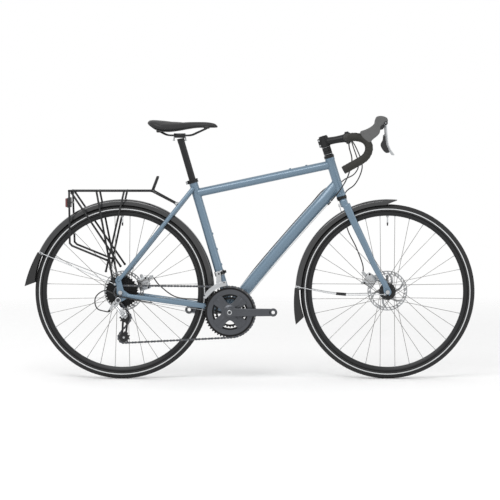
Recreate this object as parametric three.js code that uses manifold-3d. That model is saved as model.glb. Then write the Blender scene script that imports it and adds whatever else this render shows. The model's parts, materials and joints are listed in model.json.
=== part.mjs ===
// Touring bicycle with drop bars, mudguards and a rear rack, in millimetres and degrees.
// +X points forwards, +Y to the rider's left and +Z up. The origin is on the ground, in the
// plane of the wheels and midway along the bicycle's overall length.

import * as THREE from "three";
import { mergeVertices } from "three/addons/utils/BufferGeometryUtils.js";
import Module from "manifold-3d";

const wasm = await Module();
wasm.setup();

// Layout
const wheelbase = 1059;
const chainstayLength = 440;
const bottomBracketDrop = 79;
const seatAngle = 73.7;
const headAngle = 72.8;
const forkRake = 64;
const forkLength = 406;
const rearReach = 388;
const fit = 0.3;
const turningFit = 0.9;
const overrun = 5;
const mergeWithin = 0.001;
const flatness = 0.08;

// Tyres and rims
const tyreRadius = 348;
const tyreWidth = 37;
const tyreWall = 3;
const rimInner = 302;
const rimOuter = 318;
const rimWidth = 24;
const rimBackWidth = 15;
const rimBedDepth = 6;
const rimWall = 2.2;
const valveLength = 40;
const valveRadius = 3;
const wheelSides = 32;

// Hubs, spokes and brake discs
const spokesPerSide = 16;
const spokeCrossing = 3;
const spokeRadius = 1;
const spokeSpread = 3.5;
const frontDropoutGap = 100;
const rearDropoutGap = 135;
const hubRadius = 16;
const hubEndRadius = 9;
const frontFlangeRadius = 33;
const rearFlangeRadius = 30;
const flangeThickness = 4.6;
const spokeHoleInset = 5;
const frontFlangeOffset = 27;
const rearFlangeRight = 20;
const rearFlangeLeft = 33;
const freehubRadius = 15;
const axleRadius = 4.5;
const discRadius = 80;
const discBand = 14;
const discThickness = 1.8;
const discArmWidth = 7;
const discArmCount = 6;
const discArmLead = 24;
const discHubRadius = 24;
const discBore = 12;
const discInset = 10.5;
const rearDiscInset = 15;
const skewerNutRadius = 9;
const skewerNutLength = 11;
const releaseLeverLength = 62;
const releaseLeverWidth = 11;
const releaseLeverThickness = 5;
const releaseBarrelRadius = 6;

// Frame tubes
const headTubeLength = 160;
const headTubeDiameter = 36;
const headTubeCollarDiameter = 39;
const headTubeCollarHeight = 12;
const headTubeWall = 3;
const topTubeDiameter = 34;
const topTubeBelow = 27;
const topTubeSeatHeight = 491;
const topTubeWall = 1.6;
const downTubeDiameter = 48;
const downTubeAbove = 50;
const downTubeLift = 8;
const downTubeBow = 7;
const downTubeWall = 1.6;
const seatTubeDiameter = 34.9;
const seatTubeLength = 548;
const seatTubeBoreDepth = 330;
const bottomBracketWidth = 68;
const bottomBracketDiameter = 43;
const bottomBracketCupWidth = 9;
const bottomBracketCupDiameter = 40;
const chainstayHeight = 24;
const chainstayWidth = 12.5;
const chainstaySpread = 31.5;
const chainstayRise = 8;
const chainstayEndDiameter = 17;
const chainstayEndWidth = 13.6;
const chainstayEndAhead = 27;
const chainstayBendShares = [0.22, 0.62];
const seatstayDiameter = 18;
const seatstayEndDiameter = 15;
const seatstayTopHeight = 512;
const seatstaySetback = 7;
const seatstayTopGap = 1;
const seatstayGuardGap = 6;
const seatstayEndRise = 46.4;
const seatstaySpreadShare = 0.72;
const seatstayBendShares = [0.26, 0.65];
const dropoutThickness = 7;
const dropoutWidth = 30;
const dropoutRise = 58;
const dropoutDrop = 13.5;
const hangerDrop = 30;
const hangerSetback = 8;
const hangerRadius = 11;
const hangerNeckRadius = 7.7;
const eyeletWall = 2;
const bridgeRadius = 6;
const bridgeGap = 10;
const stayLineSteps = 200;
const collarHeight = 15;
const collarWall = 3.6;
const collarEar = 9;
const bossRadius = 4.5;
const bossHeight = 2.5;
const bossPitch = 64;
const cableStopShare = 0.88;
const cableStopLength = 16;
const cableStopTilt = 48;
const bottleBossHeight = 190;

// Headset, fork and stem
const headsetDiameter = 41;
const lowerCupHeight = 11;
const upperCupHeight = 12.5;
const steererDiameter = 28.6;
const steererWall = 2.5;
const spacerDiameter = 35;
const spacerHeight = 34;
const stemClampHeight = 40;
const stemClampDiameter = 38;
const stemLength = 94.5;
const stemRise = 10.4;
const stemBodyDiameter = 33;
const stemBarClampWidth = 44;
const stemBarClampDiameter = 43;
const topCapHeight = 5;
const crownHeight = 34;
const crownWidth = 92;
const crownDepth = 40;
const bladeTopWidth = 31;
const bladeTopThickness = 18;
const bladeEndWidth = 17;
const bladeEndThickness = 12;
const bladeTopSpread = 37;
const forkDropoutThickness = 6;
const forkDropoutRadius = 15;

// Handlebar, tape, hoods and levers
const barWidth = 420;
const barFlare = 12;
const barReach = 83;
const barDrop = 128;
const barDiameter = 23.8;
const barCentreDiameter = 31.8;
const barCentreWidth = 90;
const barCorner = 46;
const tapeDiameter = 32;
const tapeStart = 56;
const tapePlug = 4;
const hoodReach = 158.7;
const hoodRise = 82.5;
const hoodWidth = 37;
const hoodBevel = 7;
const leverLength = 126;
const leverDepth = 8;
const leverTopWidth = 13;
const leverMiddleWidth = 17;
const leverEyeRadius = 6;
const paddleWidth = 10;
const paddleGap = 0.7;
const paddleEdge = 1;

// Seat
const seatpostDiameter = 27.2;
const seatpostWall = 3;
const seatpostTop = 706;
const seatpostInsertion = 150;
const seatpostHeadHeight = 30;
const seatpostHeadLength = 44;
const seatpostHeadWidth = 34;
const seatpostHeadAt = 726;
const railDiameter = 7;
const railSpacing = 22;
const saddleLength = 280;
const saddleWidth = 155;
const saddleTop = 1027;
const saddleSetShare = 0.046;
const saddleDepth = 44;
const saddleShell = 4;
const saddleShellShare = 0.8;

// Drive
const crankLength = 172.5;
const crankBossRadius = 20;
const crankEyeRadius = 15;
const crankEyeBore = 7;
const crankArmThickness = 14;
const crankArmInset = 68;
const spindleRadius = 11;
const crankArmEdge = 3;
const ringBoltTurns = [45, 135, 225, 315];
const spiderThickness = 4;
const spiderArmWidth = 17;
const spiderReach = 63;
const chainPitch = 12.7;
const chainPlane = 57;
const chainringPitch = 7.5;
const ringThickness = 2.2;
const ringBoltRadius = 4.5;
const ringBoltCircle = 57;
const ringBoreRadius = 53;
const toothHeight = 2.6;
const toothDepth = 3.4;
const sprocketPitch = 4.8;
const sprocketThickness = 1.8;
const chainPlateHeight = 8.4;
const chainPlateInner = 1.45;
const chainPlateOuter = 3.55;
const chainPinRadius = 1.8;
const ringTeeth = [50, 39, 30];
const sprocketTeeth = [11, 13, 15, 18, 21, 24, 28, 32];
const chainSprocket = 1;
const jockeyTeeth = 11;

// Derailleurs
const upperJockeyAhead = 17.9;
const upperJockeyDrop = 101;
const jockeySpacing = 78;
const cageLean = 6;
const jockeyBoltRadius = 3;
const jockeyHubRadius = 8;
const jockeyThickness = 2.2;
const cagePlateThickness = 2;
const cagePlateGap = 4.4;
const cagePlateTop = 13;
const cagePlateEnd = 10;
const mountOffset = 78;
const linkBarrelRadius = 6;
const linkBarrelHalf = 9;
const linkEar = 3.4;
const linkThickness = 7;
const linkLeanOut = 14;
const linkRun = 27;
const linkDrop = 34;
const linkBlock = 8;
const linkFromBoltDrop = 20;
const linkFromBoltBack = 7;
const knuckleRadius = 8;
const frontCageInner = 106;
const frontCageOuter = 124;
const frontCageHalf = 6;
const frontCagePlate = 1.4;
const frontCageStart = 97;
const frontCageEnd = 151;
const frontClampHeight = 22;
const frontClampAt = 158;
const frontClampWall = 3;
const frontBodyWidth = 15;
const frontBodyLength = 30;
const frontRiserLength = 22;
const frontRiserThickness = 2;
const frontGuideRadius = 3.5;

// Brakes
const caliperWidth = 34;
const caliperLength = 52;
const caliperHeight = 46;
const caliperInside = 11.5;
const caliperOutside = 18.5;
const caliperSlot = 4;
const frontCaliperAngle = 149;
const frontCaliperCentre = 80;
const rearCaliperAngle = 18.5;
const rearCaliperCentre = 84;
const stopReach = 42;
const stopLugRadius = 6;
const stopLugWidth = 14;
const frontStopAngle = 134;
const rearStopAngle = 44;
const frontArmAngle = 200;
const rearArmAngle = 110;
const armLength = 34;
const armThickness = 4;
const armWidth = 12;
const armEyeRadius = 8;

// Mudguards
const guardOuter = 368.5;
const guardSide = 356;
const guardWidth = 47;
const guardWall = 1.8;
const frontGuardFrom = 84;
const frontGuardTo = 179;
const rearGuardFrom = -19;
const rearGuardTo = 156;
const flapTurn = 20.8;
const flapWidth = 52;
const flapWall = 2.2;
const stayRadius = 1.75;
const stayEyelet = 4.5;
const eyeletThickness = 3.5;
const eyeletBack = 21.5;
const eyeletRise = 33;
const guardTabWidth = 18;
const guardTabThickness = 3;

// Rack and light
const rackRod = 8;
const rackRise = 402;
const rackHalfWidth = 56;
const rackFootAt = 80;
const rackRear = 206;
const rackHoopWidth = 44;
const rackFootThickness = 3;
const lightWidth = 92;
const lightHeight = 40;
const lightDepth = 14;

// Cables
const housingRadius = 2.4;
const wireRadius = 0.9;
const cableSides = 5;
const cableSteps = 1.5;

const finishes = {
  paint: { color: 0x67839b, roughness: 0.32, metalness: 0.2 },
  satinBlack: { color: 0x1b1c1e, roughness: 0.45, metalness: 0.2 },
  rubber: { color: 0x171718, roughness: 0.85, metalness: 0 },
  tape: { color: 0x35332f, roughness: 0.8, metalness: 0 },
  hood: { color: 0x5c5d5f, roughness: 0.7, metalness: 0 },
  silver: { color: 0xb9bbbd, roughness: 0.3, metalness: 0.9 },
  darkAlloy: { color: 0x5f6265, roughness: 0.4, metalness: 0.7 },
  steel: { color: 0x8f9193, roughness: 0.35, metalness: 0.9 },
  guard: { color: 0x4a4c4e, roughness: 0.35, metalness: 0.1 },
  saddle: { color: 0x18181a, roughness: 0.6, metalness: 0 },
  lens: { color: 0x8a1612, roughness: 0.25, metalness: 0 },
};

const bicycle = new THREE.Group();

// Vectors
function vec(x, y, z) {
  return new THREE.Vector3(x, y, z);
}

function radians(degrees) {
  return THREE.MathUtils.degToRad(degrees);
}

function inPlane(degrees) {
  return vec(Math.cos(radians(degrees)), 0, Math.sin(radians(degrees)));
}

function along(from, direction, length) {
  return from.clone().addScaledVector(direction, length);
}

const across = vec(0, 1, 0);

// Key places
const overallHalf = (wheelbase + tyreRadius + rearReach) / 2;
const frontAxle = vec(overallHalf - tyreRadius, 0, tyreRadius);
const rearAxle = vec(frontAxle.x - wheelbase, 0, tyreRadius);
const bottomBracket = vec(
  rearAxle.x + Math.sqrt(chainstayLength ** 2 - bottomBracketDrop ** 2),
  0,
  tyreRadius - bottomBracketDrop,
);
const seatDirection = vec(-Math.cos(radians(seatAngle)), 0, Math.sin(radians(seatAngle)));
const steerDirection = vec(-Math.cos(radians(headAngle)), 0, Math.sin(radians(headAngle)));
const steerForward = vec(Math.sin(radians(headAngle)), 0, Math.cos(radians(headAngle)));
const steerFoot = along(frontAxle, steerForward, -forkRake);

function onSteerer(height, forward = 0, sideways = 0) {
  const place = along(steerFoot, steerDirection, height);
  return along(place, steerForward, forward).setY(sideways);
}

function onSeatTube(height, forward = 0, sideways = 0) {
  const ahead = vec(seatDirection.z, 0, -seatDirection.x);
  return along(along(bottomBracket, seatDirection, height), ahead, forward).setY(sideways);
}

// Solids
function manifoldOf(positions, faces) {
  return new wasm.Manifold(
    new wasm.Mesh({
      numProp: 3,
      vertProperties: positions,
      triVerts: new Uint32Array(faces),
    }),
  );
}

function solidOf(geometry) {
  const loose = geometry.index ? geometry.toNonIndexed() : geometry;
  const bare = new THREE.BufferGeometry();
  bare.setAttribute("position", loose.getAttribute("position"));
  const merged = mergeVertices(bare, mergeWithin);
  const index = merged.index.array;
  const faces = [];
  for (let i = 0; i < index.length; i += 3) {
    const [a, b, c] = [index[i], index[i + 1], index[i + 2]];
    if (a !== b && b !== c && c !== a) faces.push(a, b, c);
  }
  const positions = merged.attributes.position.array;
  const solid = manifoldOf(positions, faces);
  return solid.volume() > 0 ? solid : manifoldOf(positions, faces.reverse());
}

function joined(solids) {
  return solids.reduce((whole, next) => whole.add(next));
}

function without(solid, ...cutters) {
  return cutters.reduce((whole, next) => whole.subtract(next), solid);
}

function rod(from, to, radius, sides = 12, endRadius = radius) {
  const length = from.distanceTo(to);
  const geometry = new THREE.CylinderGeometry(endRadius, radius, length, sides);
  const direction = to.clone().sub(from).normalize();
  geometry.applyQuaternion(new THREE.Quaternion().setFromUnitVectors(across, direction));
  const middle = from.clone().lerp(to, 0.5);
  return solidOf(geometry.translate(middle.x, middle.y, middle.z));
}

// A bar across the bicycle, from one sideways place to another
function crossRod(centre, fromY, toY, radius, sides = 16) {
  return rod(centre.clone().setY(fromY), centre.clone().setY(toY), radius, sides);
}

// A turned solid: profile points are [radius, distance along the axis]
function turned(profile, sides, from = vec(0, 0, 0), direction = across) {
  const points = profile.map(([radius, distance]) => new THREE.Vector2(radius, distance));
  const geometry = new THREE.LatheGeometry([...points, points[0]], sides);
  geometry.applyQuaternion(new THREE.Quaternion().setFromUnitVectors(across, direction));
  return solidOf(geometry.translate(from.x, from.y, from.z));
}

function ring(inner, outer, fromY, toY, sides, centre = vec(0, 0, 0)) {
  const profile = [
    [inner, fromY],
    [outer, fromY],
    [outer, toY],
    [inner, toY],
  ];
  return turned(profile, sides, centre);
}

// A plate in the XZ plane with the given outline, centred on a sideways place
function plate(outline, thickness, centreY, bevel = 0, holes = []) {
  const shape = new THREE.Shape(outline.map((p) => new THREE.Vector2(p.x, p.z)));
  for (const hole of holes) shape.holes.push(new THREE.Path(hole.map((p) => new THREE.Vector2(p.x, p.z))));
  const geometry = new THREE.ExtrudeGeometry(shape, {
    depth: thickness - 2 * bevel,
    bevelEnabled: bevel > 0,
    bevelThickness: bevel,
    bevelSize: bevel,
    bevelOffset: -bevel,
    bevelSegments: 1,
  });
  geometry.rotateX(Math.PI / 2);
  return solidOf(geometry.translate(0, centreY + thickness / 2 - bevel, 0));
}

// A box with its length along one direction in the XZ plane
function block(centre, length, width, height, tilt = 0) {
  const geometry = new THREE.BoxGeometry(length, width, height);
  geometry.rotateY(-radians(tilt));
  return solidOf(geometry.translate(centre.x, centre.y, centre.z));
}

// A box between two places, in the frame of a given direction for its height
function beam(from, to, thickness, height, heightDirection) {
  const length = from.distanceTo(to);
  const lengthways = to.clone().sub(from).normalize();
  const upright = heightDirection.clone().addScaledVector(lengthways, -heightDirection.dot(lengthways));
  upright.normalize();
  const sideways = upright.clone().cross(lengthways);
  const geometry = new THREE.BoxGeometry(length, thickness, height);
  geometry.applyMatrix4(new THREE.Matrix4().makeBasis(lengthways, sideways, upright));
  const middle = from.clone().lerp(to, 0.5);
  return solidOf(geometry.translate(middle.x, middle.y, middle.z));
}

// A closed solid through rings of points that all have the same count
function loft(rings) {
  const sides = rings[0].length;
  const index = [];
  for (let r = 0; r + 1 < rings.length; r++) {
    for (let s = 0; s < sides; s++) {
      const a = r * sides + s;
      const b = r * sides + ((s + 1) % sides);
      index.push(a, b, b + sides, a, b + sides, a + sides);
    }
  }
  const last = (rings.length - 1) * sides;
  for (let s = 1; s + 1 < sides; s++) {
    index.push(0, s + 1, s, last, last + s, last + s + 1);
  }
  const positions = rings.flat().flatMap((p) => [p.x, p.y, p.z]);
  const geometry = new THREE.BufferGeometry();
  geometry.setAttribute("position", new THREE.Float32BufferAttribute(positions, 3));
  return solidOf(geometry.setIndex(index));
}

// Rings of an ellipse along a smooth curve. half(share) gives half its width and half its
// height. The width lies across the bicycle, or is carried along the curve if carried is true.
function sweep(points, half, steps, sides, carried = false) {
  const curve = new THREE.CatmullRomCurve3(points, false, "centripetal");
  let width = across.clone();
  if (carried) width = vec(0, 0, 1);
  const rings = [];
  for (let i = 0; i <= steps; i++) {
    const share = i / steps;
    const tangent = curve.getTangent(share);
    if (!carried) width.copy(across);
    width.addScaledVector(tangent, -width.dot(tangent)).normalize();
    const height = tangent.clone().cross(width);
    const centre = curve.getPoint(share);
    const [a, b] = half(share);
    const around = [];
    for (let s = 0; s < sides; s++) {
      const turn = ((s + 0.5) / sides) * 2 * Math.PI;
      const place = along(centre, width, a * Math.cos(turn));
      around.push(along(place, height, b * Math.sin(turn)));
    }
    rings.push(around);
  }
  return loft(rings);
}

function pipe(points, radius, steps, sides) {
  return sweep(points, () => [radius, radius], steps, sides, true);
}

function mixed(from, to, share) {
  return from + (to - from) * share;
}

// A rounded outline round two circles in the XZ plane
function capsule(a, b, radiusA, radiusB, arcSteps = 6) {
  const turn = Math.atan2(b.z - a.z, b.x - a.x);
  const outline = [];
  for (let i = 0; i <= arcSteps; i++) {
    const angle = turn + Math.PI / 2 + (i / arcSteps) * Math.PI;
    outline.push(vec(a.x + radiusA * Math.cos(angle), 0, a.z + radiusA * Math.sin(angle)));
  }
  for (let i = 0; i <= arcSteps; i++) {
    const angle = turn - Math.PI / 2 + (i / arcSteps) * Math.PI;
    outline.push(vec(b.x + radiusB * Math.cos(angle), 0, b.z + radiusB * Math.sin(angle)));
  }
  return outline;
}

function addPiece(name, solid, finish, group = bicycle) {
  const data = solid.simplify(flatness).getMesh();
  const geometry = new THREE.BufferGeometry();
  geometry.setAttribute("position", new THREE.BufferAttribute(new Float32Array(data.vertProperties), 3));
  geometry.setIndex(new THREE.BufferAttribute(new Uint32Array(data.triVerts), 1));
  geometry.computeVertexNormals();
  const mesh = new THREE.Mesh(geometry, new THREE.MeshStandardMaterial(finishes[finish]));
  mesh.name = name;
  group.add(mesh);
}

function groupAt(place) {
  const group = new THREE.Group();
  group.position.copy(place);
  bicycle.add(group);
  return group;
}

// Wheels, built round the axle at the origin
function tyre() {
  const round = tyreWidth / 2;
  const centre = tyreRadius - round;
  const bead = rimWidth / 2 - rimWall - fit;
  const beadFoot = rimOuter - rimBedDepth + fit;
  const beadTop = rimOuter + fit;
  const outerTurns = [-118, -75, -36, 0, 36, 75, 118];
  const innerTurns = [75, -75];
  const outer = outerTurns.map((turn) => [
    centre + round * Math.cos(radians(turn)),
    round * Math.sin(radians(turn)),
  ]);
  const inner = innerTurns.map((turn) => [
    centre + (round - tyreWall) * Math.cos(radians(turn)),
    (round - tyreWall) * Math.sin(radians(turn)),
  ]);
  const right = [
    [beadFoot, tyreWall - bead],
    [beadFoot, -bead],
    [beadTop, -bead],
  ];
  const left = right.map(([radius, y]) => [radius, -y]).reverse();
  return turned([...right, ...outer, ...left, ...inner], wheelSides);
}

function rim() {
  const half = rimWidth / 2;
  const back = rimBackWidth / 2;
  const bed = rimOuter - rimBedDepth;
  const lip = half - rimWall;
  const profile = [
    [rimInner, -back],
    [rimInner, back],
    [rimOuter, half],
    [rimOuter, lip],
    [bed, lip],
    [bed, -lip],
    [rimOuter, -lip],
    [rimOuter, -half],
  ];
  const body = turned(profile, wheelSides);
  const valve = rod(vec(0, 0, rimInner + rimWall), vec(0, 0, rimInner - valveLength), valveRadius, 8);
  return body.add(valve);
}

// Spokes from both flanges to the rim, each crossing others of its own side
function spokes(flangeRight, flangeLeft, holeRadius) {
  const made = [];
  const pitch = 360 / spokesPerSide;
  for (const side of [-1, 1]) {
    const flange = side < 0 ? flangeRight : flangeLeft;
    const shift = ((2 + side) * pitch) / 4;
    for (let i = 0; i < spokesPerSide; i++) {
      const leading = i % 2 ? -1 : 1;
      const hubTurn = i * pitch + shift;
      const rimTurn = hubTurn + leading * spokeCrossing * pitch;
      const start = inPlane(hubTurn + 90).multiplyScalar(holeRadius);
      const end = inPlane(rimTurn + 90).multiplyScalar(rimInner * Math.cos(Math.PI / wheelSides) - fit);
      start.y = side * (flange + (leading * flangeThickness) / 4);
      end.y = side * (spokeSpread + (leading * flangeThickness) / 4);
      made.push(rod(start, end, spokeRadius, 3));
    }
  }
  return made;
}

function lacedHub(flangeRight, flangeLeft, flangeRadius, endRight, endLeft, rightNose, inset = discInset) {
  const discSeat = inset + discThickness / 2 + fit;
  const half = flangeThickness / 2;
  const profile = [
    [axleRadius + fit, -endRight],
    [hubEndRadius, -endRight],
    [hubEndRadius, -rightNose],
    [hubRadius, -rightNose],
    [hubRadius, -flangeRight - half],
    [flangeRadius, -flangeRight - half],
    [flangeRadius, -flangeRight + half],
    [hubRadius, -flangeRight + half],
    [hubRadius, flangeLeft - half],
    [flangeRadius, flangeLeft - half],
    [flangeRadius, flangeLeft + half],
    [hubRadius, flangeLeft + half],
    [hubRadius, endLeft - discSeat],
    [hubEndRadius, endLeft - discSeat],
    [hubEndRadius, endLeft],
    [axleRadius + fit, endLeft],
  ];
  const hub = turned(profile, 14);
  return joined([hub, ...spokes(flangeRight, flangeLeft, flangeRadius - spokeHoleInset)]);
}

function brakeDisc(centreY) {
  const half = discThickness / 2;
  const band = ring(discRadius - discBand, discRadius, centreY - half, centreY + half, 22);
  const hub = ring(discBore, discHubRadius, centreY - half, centreY + half, 10);
  const arms = [];
  for (let i = 0; i < discArmCount; i++) {
    const turn = (i * 360) / discArmCount;
    const from = inPlane(turn).multiplyScalar(discHubRadius - discArmWidth / 2);
    const to = inPlane(turn + discArmLead).multiplyScalar(discRadius - discBand / 2);
    from.y = centreY;
    to.y = centreY;
    arms.push(beam(from, to, discThickness, discArmWidth, across.clone().cross(to.clone().sub(from))));
  }
  return joined([band, hub, ...arms]);
}

function axleWithNut(gap, plateThickness) {
  const outside = gap / 2 + plateThickness + fit;
  const shaft = crossRod(vec(0, 0, 0), -outside - skewerNutLength, outside + fit, axleRadius);
  const nut = crossRod(vec(0, 0, 0), -outside - skewerNutLength, -outside, skewerNutRadius, 12);
  const head = crossRod(vec(0, 0, 0), outside, outside + axleRadius, skewerNutRadius);
  return joined([shaft, nut, head]);
}

function releaseLever(gap, plateThickness) {
  const seat = gap / 2 + plateThickness + fit + axleRadius + fit;
  const pivot = vec(0, seat + releaseBarrelRadius, 0);
  const half = releaseLeverWidth / 2;
  const [behind, ahead] = [-half, half].map((offset) => along(pivot, vec(1, 0, 0), offset));
  const barrel = rod(behind, ahead, releaseBarrelRadius);
  const tip = along(pivot, vec(0, 0, 1), releaseLeverLength);
  tip.y += releaseLeverThickness;
  const middle = pivot.clone().lerp(tip, 0.5);
  middle.y += releaseLeverThickness;
  const thin = releaseLeverThickness / 2;
  const arm = sweep([pivot, middle, tip], (share) => [thin, mixed(half * 0.7, half, share)], 4, 8);
  return barrel.add(arm);
}

const wheels = { front: groupAt(frontAxle), rear: groupAt(rearAxle) };

for (const [end, group] of Object.entries(wheels)) {
  addPiece(`${end}_tyre`, tyre(), "rubber", group);
  addPiece(`${end}_rim`, rim(), "satinBlack", group);
}

const frontHalf = frontDropoutGap / 2;
const rearHalf = rearDropoutGap / 2;
const frontDiscY = frontHalf - discInset;
const rearDiscY = rearHalf - rearDiscInset;

addPiece(
  "front_hub",
  lacedHub(
    frontFlangeOffset,
    frontFlangeOffset,
    frontFlangeRadius,
    frontHalf - fit,
    frontHalf - fit,
    frontFlangeOffset + flangeThickness,
  ),
  "steel",
  wheels.front,
);
addPiece("front_brake_disc", brakeDisc(frontDiscY), "steel", wheels.front);
addPiece("front_axle", axleWithNut(frontDropoutGap, forkDropoutThickness), "steel", wheels.front);
addPiece("front_release_lever", releaseLever(frontDropoutGap, forkDropoutThickness), "silver", wheels.front);

addPiece(
  "rear_hub",
  lacedHub(
    rearFlangeRight,
    rearFlangeLeft,
    rearFlangeRadius,
    rearHalf - fit,
    rearHalf - fit,
    rearFlangeRight + flangeThickness,
    rearDiscInset,
  ),
  "steel",
  wheels.rear,
);
addPiece("rear_brake_disc", brakeDisc(rearDiscY), "steel", wheels.rear);
addPiece("rear_axle", axleWithNut(rearDropoutGap, dropoutThickness), "steel", wheels.rear);
addPiece("rear_release_lever", releaseLever(rearDropoutGap, dropoutThickness), "silver", wheels.rear);

// Sprockets and chainrings
function pitchRadius(teeth) {
  return chainPitch / (2 * Math.sin(Math.PI / teeth));
}

function sprocketPlane(position) {
  return -chainPlane + (position - chainSprocket) * sprocketPitch;
}

// A toothed outline round the origin, or round a centre in the XZ plane
function toothed(teeth, centre = vec(0, 0, 0)) {
  const pitch = pitchRadius(teeth);
  const outline = [];
  for (let i = 0; i < teeth; i++) {
    const turn = (i * 360) / teeth;
    outline.push(along(centre, inPlane(turn), pitch - toothDepth));
    outline.push(along(centre, inPlane(turn + 180 / teeth), pitch + toothHeight));
  }
  return outline;
}

function cassette() {
  const half = sprocketThickness / 2;
  const gap = (sprocketPitch - sprocketThickness) / 2;
  const bore = freehubRadius + fit;
  const spacer = pitchRadius(sprocketTeeth[0]) - toothDepth;
  const profile = [[bore, sprocketPlane(0) - half]];
  sprocketTeeth.forEach((teeth, position) => {
    const tip = pitchRadius(teeth) + toothHeight / 2;
    const plane = sprocketPlane(position);
    if (position > 0) profile.push([spacer, plane - half]);
    profile.push([tip, plane]);
    if (position + 1 < sprocketTeeth.length) profile.push([spacer, plane + half]);
  });
  profile.push([bore, sprocketPlane(sprocketTeeth.length - 1) + gap]);
  return turned(profile, 16);
}

addPiece("cassette", cassette(), "darkAlloy", wheels.rear);

const crankset = groupAt(bottomBracket);

function chainrings() {
  const rings = ringTeeth.map((teeth, position) => {
    const plane = -chainPlane + position * chainringPitch;
    const outline = position === 0 ? toothed(teeth) : roundOutline(pitchRadius(teeth), 24);
    return plate(outline, ringThickness, plane, 0, [roundOutline(ringBoreRadius, 12).reverse()]);
  });
  const last = -chainPlane + (ringTeeth.length - 1) * chainringPitch;
  const bolts = ringBoltTurns.map((turn) => {
    const place = inPlane(turn).multiplyScalar(ringBoltCircle);
    return crossRod(place, -chainPlane - ringThickness / 2, last, ringBoltRadius, 6);
  });
  return joined([...rings, ...bolts]);
}

function roundOutline(radius, sides, centre = vec(0, 0, 0)) {
  const outline = [];
  for (let i = 0; i < sides; i++) outline.push(along(centre, inPlane((i * 360) / sides), radius));
  return outline;
}

addPiece("chainrings", chainrings(), "darkAlloy", crankset);

// A crank arm that points ahead (1) or back (-1) on the given side
function crankArm(side, ahead) {
  const middleY = side * (crankArmInset + crankArmThickness / 2);
  const eye = vec(ahead * crankLength, 0, 0);
  const outline = capsule(vec(0, 0, 0), eye, crankBossRadius, crankEyeRadius);
  const arm = plate(outline, crankArmThickness, middleY, crankArmEdge);
  const bore = crossRod(eye, middleY - crankArmThickness, middleY + crankArmThickness, crankEyeBore, 10);
  return without(arm, bore);
}

function rightCrank() {
  const spiderOuter = chainPlane + ringThickness / 2 + fit + spiderThickness;
  const spiderY = -(spiderOuter - spiderThickness / 2);
  const centre = vec(0, 0, 0);
  const boss = crossRod(centre, -crankArmInset - fit, -spiderOuter + spiderThickness, crankBossRadius, 16);
  const armHalf = spiderArmWidth / 2;
  const arms = ringBoltTurns.map((turn) => {
    const end = inPlane(turn).multiplyScalar(spiderReach - armHalf);
    return plate(capsule(centre, end, crankBossRadius, armHalf), spiderThickness, spiderY);
  });
  const spindleEnd = crankArmInset - fit;
  const spindle = crossRod(centre, -crankArmInset, spindleEnd, spindleRadius, 12);
  return joined([crankArm(-1, 1), boss, ...arms, spindle]);
}

addPiece("crank_right", rightCrank(), "darkAlloy", crankset);
addPiece("crank_left", crankArm(1, -1), "darkAlloy", crankset);

// Chain: it leaves the chainring's top, goes round the sprocket, in front of the upper
// jockey wheel and behind the lower one, and back to the chainring's bottom.
const upperJockey = vec(rearAxle.x + upperJockeyAhead, 0, rearAxle.z - upperJockeyDrop);
const lowerJockey = vec(upperJockey.x - cageLean, 0, upperJockey.z - jockeySpacing);

const chainStops = [
  { centre: bottomBracket, radius: pitchRadius(ringTeeth[0]), sense: 1 },
  { centre: rearAxle, radius: pitchRadius(sprocketTeeth[chainSprocket]), sense: 1 },
  { centre: upperJockey, radius: pitchRadius(jockeyTeeth), sense: -1 },
  { centre: lowerJockey, radius: pitchRadius(jockeyTeeth), sense: 1 },
];

// The direction in degrees of the run from one stop to the next
function runTurn(from, to) {
  const run = to.centre.clone().sub(from.centre);
  const shift = to.sense * to.radius - from.sense * from.radius;
  const straight = Math.sqrt(run.length() ** 2 - shift ** 2);
  return THREE.MathUtils.radToDeg(Math.atan2(run.z, run.x) - Math.atan2(shift, straight));
}

// The chain's line, moved out from each stop's centre by the given distance on the loop's outside
function chainLine(outward) {
  const line = [];
  const count = chainStops.length;
  chainStops.forEach((stop, i) => {
    const arriving = runTurn(chainStops[(i + count - 1) % count], stop);
    const leaving = runTurn(stop, chainStops[(i + 1) % count]);
    const start = arriving - stop.sense * 90;
    const swing = ((((leaving - arriving) * stop.sense) % 360) + 360) % 360;
    const parts = Math.max(2, Math.ceil(swing / 24));
    for (let k = 0; k <= parts; k++) {
      const turn = start + (stop.sense * swing * k) / parts;
      line.push(along(stop.centre, inPlane(turn), stop.radius + stop.sense * outward));
    }
  });
  return line;
}

function chain() {
  const outer = chainLine(chainPlateHeight / 2);
  const inner = chainLine(-chainPlateHeight / 2);
  const width = chainPlateOuter - chainPlateInner;
  const middle = (chainPlateOuter + chainPlateInner) / 2;
  const sides = [-1, 1].map((side) => plate(outer, width, -chainPlane + side * middle, 0, [inner]));
  const pins = [];
  const runs = [
    [chainStops[0], chainStops[1], 2],
    [chainStops[3], chainStops[0], 2],
  ];
  for (const [from, to, count] of runs) {
    const turn = runTurn(from, to);
    const start = along(from.centre, inPlane(turn - from.sense * 90), from.radius);
    const end = along(to.centre, inPlane(turn - to.sense * 90), to.radius);
    for (let k = 1; k <= count; k++) {
      const place = start.clone().lerp(end, mixed(0.12, 0.88, (k - 1) / (count - 1)));
      pins.push(crossRod(place, -chainPlane - middle, -chainPlane + middle, chainPinRadius, 6));
    }
  }
  return joined([...sides, ...pins]);
}

addPiece("chain", chain(), "steel");

// Frame
const headBottom = forkLength + lowerCupHeight + 2 * fit;
const headTop = headBottom + headTubeLength;

function straightTube(from, to, diameter, wall, sides = 14) {
  const direction = to.clone().sub(from).normalize();
  const outside = rod(from, to, diameter / 2, sides);
  const [below, beyond] = [along(from, direction, -overrun), along(to, direction, overrun)];
  const inside = rod(below, beyond, diameter / 2 - wall, sides);
  return without(outside, inside);
}

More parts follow.
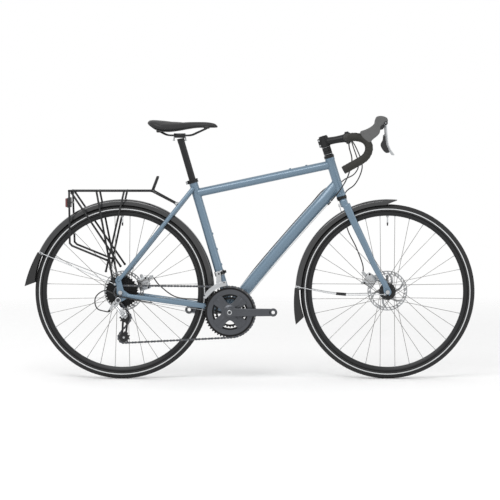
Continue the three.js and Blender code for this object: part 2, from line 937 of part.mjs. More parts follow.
const seatTubeSolid = rod(bottomBracket, onSeatTube(seatTubeLength), seatTubeDiameter / 2 + fit, 16);
const shellSolid = crossRod(
  bottomBracket,
  -bottomBracketWidth / 2 - fit,
  bottomBracketWidth / 2 + fit,
  bottomBracketDiameter / 2 + fit,
  16,
);

function headTube(grow = 0, bore = headTubeDiameter / 2 - headTubeWall) {
  const outer = headTubeDiameter / 2 + grow;
  const collar = headTubeCollarDiameter / 2 + grow;
  const profile = [
    [bore, 0],
    [collar, 0],
    [collar, headTubeCollarHeight],
    [outer, headTubeCollarHeight * 1.2],
    [outer, headTubeLength - headTubeCollarHeight * 1.2],
    [collar, headTubeLength - headTubeCollarHeight],
    [collar, headTubeLength],
    [bore, headTubeLength],
  ];
  return turned(profile, 16, onSteerer(headBottom), steerDirection);
}

const headTubeCutter = headTube(fit, 0);

const topTubeSeat = onSeatTube(topTubeSeatHeight);
const topTubeHead = onSteerer(headTop - topTubeBelow);

function boss(place, outwards, radius = bossRadius, height = bossHeight) {
  return rod(along(place, outwards, -height), along(place, outwards, height), radius, 6);
}

function topTube() {
  const tube = straightTube(topTubeSeat, topTubeHead, topTubeDiameter, topTubeWall);
  const direction = topTubeHead.clone().sub(topTubeSeat).normalize();
  const upwards = vec(-direction.z, 0, direction.x);
  const bosses = [0.7, 0.82].map((share) => {
    const place = topTubeSeat.clone().lerp(topTubeHead, share);
    return boss(along(place, upwards, topTubeDiameter / 2), upwards);
  });
  return without(joined([tube, ...bosses]), headTubeCutter, seatTubeSolid);
}

// The down tube bows up a little from the line between its ends
const downTubeHead = onSteerer(headBottom + downTubeAbove);
const downDirection = downTubeHead.clone().sub(bottomBracket).normalize();
const downUpwards = vec(-downDirection.z, 0, downDirection.x);

function onDownTube(share, outwards = 0, sideways = 0) {
  const straight = along(bottomBracket, downUpwards, downTubeLift).lerp(downTubeHead, share);
  const bow = 4 * share * (1 - share) * downTubeBow;
  return along(straight, downUpwards, bow + outwards).setY(sideways);
}

function downTube() {
  const line = [0, 0.25, 0.5, 0.75, 1].map((share) => onDownTube(share));
  const inner = [-0.03, 0.25, 0.5, 0.75, 1.03].map((share) => onDownTube(share));
  const radius = downTubeDiameter / 2;
  const outside = sweep(line, () => [radius, radius], 4, 14);
  const inside = sweep(inner, () => [radius - downTubeWall, radius - downTubeWall], 4, 10);
  const upper = [0.42, 0.42 + bossPitch / downTubeHead.distanceTo(bottomBracket)];
  const bosses = upper.map((share) => boss(onDownTube(share, radius), downUpwards));
  const stopPlace = onDownTube(cableStopShare, -radius - bossHeight / 2);
  const stop = block(stopPlace, cableStopLength, bossRadius * 3, bossHeight * 2, cableStopTilt);
  const tube = joined([outside.subtract(inside), ...bosses, stop]);
  return without(tube, headTubeCutter, shellSolid, seatTubeSolid);
}

function seatTube() {
  const tube = rod(bottomBracket, onSeatTube(seatTubeLength), seatTubeDiameter / 2, 16);
  const bore = rod(
    onSeatTube(seatTubeLength - seatTubeBoreDepth),
    onSeatTube(seatTubeLength + overrun),
    seatpostDiameter / 2 + fit,
    14,
  );
  const width = bottomBracketWidth / 2;
  const cups = width + bottomBracketCupWidth;
  const shell = crossRod(bottomBracket, -width, width, bottomBracketDiameter / 2, 16);
  const cup = crossRod(bottomBracket, -cups, cups, bottomBracketCupDiameter / 2, 16);
  const spindle = crossRod(bottomBracket, -cups - overrun, cups + overrun, spindleRadius + turningFit, 12);
  const ahead = vec(seatDirection.z, 0, -seatDirection.x);
  const bosses = [0, 1, 2].map((k) =>
    boss(onSeatTube(bottleBossHeight + k * bossPitch, seatTubeDiameter / 2), ahead),
  );
  return without(joined([tube, shell, cup, ...bosses]), bore, spindle);
}

addPiece("head_tube", headTube(), "paint");
addPiece("top_tube", topTube(), "paint");
addPiece("down_tube", downTube(), "paint");
addPiece("seat_tube", seatTube(), "paint");

// Rear stays of one side (-1 right, 1 left), with the dropout
const stayEndY = rearHalf + dropoutThickness / 2;

function chainstayPath(side) {
  const startY = bottomBracketWidth / 2 - chainstayWidth / 2 - fit;
  const start = vec(bottomBracket.x, side * startY, bottomBracket.z + chainstayRise);
  const end = vec(rearAxle.x + chainstayEndAhead, side * stayEndY, rearAxle.z - dropoutDrop);
  const [frontShare, rearShare] = chainstayBendShares;
  const middle = start.clone().lerp(end, frontShare).setY(side * chainstaySpread);
  const rear = start.clone().lerp(end, rearShare).setY(side * mixed(chainstaySpread, stayEndY, rearShare));
  return [start, middle, rear, end];
}

function seatstayPath(side) {
  const topY = seatTubeDiameter / 2 + fit + seatstayTopGap;
  const upperY = guardWidth / 2 + seatstayDiameter / 2 + seatstayGuardGap;
  const lowerY = mixed(guardWidth / 2, stayEndY, seatstaySpreadShare);
  const top = onSeatTube(seatstayTopHeight, -seatstaySetback, side * topY);
  const end = vec(rearAxle.x - hangerSetback, side * stayEndY, rearAxle.z + seatstayEndRise);
  const [upperShare, lowerShare] = seatstayBendShares;
  const upper = top.clone().lerp(end, upperShare).setY(side * upperY);
  const lower = top.clone().lerp(end, lowerShare).setY(side * lowerY);
  return [top, upper, lower, end];
}

function chainstayHalf(share) {
  const width = mixed(chainstayWidth, chainstayEndWidth, share) / 2;
  return [width, mixed(chainstayHeight, chainstayEndDiameter, share) / 2];
}

function seatstayHalf(share) {
  const radius = mixed(seatstayDiameter, seatstayEndDiameter, share) / 2;
  return [radius, radius];
}

function dropout(side) {
  const centreY = side * stayEndY;
  const low = vec(rearAxle.x + dropoutWidth, 0, rearAxle.z - dropoutDrop);
  const high = vec(rearAxle.x - hangerSetback, 0, rearAxle.z + dropoutRise);
  const outlines = [
    capsule(rearAxle, low, dropoutWidth / 2, chainstayEndDiameter / 2),
    capsule(rearAxle, high, dropoutWidth / 2, seatstayEndDiameter / 2),
    capsule(high, dropoutEyelet, seatstayEndDiameter / 2, stayEyelet + eyeletWall),
  ];
  if (side < 0) outlines.push(capsule(low, hanger, hangerNeckRadius, hangerRadius));
  const plates = outlines.map((outline) => plate(outline, dropoutThickness, centreY));
  const slot = crossRod(rearAxle, centreY - rearHalf, centreY + rearHalf, axleRadius + fit, 10);
  const mouth = block(
    vec(rearAxle.x, centreY, rearAxle.z - dropoutWidth / 2),
    2 * (axleRadius + fit),
    2 * dropoutThickness,
    dropoutWidth,
  );
  return without(joined(plates), slot, mouth);
}

const hanger = vec(rearAxle.x - hangerSetback, 0, rearAxle.z - hangerDrop);
const dropoutEyelet = vec(rearAxle.x - eyeletBack, 0, rearAxle.z + eyeletRise);

function rearStays(side) {
  const chainstay = sweep(chainstayPath(side), chainstayHalf, 6, 8);
  const seatstay = sweep(seatstayPath(side), seatstayHalf, 5, 8);
  const parts = [chainstay, seatstay, dropout(side)];
  return without(joined(parts), shellSolid, seatTubeSolid);
}

// Where a stay's centre line comes within a distance of the rear axle
function stayAt(path, distance) {
  const line = new THREE.CatmullRomCurve3(path, false, "centripetal").getPoints(stayLineSteps);
  const near = line.find((place) => at(place, 0).distanceTo(rearAxle) < distance);
  const outwards = at(near, 0).sub(rearAxle).normalize();
  return along(rearAxle, outwards, distance).setY(near.y);
}

function at(place, y) {
  return vec(place.x, y, place.z);
}

// The bridges that hold the mudguard join the left stays and end just short of the right ones
const bridgePlaces = [seatstayPath(1), chainstayPath(1)].map((path) => stayAt(path, guardOuter + bridgeGap));

function bridge(place) {
  return crossRod(at(place, 0), -place.y, place.y, bridgeRadius, 8);
}

function staysCutter(side) {
  const grown = (halves) => (share) => halves(share).map((half) => half + fit);
  const chainstay = sweep(chainstayPath(side), grown(chainstayHalf), 6, 8);
  return chainstay.add(sweep(seatstayPath(side), grown(seatstayHalf), 5, 8));
}

const staysCutters = { [-1]: staysCutter(-1), 1: staysCutter(1) };

function leftStays() {
  return without(joined([rearStays(1), ...bridgePlaces.map(bridge)]), staysCutters[-1]);
}

addPiece("rear_stays_right", rearStays(-1), "paint");
addPiece("rear_stays_left", leftStays(), "paint");

function seatCollar() {
  const inner = seatTubeDiameter / 2 + fit;
  const outer = inner + collarWall;
  const bottom = onSeatTube(seatTubeLength - collarHeight);
  const profile = [
    [inner, 0],
    [outer, 0],
    [outer, collarHeight],
    [inner, collarHeight],
  ];
  const band = turned(profile, 16, bottom, seatDirection);
  const ears = onSeatTube(seatTubeLength - collarHeight / 2, -outer - collarEar * 0.3);
  const lug = block(ears, collarEar, collarEar * 2, collarHeight * 0.8, 90 - seatAngle);
  const boreBottom = onSeatTube(seatTubeLength - collarHeight * 2);
  const boreTop = onSeatTube(seatTubeLength + overrun);
  return without(band.add(lug), rod(boreBottom, boreTop, inner, 16));
}

addPiece("seat_collar", seatCollar(), "satinBlack");

// Headset
function cup(fromHeight, height) {
  const profile = [
    [steererDiameter / 2 + turningFit, 0],
    [headsetDiameter / 2, 0],
    [headsetDiameter / 2, height],
    [steererDiameter / 2 + turningFit, height],
  ];
  return turned(profile, 14, onSteerer(fromHeight), steerDirection);
}

addPiece("headset_lower", cup(forkLength + fit, lowerCupHeight), "satinBlack");
addPiece("headset_upper", cup(headTop + fit, upperCupHeight), "satinBlack");

// Seatpost and saddle
const headPlace = onSeatTube(seatpostHeadAt);
const railHeight = headPlace.z + seatpostHeadHeight * 0.2;

function railPath(side) {
  const y = side * railSpacing;
  const rear = headPlace.x - seatpostHeadLength;
  const nose = headPlace.x + seatpostHeadLength;
  return [
    vec(rear - railDiameter * 5, y * 1.4, railHeight + railDiameter * 2.2),
    vec(rear - railDiameter * 2, y * 1.2, railHeight + railDiameter * 0.6),
    vec(rear, y, railHeight),
    vec(headPlace.x, y, railHeight),
    vec(nose, y, railHeight),
    vec(nose + railDiameter * 4, y * 0.9, railHeight + railDiameter * 1.6),
    vec(nose + railDiameter * 9, y * 0.5, railHeight + railDiameter * 3.9),
  ];
}

function seatpost() {
  const bottom = onSeatTube(seatTubeLength - seatpostInsertion);
  const top = onSeatTube(seatpostTop + overrun);
  const post = rod(bottom, top, seatpostDiameter / 2, 14);
  const width = 2 * railSpacing + railDiameter * 2;
  const head = block(headPlace, seatpostHeadLength, width, seatpostHeadHeight);
  const neckPlace = onSeatTube(seatpostTop + overrun / 2);
  const neck = block(neckPlace, seatpostHeadWidth, seatpostHeadWidth, seatpostHeadHeight * 0.5);
  const rails = [-1, 1].map((side) => pipe(railPath(side), railDiameter / 2 + fit, 9, 6));
  const below = along(bottom, seatDirection, -overrun);
  const hollow = rod(below, onSeatTube(seatpostTop - overrun), seatpostDiameter / 2 - seatpostWall, 8);
  return without(joined([post, head, neck]), hollow, ...rails);
}

addPiece("seatpost", seatpost(), "satinBlack");

// Saddle stations: share of the length from the rear, share of half the width, then the top
// and the lower edge in shares of the depth
const saddleStationShares = [
  [0, 0.45, 0.977, 0.75],
  [0.03, 0.75, 1.16, 0.57],
  [0.12, 0.98, 1.16, 0.2],
  [0.2, 1, 1.045, 0.045],
  [0.3, 0.9, 0.977, 0.02],
  [0.42, 0.66, 0.943, 0.11],
  [0.55, 0.43, 0.966, 0.25],
  [0.7, 0.3, 0.99, 0.39],
  [0.85, 0.25, 0.977, 0.41],
  [0.95, 0.2, 0.864, 0.41],
  [1, 0.1, 0.61, 0.43],
];

const saddleCrownShares = [
  [0.88, 0],
  [1, 0.35],
  [0.96, 0.7],
  [0.78, 0.9],
  [0.4, 0.99],
  [0, 1],
];

function saddleX(lengthShare) {
  return headPlace.x + saddleLength * (saddleSetShare + lengthShare - 1 / 2);
}

function saddleHeight(share) {
  return saddleTop - saddleDepth * (1 - share);
}

// A ring of the cover: a crowned top, sides that draw in, and a hollow below for the shell
function saddleRing([lengthShare, widthShare, topShare, lowShare], hollow) {
  const x = saddleX(lengthShare);
  const half = (saddleWidth / 2) * widthShare;
  const low = saddleHeight(lowShare);
  const top = saddleHeight(topShare);
  const inside = half * saddleShellShare;
  const crown = saddleCrownShares.map(([w, h]) => [half * w, mixed(low, top, h)]);
  const right = [[inside, low + hollow], [inside, low], ...crown];
  const left = right.slice(0, -1).reverse();
  return [...right.map(([y, z]) => vec(x, -y, z)), ...left.map(([y, z]) => vec(x, y, z))];
}

function saddleCover() {
  const last = saddleStationShares.length - 1;
  const depth = saddleShell + 4 * fit;
  return loft(saddleStationShares.map((station, i) => saddleRing(station, i % last ? depth : 0)));
}

// The shell lies in the hollow of the cover, and carries the two rails
function saddleBase() {
  const band = (halfWidth, from, to) =>
    saddleStationShares.slice(1, -1).map(([lengthShare, widthShare, , lowShare]) => {
      const x = saddleX(lengthShare);
      const half = halfWidth * widthShare;
      const low = saddleHeight(lowShare);
      return [
        vec(x, -half, low + from),
        vec(x, -half, low + to),
        vec(x, half, low + to),
        vec(x, half, low + from),
      ];
    });
  const top = saddleShell + 2 * fit;
  const shell = loft(band((saddleWidth / 2) * saddleShellShare - 3 * fit, 2 * fit, top));
  const roof = loft(band(saddleWidth, top, saddleDepth));
  const rails = [-1, 1].map((side) => pipe(railPath(side), railDiameter / 2, 9, 6));
  return joined([shell, ...rails.map((rail) => rail.subtract(roof))]);
}

addPiece("saddle_cover", saddleCover(), "saddle");
addPiece("saddle_base", saddleBase(), "satinBlack");

// Fork
function bladeShares() {
  return [
    [0.93, 0.14],
    [0.75, 0.28],
    [0.49, 0.52],
    [0.3, 0.68],
    [0.12, 0.9],
    [0.045, 1],
  ];
}

function bladePath(side) {
  const endY = frontHalf + forkDropoutThickness / 2;
  return bladeShares().map(([heightShare, forwardShare]) => {
    const spread = mixed(endY, bladeTopSpread, heightShare);
    return onSteerer(forkLength * heightShare, forkRake * forwardShare, side * spread);
  });
}

function bladeHalf(grow) {
  return (share) => [
    mixed(bladeTopThickness, bladeEndThickness, share) / 2 + grow,
    mixed(bladeTopWidth, bladeEndWidth, share) / 2 + grow,
  ];
}

function blade(side, grow = 0) {
  return sweep(bladePath(side), bladeHalf(grow), 5, 8);
}

function forkDropout(side) {
  const centreY = side * (frontHalf + forkDropoutThickness / 2);
  const high = onSteerer(forkLength * 0.1, forkRake);
  const outline = capsule(frontAxle, high, forkDropoutRadius, bladeEndWidth / 2);
  const ear = plate(outline, forkDropoutThickness, centreY);
  const reach = forkDropoutRadius;
  const slot = crossRod(frontAxle, centreY - reach, centreY + reach, axleRadius + fit, 10);
  const mouthPlace = vec(frontAxle.x, centreY, frontAxle.z - forkDropoutRadius);
  const mouth = block(mouthPlace, 2 * (axleRadius + fit), forkDropoutRadius, 2 * forkDropoutRadius);
  return without(ear, slot, mouth);
}

const stemBottom = headTop + fit + upperCupHeight + fit;
const steererTop = stemBottom + spacerHeight + stemClampHeight - fit;

function fork() {
  const crownCentre = onSteerer(forkLength - crownHeight / 2, bladeTopWidth * 0.1);
  const crown = block(crownCentre, crownDepth, crownWidth - 2 * hoodBevel, crownHeight, 90 - headAngle);
  const shoulder = block(crownCentre, crownDepth * 0.75, crownWidth, crownHeight, 90 - headAngle);
  const steerer = rod(onSteerer(forkLength - crownHeight), onSteerer(steererTop), steererDiameter / 2, 14);
  const bore = rod(
    onSteerer(forkLength - crownHeight * 2),
    onSteerer(steererTop + overrun),
    steererDiameter / 2 - steererWall,
    8,
  );
  const parts = [steerer, crown, shoulder];
  for (const side of [-1, 1]) parts.push(blade(side), forkDropout(side));
  return without(joined(parts), bore);
}

addPiece("fork", fork(), "paint");

// Stem: spacers, clamp, body and bar clamp
const stemPlace = onSteerer(stemBottom + spacerHeight + stemClampHeight / 2);
const stemDirection = inPlane(stemRise);
const barCentre = along(stemPlace, stemDirection, stemLength);

function stem() {
  const clampTop = stemBottom + spacerHeight + stemClampHeight;
  const core = rod(onSteerer(stemBottom), onSteerer(clampTop + topCapHeight), spacerDiameter / 2, 12);
  const clamp = rod(onSteerer(stemBottom + spacerHeight), onSteerer(clampTop), stemClampDiameter / 2, 12);
  const body = rod(stemPlace, barCentre, stemBodyDiameter / 2, 10);
  const half = stemBarClampWidth / 2;
  const barClamp = crossRod(barCentre, -half, half, stemBarClampDiameter / 2, 12);
  const barHole = crossRod(barCentre, -half - overrun, half + overrun, barCentreDiameter / 2 + fit, 14);
  const [holeFoot, holeTop] = [onSteerer(stemBottom - overrun), onSteerer(clampTop + fit)];
  const steererHole = rod(holeFoot, holeTop, steererDiameter / 2 + fit, 14);
  return without(joined([core, clamp, body, barClamp]), barHole, steererHole);
}

addPiece("stem", stem(), "satinBlack");

// Handlebar: one half's line from the stem to the end of the drop
const hookShares = [
  [0.3, 0.02],
  [0.62, -0.01],
  [0.86, -0.09],
  [1, -0.24],
  [1, -0.42],
  [0.85, -0.6],
  [0.58, -0.73],
  [0.25, -0.85],
  [-0.16, -1],
];

function barPath(side) {
  const half = barWidth / 2;
  const start = barCentre.clone();
  const tops = [0, half * 0.4, half - barCorner].map((y) => start.clone().setY(side * y));
  const bend = vec(barCentre.x + barCorner * 0.22, side * (half - barCorner * 0.24), barCentre.z);
  const hook = hookShares.map(([reachShare, dropShare]) => {
    const flare = barFlare * Math.max(0, -dropShare);
    return vec(
      barCentre.x + barReach * reachShare,
      side * (half + flare),
      barCentre.z + barDrop * dropShare,
    );
  });
  return [...tops, bend, ...hook];
}

const barSteps = 16;
const barSides = 8;

function barHalf(side, radius) {
  return pipe(barPath(side), radius, barSteps, barSides);
}

function handlebar() {
  const sleeve = crossRod(barCentre, -barCentreWidth / 2, barCentreWidth / 2, barCentreDiameter / 2, 14);
  return joined([barHalf(-1, barDiameter / 2), barHalf(1, barDiameter / 2), sleeve]);
}

addPiece("handlebar", handlebar(), "satinBlack");

// Tape from beside the stem to the bar's end, with the plug that closes it
function tapeLine(side) {
  const path = barPath(side);
  const last = path[path.length - 1];
  const before = path[path.length - 2];
  const outwards = last.clone().sub(before).normalize();
  const start = barCentre.clone().setY(side * tapeStart);
  return [start, ...path.slice(1, -1), along(last, outwards, tapePlug)];
}

function tapeSolid(side, grow = 0) {
  return pipe(tapeLine(side), tapeDiameter / 2 + grow, barSteps, barSides);
}

function barTape(side) {
  return without(tapeSolid(side), barHalf(side, barDiameter / 2 + fit));
}

addPiece("bar_tape_right", barTape(-1), "tape");
addPiece("bar_tape_left", barTape(1), "tape");

// Hoods: the outline in shares of their reach and rise, measured from the bar's centre
const hoodOutlineShares = [
  [0.31, 0.257],
  [0.44, 0.36],
  [0.579, 0.5],
  [0.665, 0.664],
  [0.695, 0.925],
  [0.753, 1],
  [0.887, 0.995],
  [0.975, 0.908],
  [1, 0.777],
  [0.965, 0.66],
  [0.829, 0.554],
  [0.791, 0.185],
  [0.637, -0.076],
  [0.536, -0.29],
  [0.47, -0.18],
  [0.36, 0.02],
];

const leverPivotShares = [0.946, 0.67];
const leverPivot = vec(
  barCentre.x + hoodReach * leverPivotShares[0],
  0,
  barCentre.z + hoodRise * leverPivotShares[1],
);

function hood(side) {
  const y = (side * barWidth) / 2;
  const outline = hoodOutlineShares.map(([reachShare, riseShare]) =>
    vec(barCentre.x + hoodReach * reachShare, 0, barCentre.z + hoodRise * riseShare),
  );
  const body = plate(outline, hoodWidth, y, hoodBevel);
  const notch = crossRod(leverPivot, y - hoodWidth, y + hoodWidth, leverEyeRadius + turningFit, 12);
  return without(body, tapeSolid(side, fit), notch);
}

addPiece("brake_hood_right", hood(-1), "hood");
addPiece("brake_hood_left", hood(1), "hood");

// Brake levers and the shift paddles behind them, in shares of the lever's length
const leverLineShares = [
  [0, 0],
  [0.011, -0.22],
  [0.033, -0.456],
  [0.068, -0.677],
  [0.148, -0.852],
  [0.24, -0.976],
];

function leverPlace([aheadShare, downShare], side) {
  return vec(
    leverPivot.x + leverLength * aheadShare,
    (side * barWidth) / 2,
    leverPivot.z + leverLength * downShare,
  );
}

function leverBlade(side, spread = 0, gap = 0) {
  const line = leverLineShares.map((shares) => leverPlace(shares, side));
  const half = (share) => [
    mixed(leverTopWidth, leverMiddleWidth, Math.sin(Math.PI * share)) / 2 + spread,
    leverDepth / 2 + gap,
  ];
  return sweep(line, half, 7, 8);
}

function brakeLever(side) {
  const y = (side * barWidth) / 2;
  const eye = crossRod(leverPivot, y - leverTopWidth / 2, y + leverTopWidth / 2, leverEyeRadius, 12);
  return leverBlade(side).add(eye);
}

const paddleOutlineShares = [
  [-0.05, -0.34],
  [0.02, -0.34],
  [0.03, -0.46],
  [0.05, -0.58],
  [0.07, -0.69],
  [0.12, -0.81],
  [0.105, -0.9],
  [0.06, -0.925],
  [-0.024, -0.875],
  [-0.12, -0.73],
  [-0.135, -0.635],
  [-0.07, -0.5],
];

function shiftPaddle(side) {
  const outline = paddleOutlineShares.map((shares) => leverPlace(shares, side));
  const blade = plate(outline, paddleWidth, (side * barWidth) / 2, paddleEdge);
  return without(blade, leverBlade(side, leverMiddleWidth, paddleGap));
}

addPiece("brake_lever_right", brakeLever(-1), "silver");
addPiece("brake_lever_left", brakeLever(1), "silver");
addPiece("shift_paddle_right", shiftPaddle(-1), "satinBlack");
addPiece("shift_paddle_left", shiftPaddle(1), "satinBlack");

// Rear derailleur
const linkStart = vec(hanger.x - linkFromBoltBack, -mountOffset, hanger.z - linkFromBoltDrop);
const linkVector = vec(linkRun, -linkLeanOut, -linkDrop);
const linkEnd = linkStart.clone().add(linkVector);
const linkLine = linkVector.clone().normalize();
const swingAxis = vec(linkDrop, 0, linkRun).normalize();
const linkUpright = swingAxis.clone().cross(linkLine);
const cagePivot = along(linkEnd, linkLine, linkBlock + linkEar);

// Two ears and the block that joins them, round a barrel. reach is 1 if the block lies on past
// the barrel and -1 if it lies before it.
function clevis(centre, reach) {
  const near = along(centre, linkLine, -reach * linkBarrelRadius);
  const far = along(centre, linkLine, reach * (linkBarrelRadius + linkBlock));
  const blockStart = along(centre, linkLine, reach * (linkBarrelRadius + fit));
  const offset = linkBarrelHalf + fit + linkEar / 2;
  const parts = [-1, 1].map((side) => {
    const [from, to] = [near, far].map((place) => along(place, swingAxis, side * offset));
    return beam(from, to, linkEar, 2 * linkBarrelRadius, linkUpright);
  });
  const width = 2 * offset + linkEar;
  return joined([...parts, beam(blockStart, far, width, 2 * linkBarrelRadius, linkUpright)]);
}

function linkBarrel(centre, radius = linkBarrelRadius, half = linkBarrelHalf) {
  return rod(along(centre, swingAxis, -half), along(centre, swingAxis, half), radius, 12);
}

function derailleurMount() {
  const inner = stayEndY + dropoutThickness / 2 + fit;
  const thickness = 9;
  const centreY = -(inner + thickness / 2);
  const back = along(linkStart, linkLine, -linkBarrelRadius - linkBlock / 2);
  const arm = plate(capsule(hanger, back, hangerRadius, linkBarrelRadius + 2), thickness, centreY);
  const stop = rearShiftStop.clone();
  const reach = plate(capsule(back, stop, linkBarrelRadius, 5), thickness, centreY);
  const room = linkBarrel(linkStart, linkBarrelRadius + fit, linkBarrelHalf + fit);
  const parts = joined([clevis(linkStart, -1), arm.subtract(room), reach.subtract(room)]);
  return without(parts, grownHanger, rearShiftCutter);
}

function derailleurLink() {
  const body = beam(linkStart, linkEnd, 2 * linkBarrelHalf, linkThickness, linkUpright);
  return joined([linkBarrel(linkStart), linkBarrel(linkEnd), body]);
}

function derailleurKnuckle() {
  const from = -(chainPlane + cagePlateGap + cagePlateThickness + fit);
  const barrel = crossRod(cagePivot, from, cagePivot.y, knuckleRadius, 12);
  const room = linkBarrel(linkEnd, linkBarrelRadius + fit, linkBarrelHalf + fit);
  return clevis(linkEnd, 1).add(barrel.subtract(room));
}

function derailleurCage() {
  const outline = capsule(upperJockey, lowerJockey, cagePlateTop, cagePlateEnd);
  const offset = cagePlateGap + cagePlateThickness / 2;
  const plates = [-1, 1].map((side) => plate(outline, cagePlateThickness, -chainPlane + side * offset));
  const bolts = [upperJockey, lowerJockey].map((place) =>
    crossRod(place, -chainPlane - offset, -chainPlane + offset, jockeyBoltRadius, 8),
  );
  return joined([...plates, ...bolts]);
}

function jockeyWheel(place) {
  const half = cagePlateGap - fit;
  const wheel = plate(toothed(jockeyTeeth, place), jockeyThickness, -chainPlane);
  const hub = crossRod(place, -chainPlane - half, -chainPlane + half, jockeyHubRadius, 10);
  const [right, left] = [-chainPlane - 2 * half, -chainPlane + 2 * half];
  const bore = crossRod(place, right, left, jockeyBoltRadius + turningFit, 8);
  return wheel.add(hub).subtract(bore);
}

// Front derailleur: a band round the seat tube with its body, and the cage that moves sideways
const frontClampPlace = onSeatTube(frontClampAt);
const frontBodyInner = seatTubeDiameter / 2 + frontClampWall;
const frontRiserY = -chainPlane + frontCageHalf;
const frontGuideEnd = -frontRiserY + frontRiserThickness;

function frontDerailleur() {
  const inner = seatTubeDiameter / 2 + fit;
  const profile = [
    [inner, 0],
    [inner + frontClampWall, 0],
    [inner + frontClampWall, frontClampHeight],
    [inner, frontClampHeight],
  ];
  const band = turned(profile, 16, onSeatTube(frontClampAt - frontClampHeight / 2), seatDirection);
  const width = frontBodyWidth;
  const sunk = frontClampWall / 3;
  const centre = frontClampPlace.clone().setY(-(frontBodyInner - sunk + width / 2));
  const body = block(centre, frontBodyLength, width, frontClampHeight - 2 * sunk);
  const guide = crossRod(frontClampPlace, -frontGuideEnd, centre.y, frontGuideRadius, 8);
  return joined([band, body, guide]);
}

function cagePlateOutline() {
  const outline = [];
  const steps = 6;
  for (const [radius, from, to] of [
    [frontCageOuter, frontCageStart, frontCageEnd],
    [frontCageInner, frontCageEnd, frontCageStart],
  ]) {
    for (let i = 0; i <= steps; i++) {
      outline.push(along(bottomBracket, inPlane(mixed(from, to, i / steps)), radius));
    }
  }
  return outline;
}

function frontDerailleurCage() {
  const offset = frontCageHalf - frontCagePlate / 2;
  const plates = [-1, 1].map((side) =>
    plate(cagePlateOutline(), frontCagePlate, -chainPlane + side * offset),
  );
  const joints = [frontCageStart + 4, frontCageEnd - 4].map((turn) => {
    const place = along(bottomBracket, inPlane(turn), frontCageOuter - 3);
    return crossRod(place, -chainPlane - offset, -chainPlane + offset, 2, 6);
  });
  const riserTop = frontClampPlace.z + frontClampHeight / 2;
  const riserFoot = bottomBracket.z + frontCageInner + frontCageHalf;
  const riser = block(
    vec(frontClampPlace.x, frontRiserY, (riserTop + riserFoot) / 2),
    frontRiserLength,
    frontRiserThickness,
    riserTop - riserFoot,
  );
  const holeEnd = -frontGuideEnd - overrun;
  const hole = crossRod(frontClampPlace, holeEnd, -frontBodyInner, frontGuideRadius + fit, 8);
  return without(joined([...plates, ...joints, riser]), hole);
}

// Disc brakes
function caliper(axle, discY, turn, centreRadius, stop, extras = []) {
  const centre = along(axle, inPlane(turn), centreRadius);
  const inner = discY - caliperInside;
  const outer = discY + caliperOutside;
  const middle = centre.clone().setY((inner + outer) / 2);
  const body = block(middle, caliperHeight, outer - inner, caliperLength, turn);
  const near = centre.clone().lerp(stop, 0.55);
  const lug = plate(capsule(near, stop, stopLugRadius, stopLugRadius), stopLugWidth, outer);
  const slotHalf = caliperSlot / 2;
  const slot = crossRod(axle, discY - slotHalf, discY + slotHalf, discRadius + 2, 24);
  return joined([body, lug, ...extras]).subtract(slot);
}

function caliperArm(centre, outerY, turn) {
  const tip = along(centre, inPlane(turn), armLength);
  const thickness = armThickness;
  const y = outerY + fit + thickness / 2;
  const arm = plate(capsule(centre, tip, armEyeRadius, armWidth / 2), thickness, y);
  return arm.add(crossRod(tip, y, y + armThickness, armWidth / 3, 8));
}

const frontCaliperPlace = along(frontAxle, inPlane(frontCaliperAngle), frontCaliperCentre);
const rearCaliperPlace = along(rearAxle, inPlane(rearCaliperAngle), rearCaliperCentre);
const frontStop = along(frontCaliperPlace, inPlane(frontStopAngle), stopReach);
const rearStop = along(rearCaliperPlace, inPlane(rearStopAngle), stopReach);

function armTip(place, turn, outerY) {
  const tip = along(place, inPlane(turn), armLength).setY(outerY + fit + armThickness / 2);
  return tip;
}

const frontArmY = frontDiscY + caliperOutside;
const rearArmY = rearDiscY + caliperOutside;

// Cables. Each is a housing, and a bare wire past the place where the housing stops.
function cable(points, wireFrom = 1, grow = 0) {
  const half = (share) => {
    const radius = share < wireFrom ? housingRadius : wireRadius;
    return [radius + grow, radius + grow];
  };
  return sweep(points, half, Math.round(cableSteps * (points.length - 1)), cableSides, true);
}

function barExit(side, turn) {
  const place = along(barCentre, inPlane(turn), barDiameter / 2 + housingRadius + fit);
  return place.setY(side * (tapeStart - housingRadius));
}

function underTube(share, sideways) {
  return onDownTube(share, -downTubeDiameter / 2 - housingRadius - 2 * fit, sideways);
}

function overTube(share, sideways) {
  const clear = downTubeDiameter / 2 + housingRadius + 3 * fit;
  return onDownTube(share, Math.sqrt(clear ** 2 - sideways ** 2), sideways);
}

function besideHead(height, forward, sideways) {
  return onSteerer(headBottom + height, forward, sideways);
}

const frontBrakeLine = [
  barExit(-1, -30),
  besideHead(179, 112, -42),
  besideHead(97, 117, -12),
  besideHead(60, 98, 14),
  besideHead(28, 64, 34),
  besideHead(8, 20, 48),
  besideHead(-40, 2, 54),
  besideHead(-130, -16, 57),
  besideHead(-220, -4, 59),
  along(frontStop, vec(0, 0, 1), 25).setY(frontArmY + armThickness / 2),
  frontStop.clone().setY(frontArmY + armThickness / 2),
  armTip(frontCaliperPlace, frontArmAngle, frontArmY).add(vec(0, 0, armWidth / 2 + housingRadius)),
];

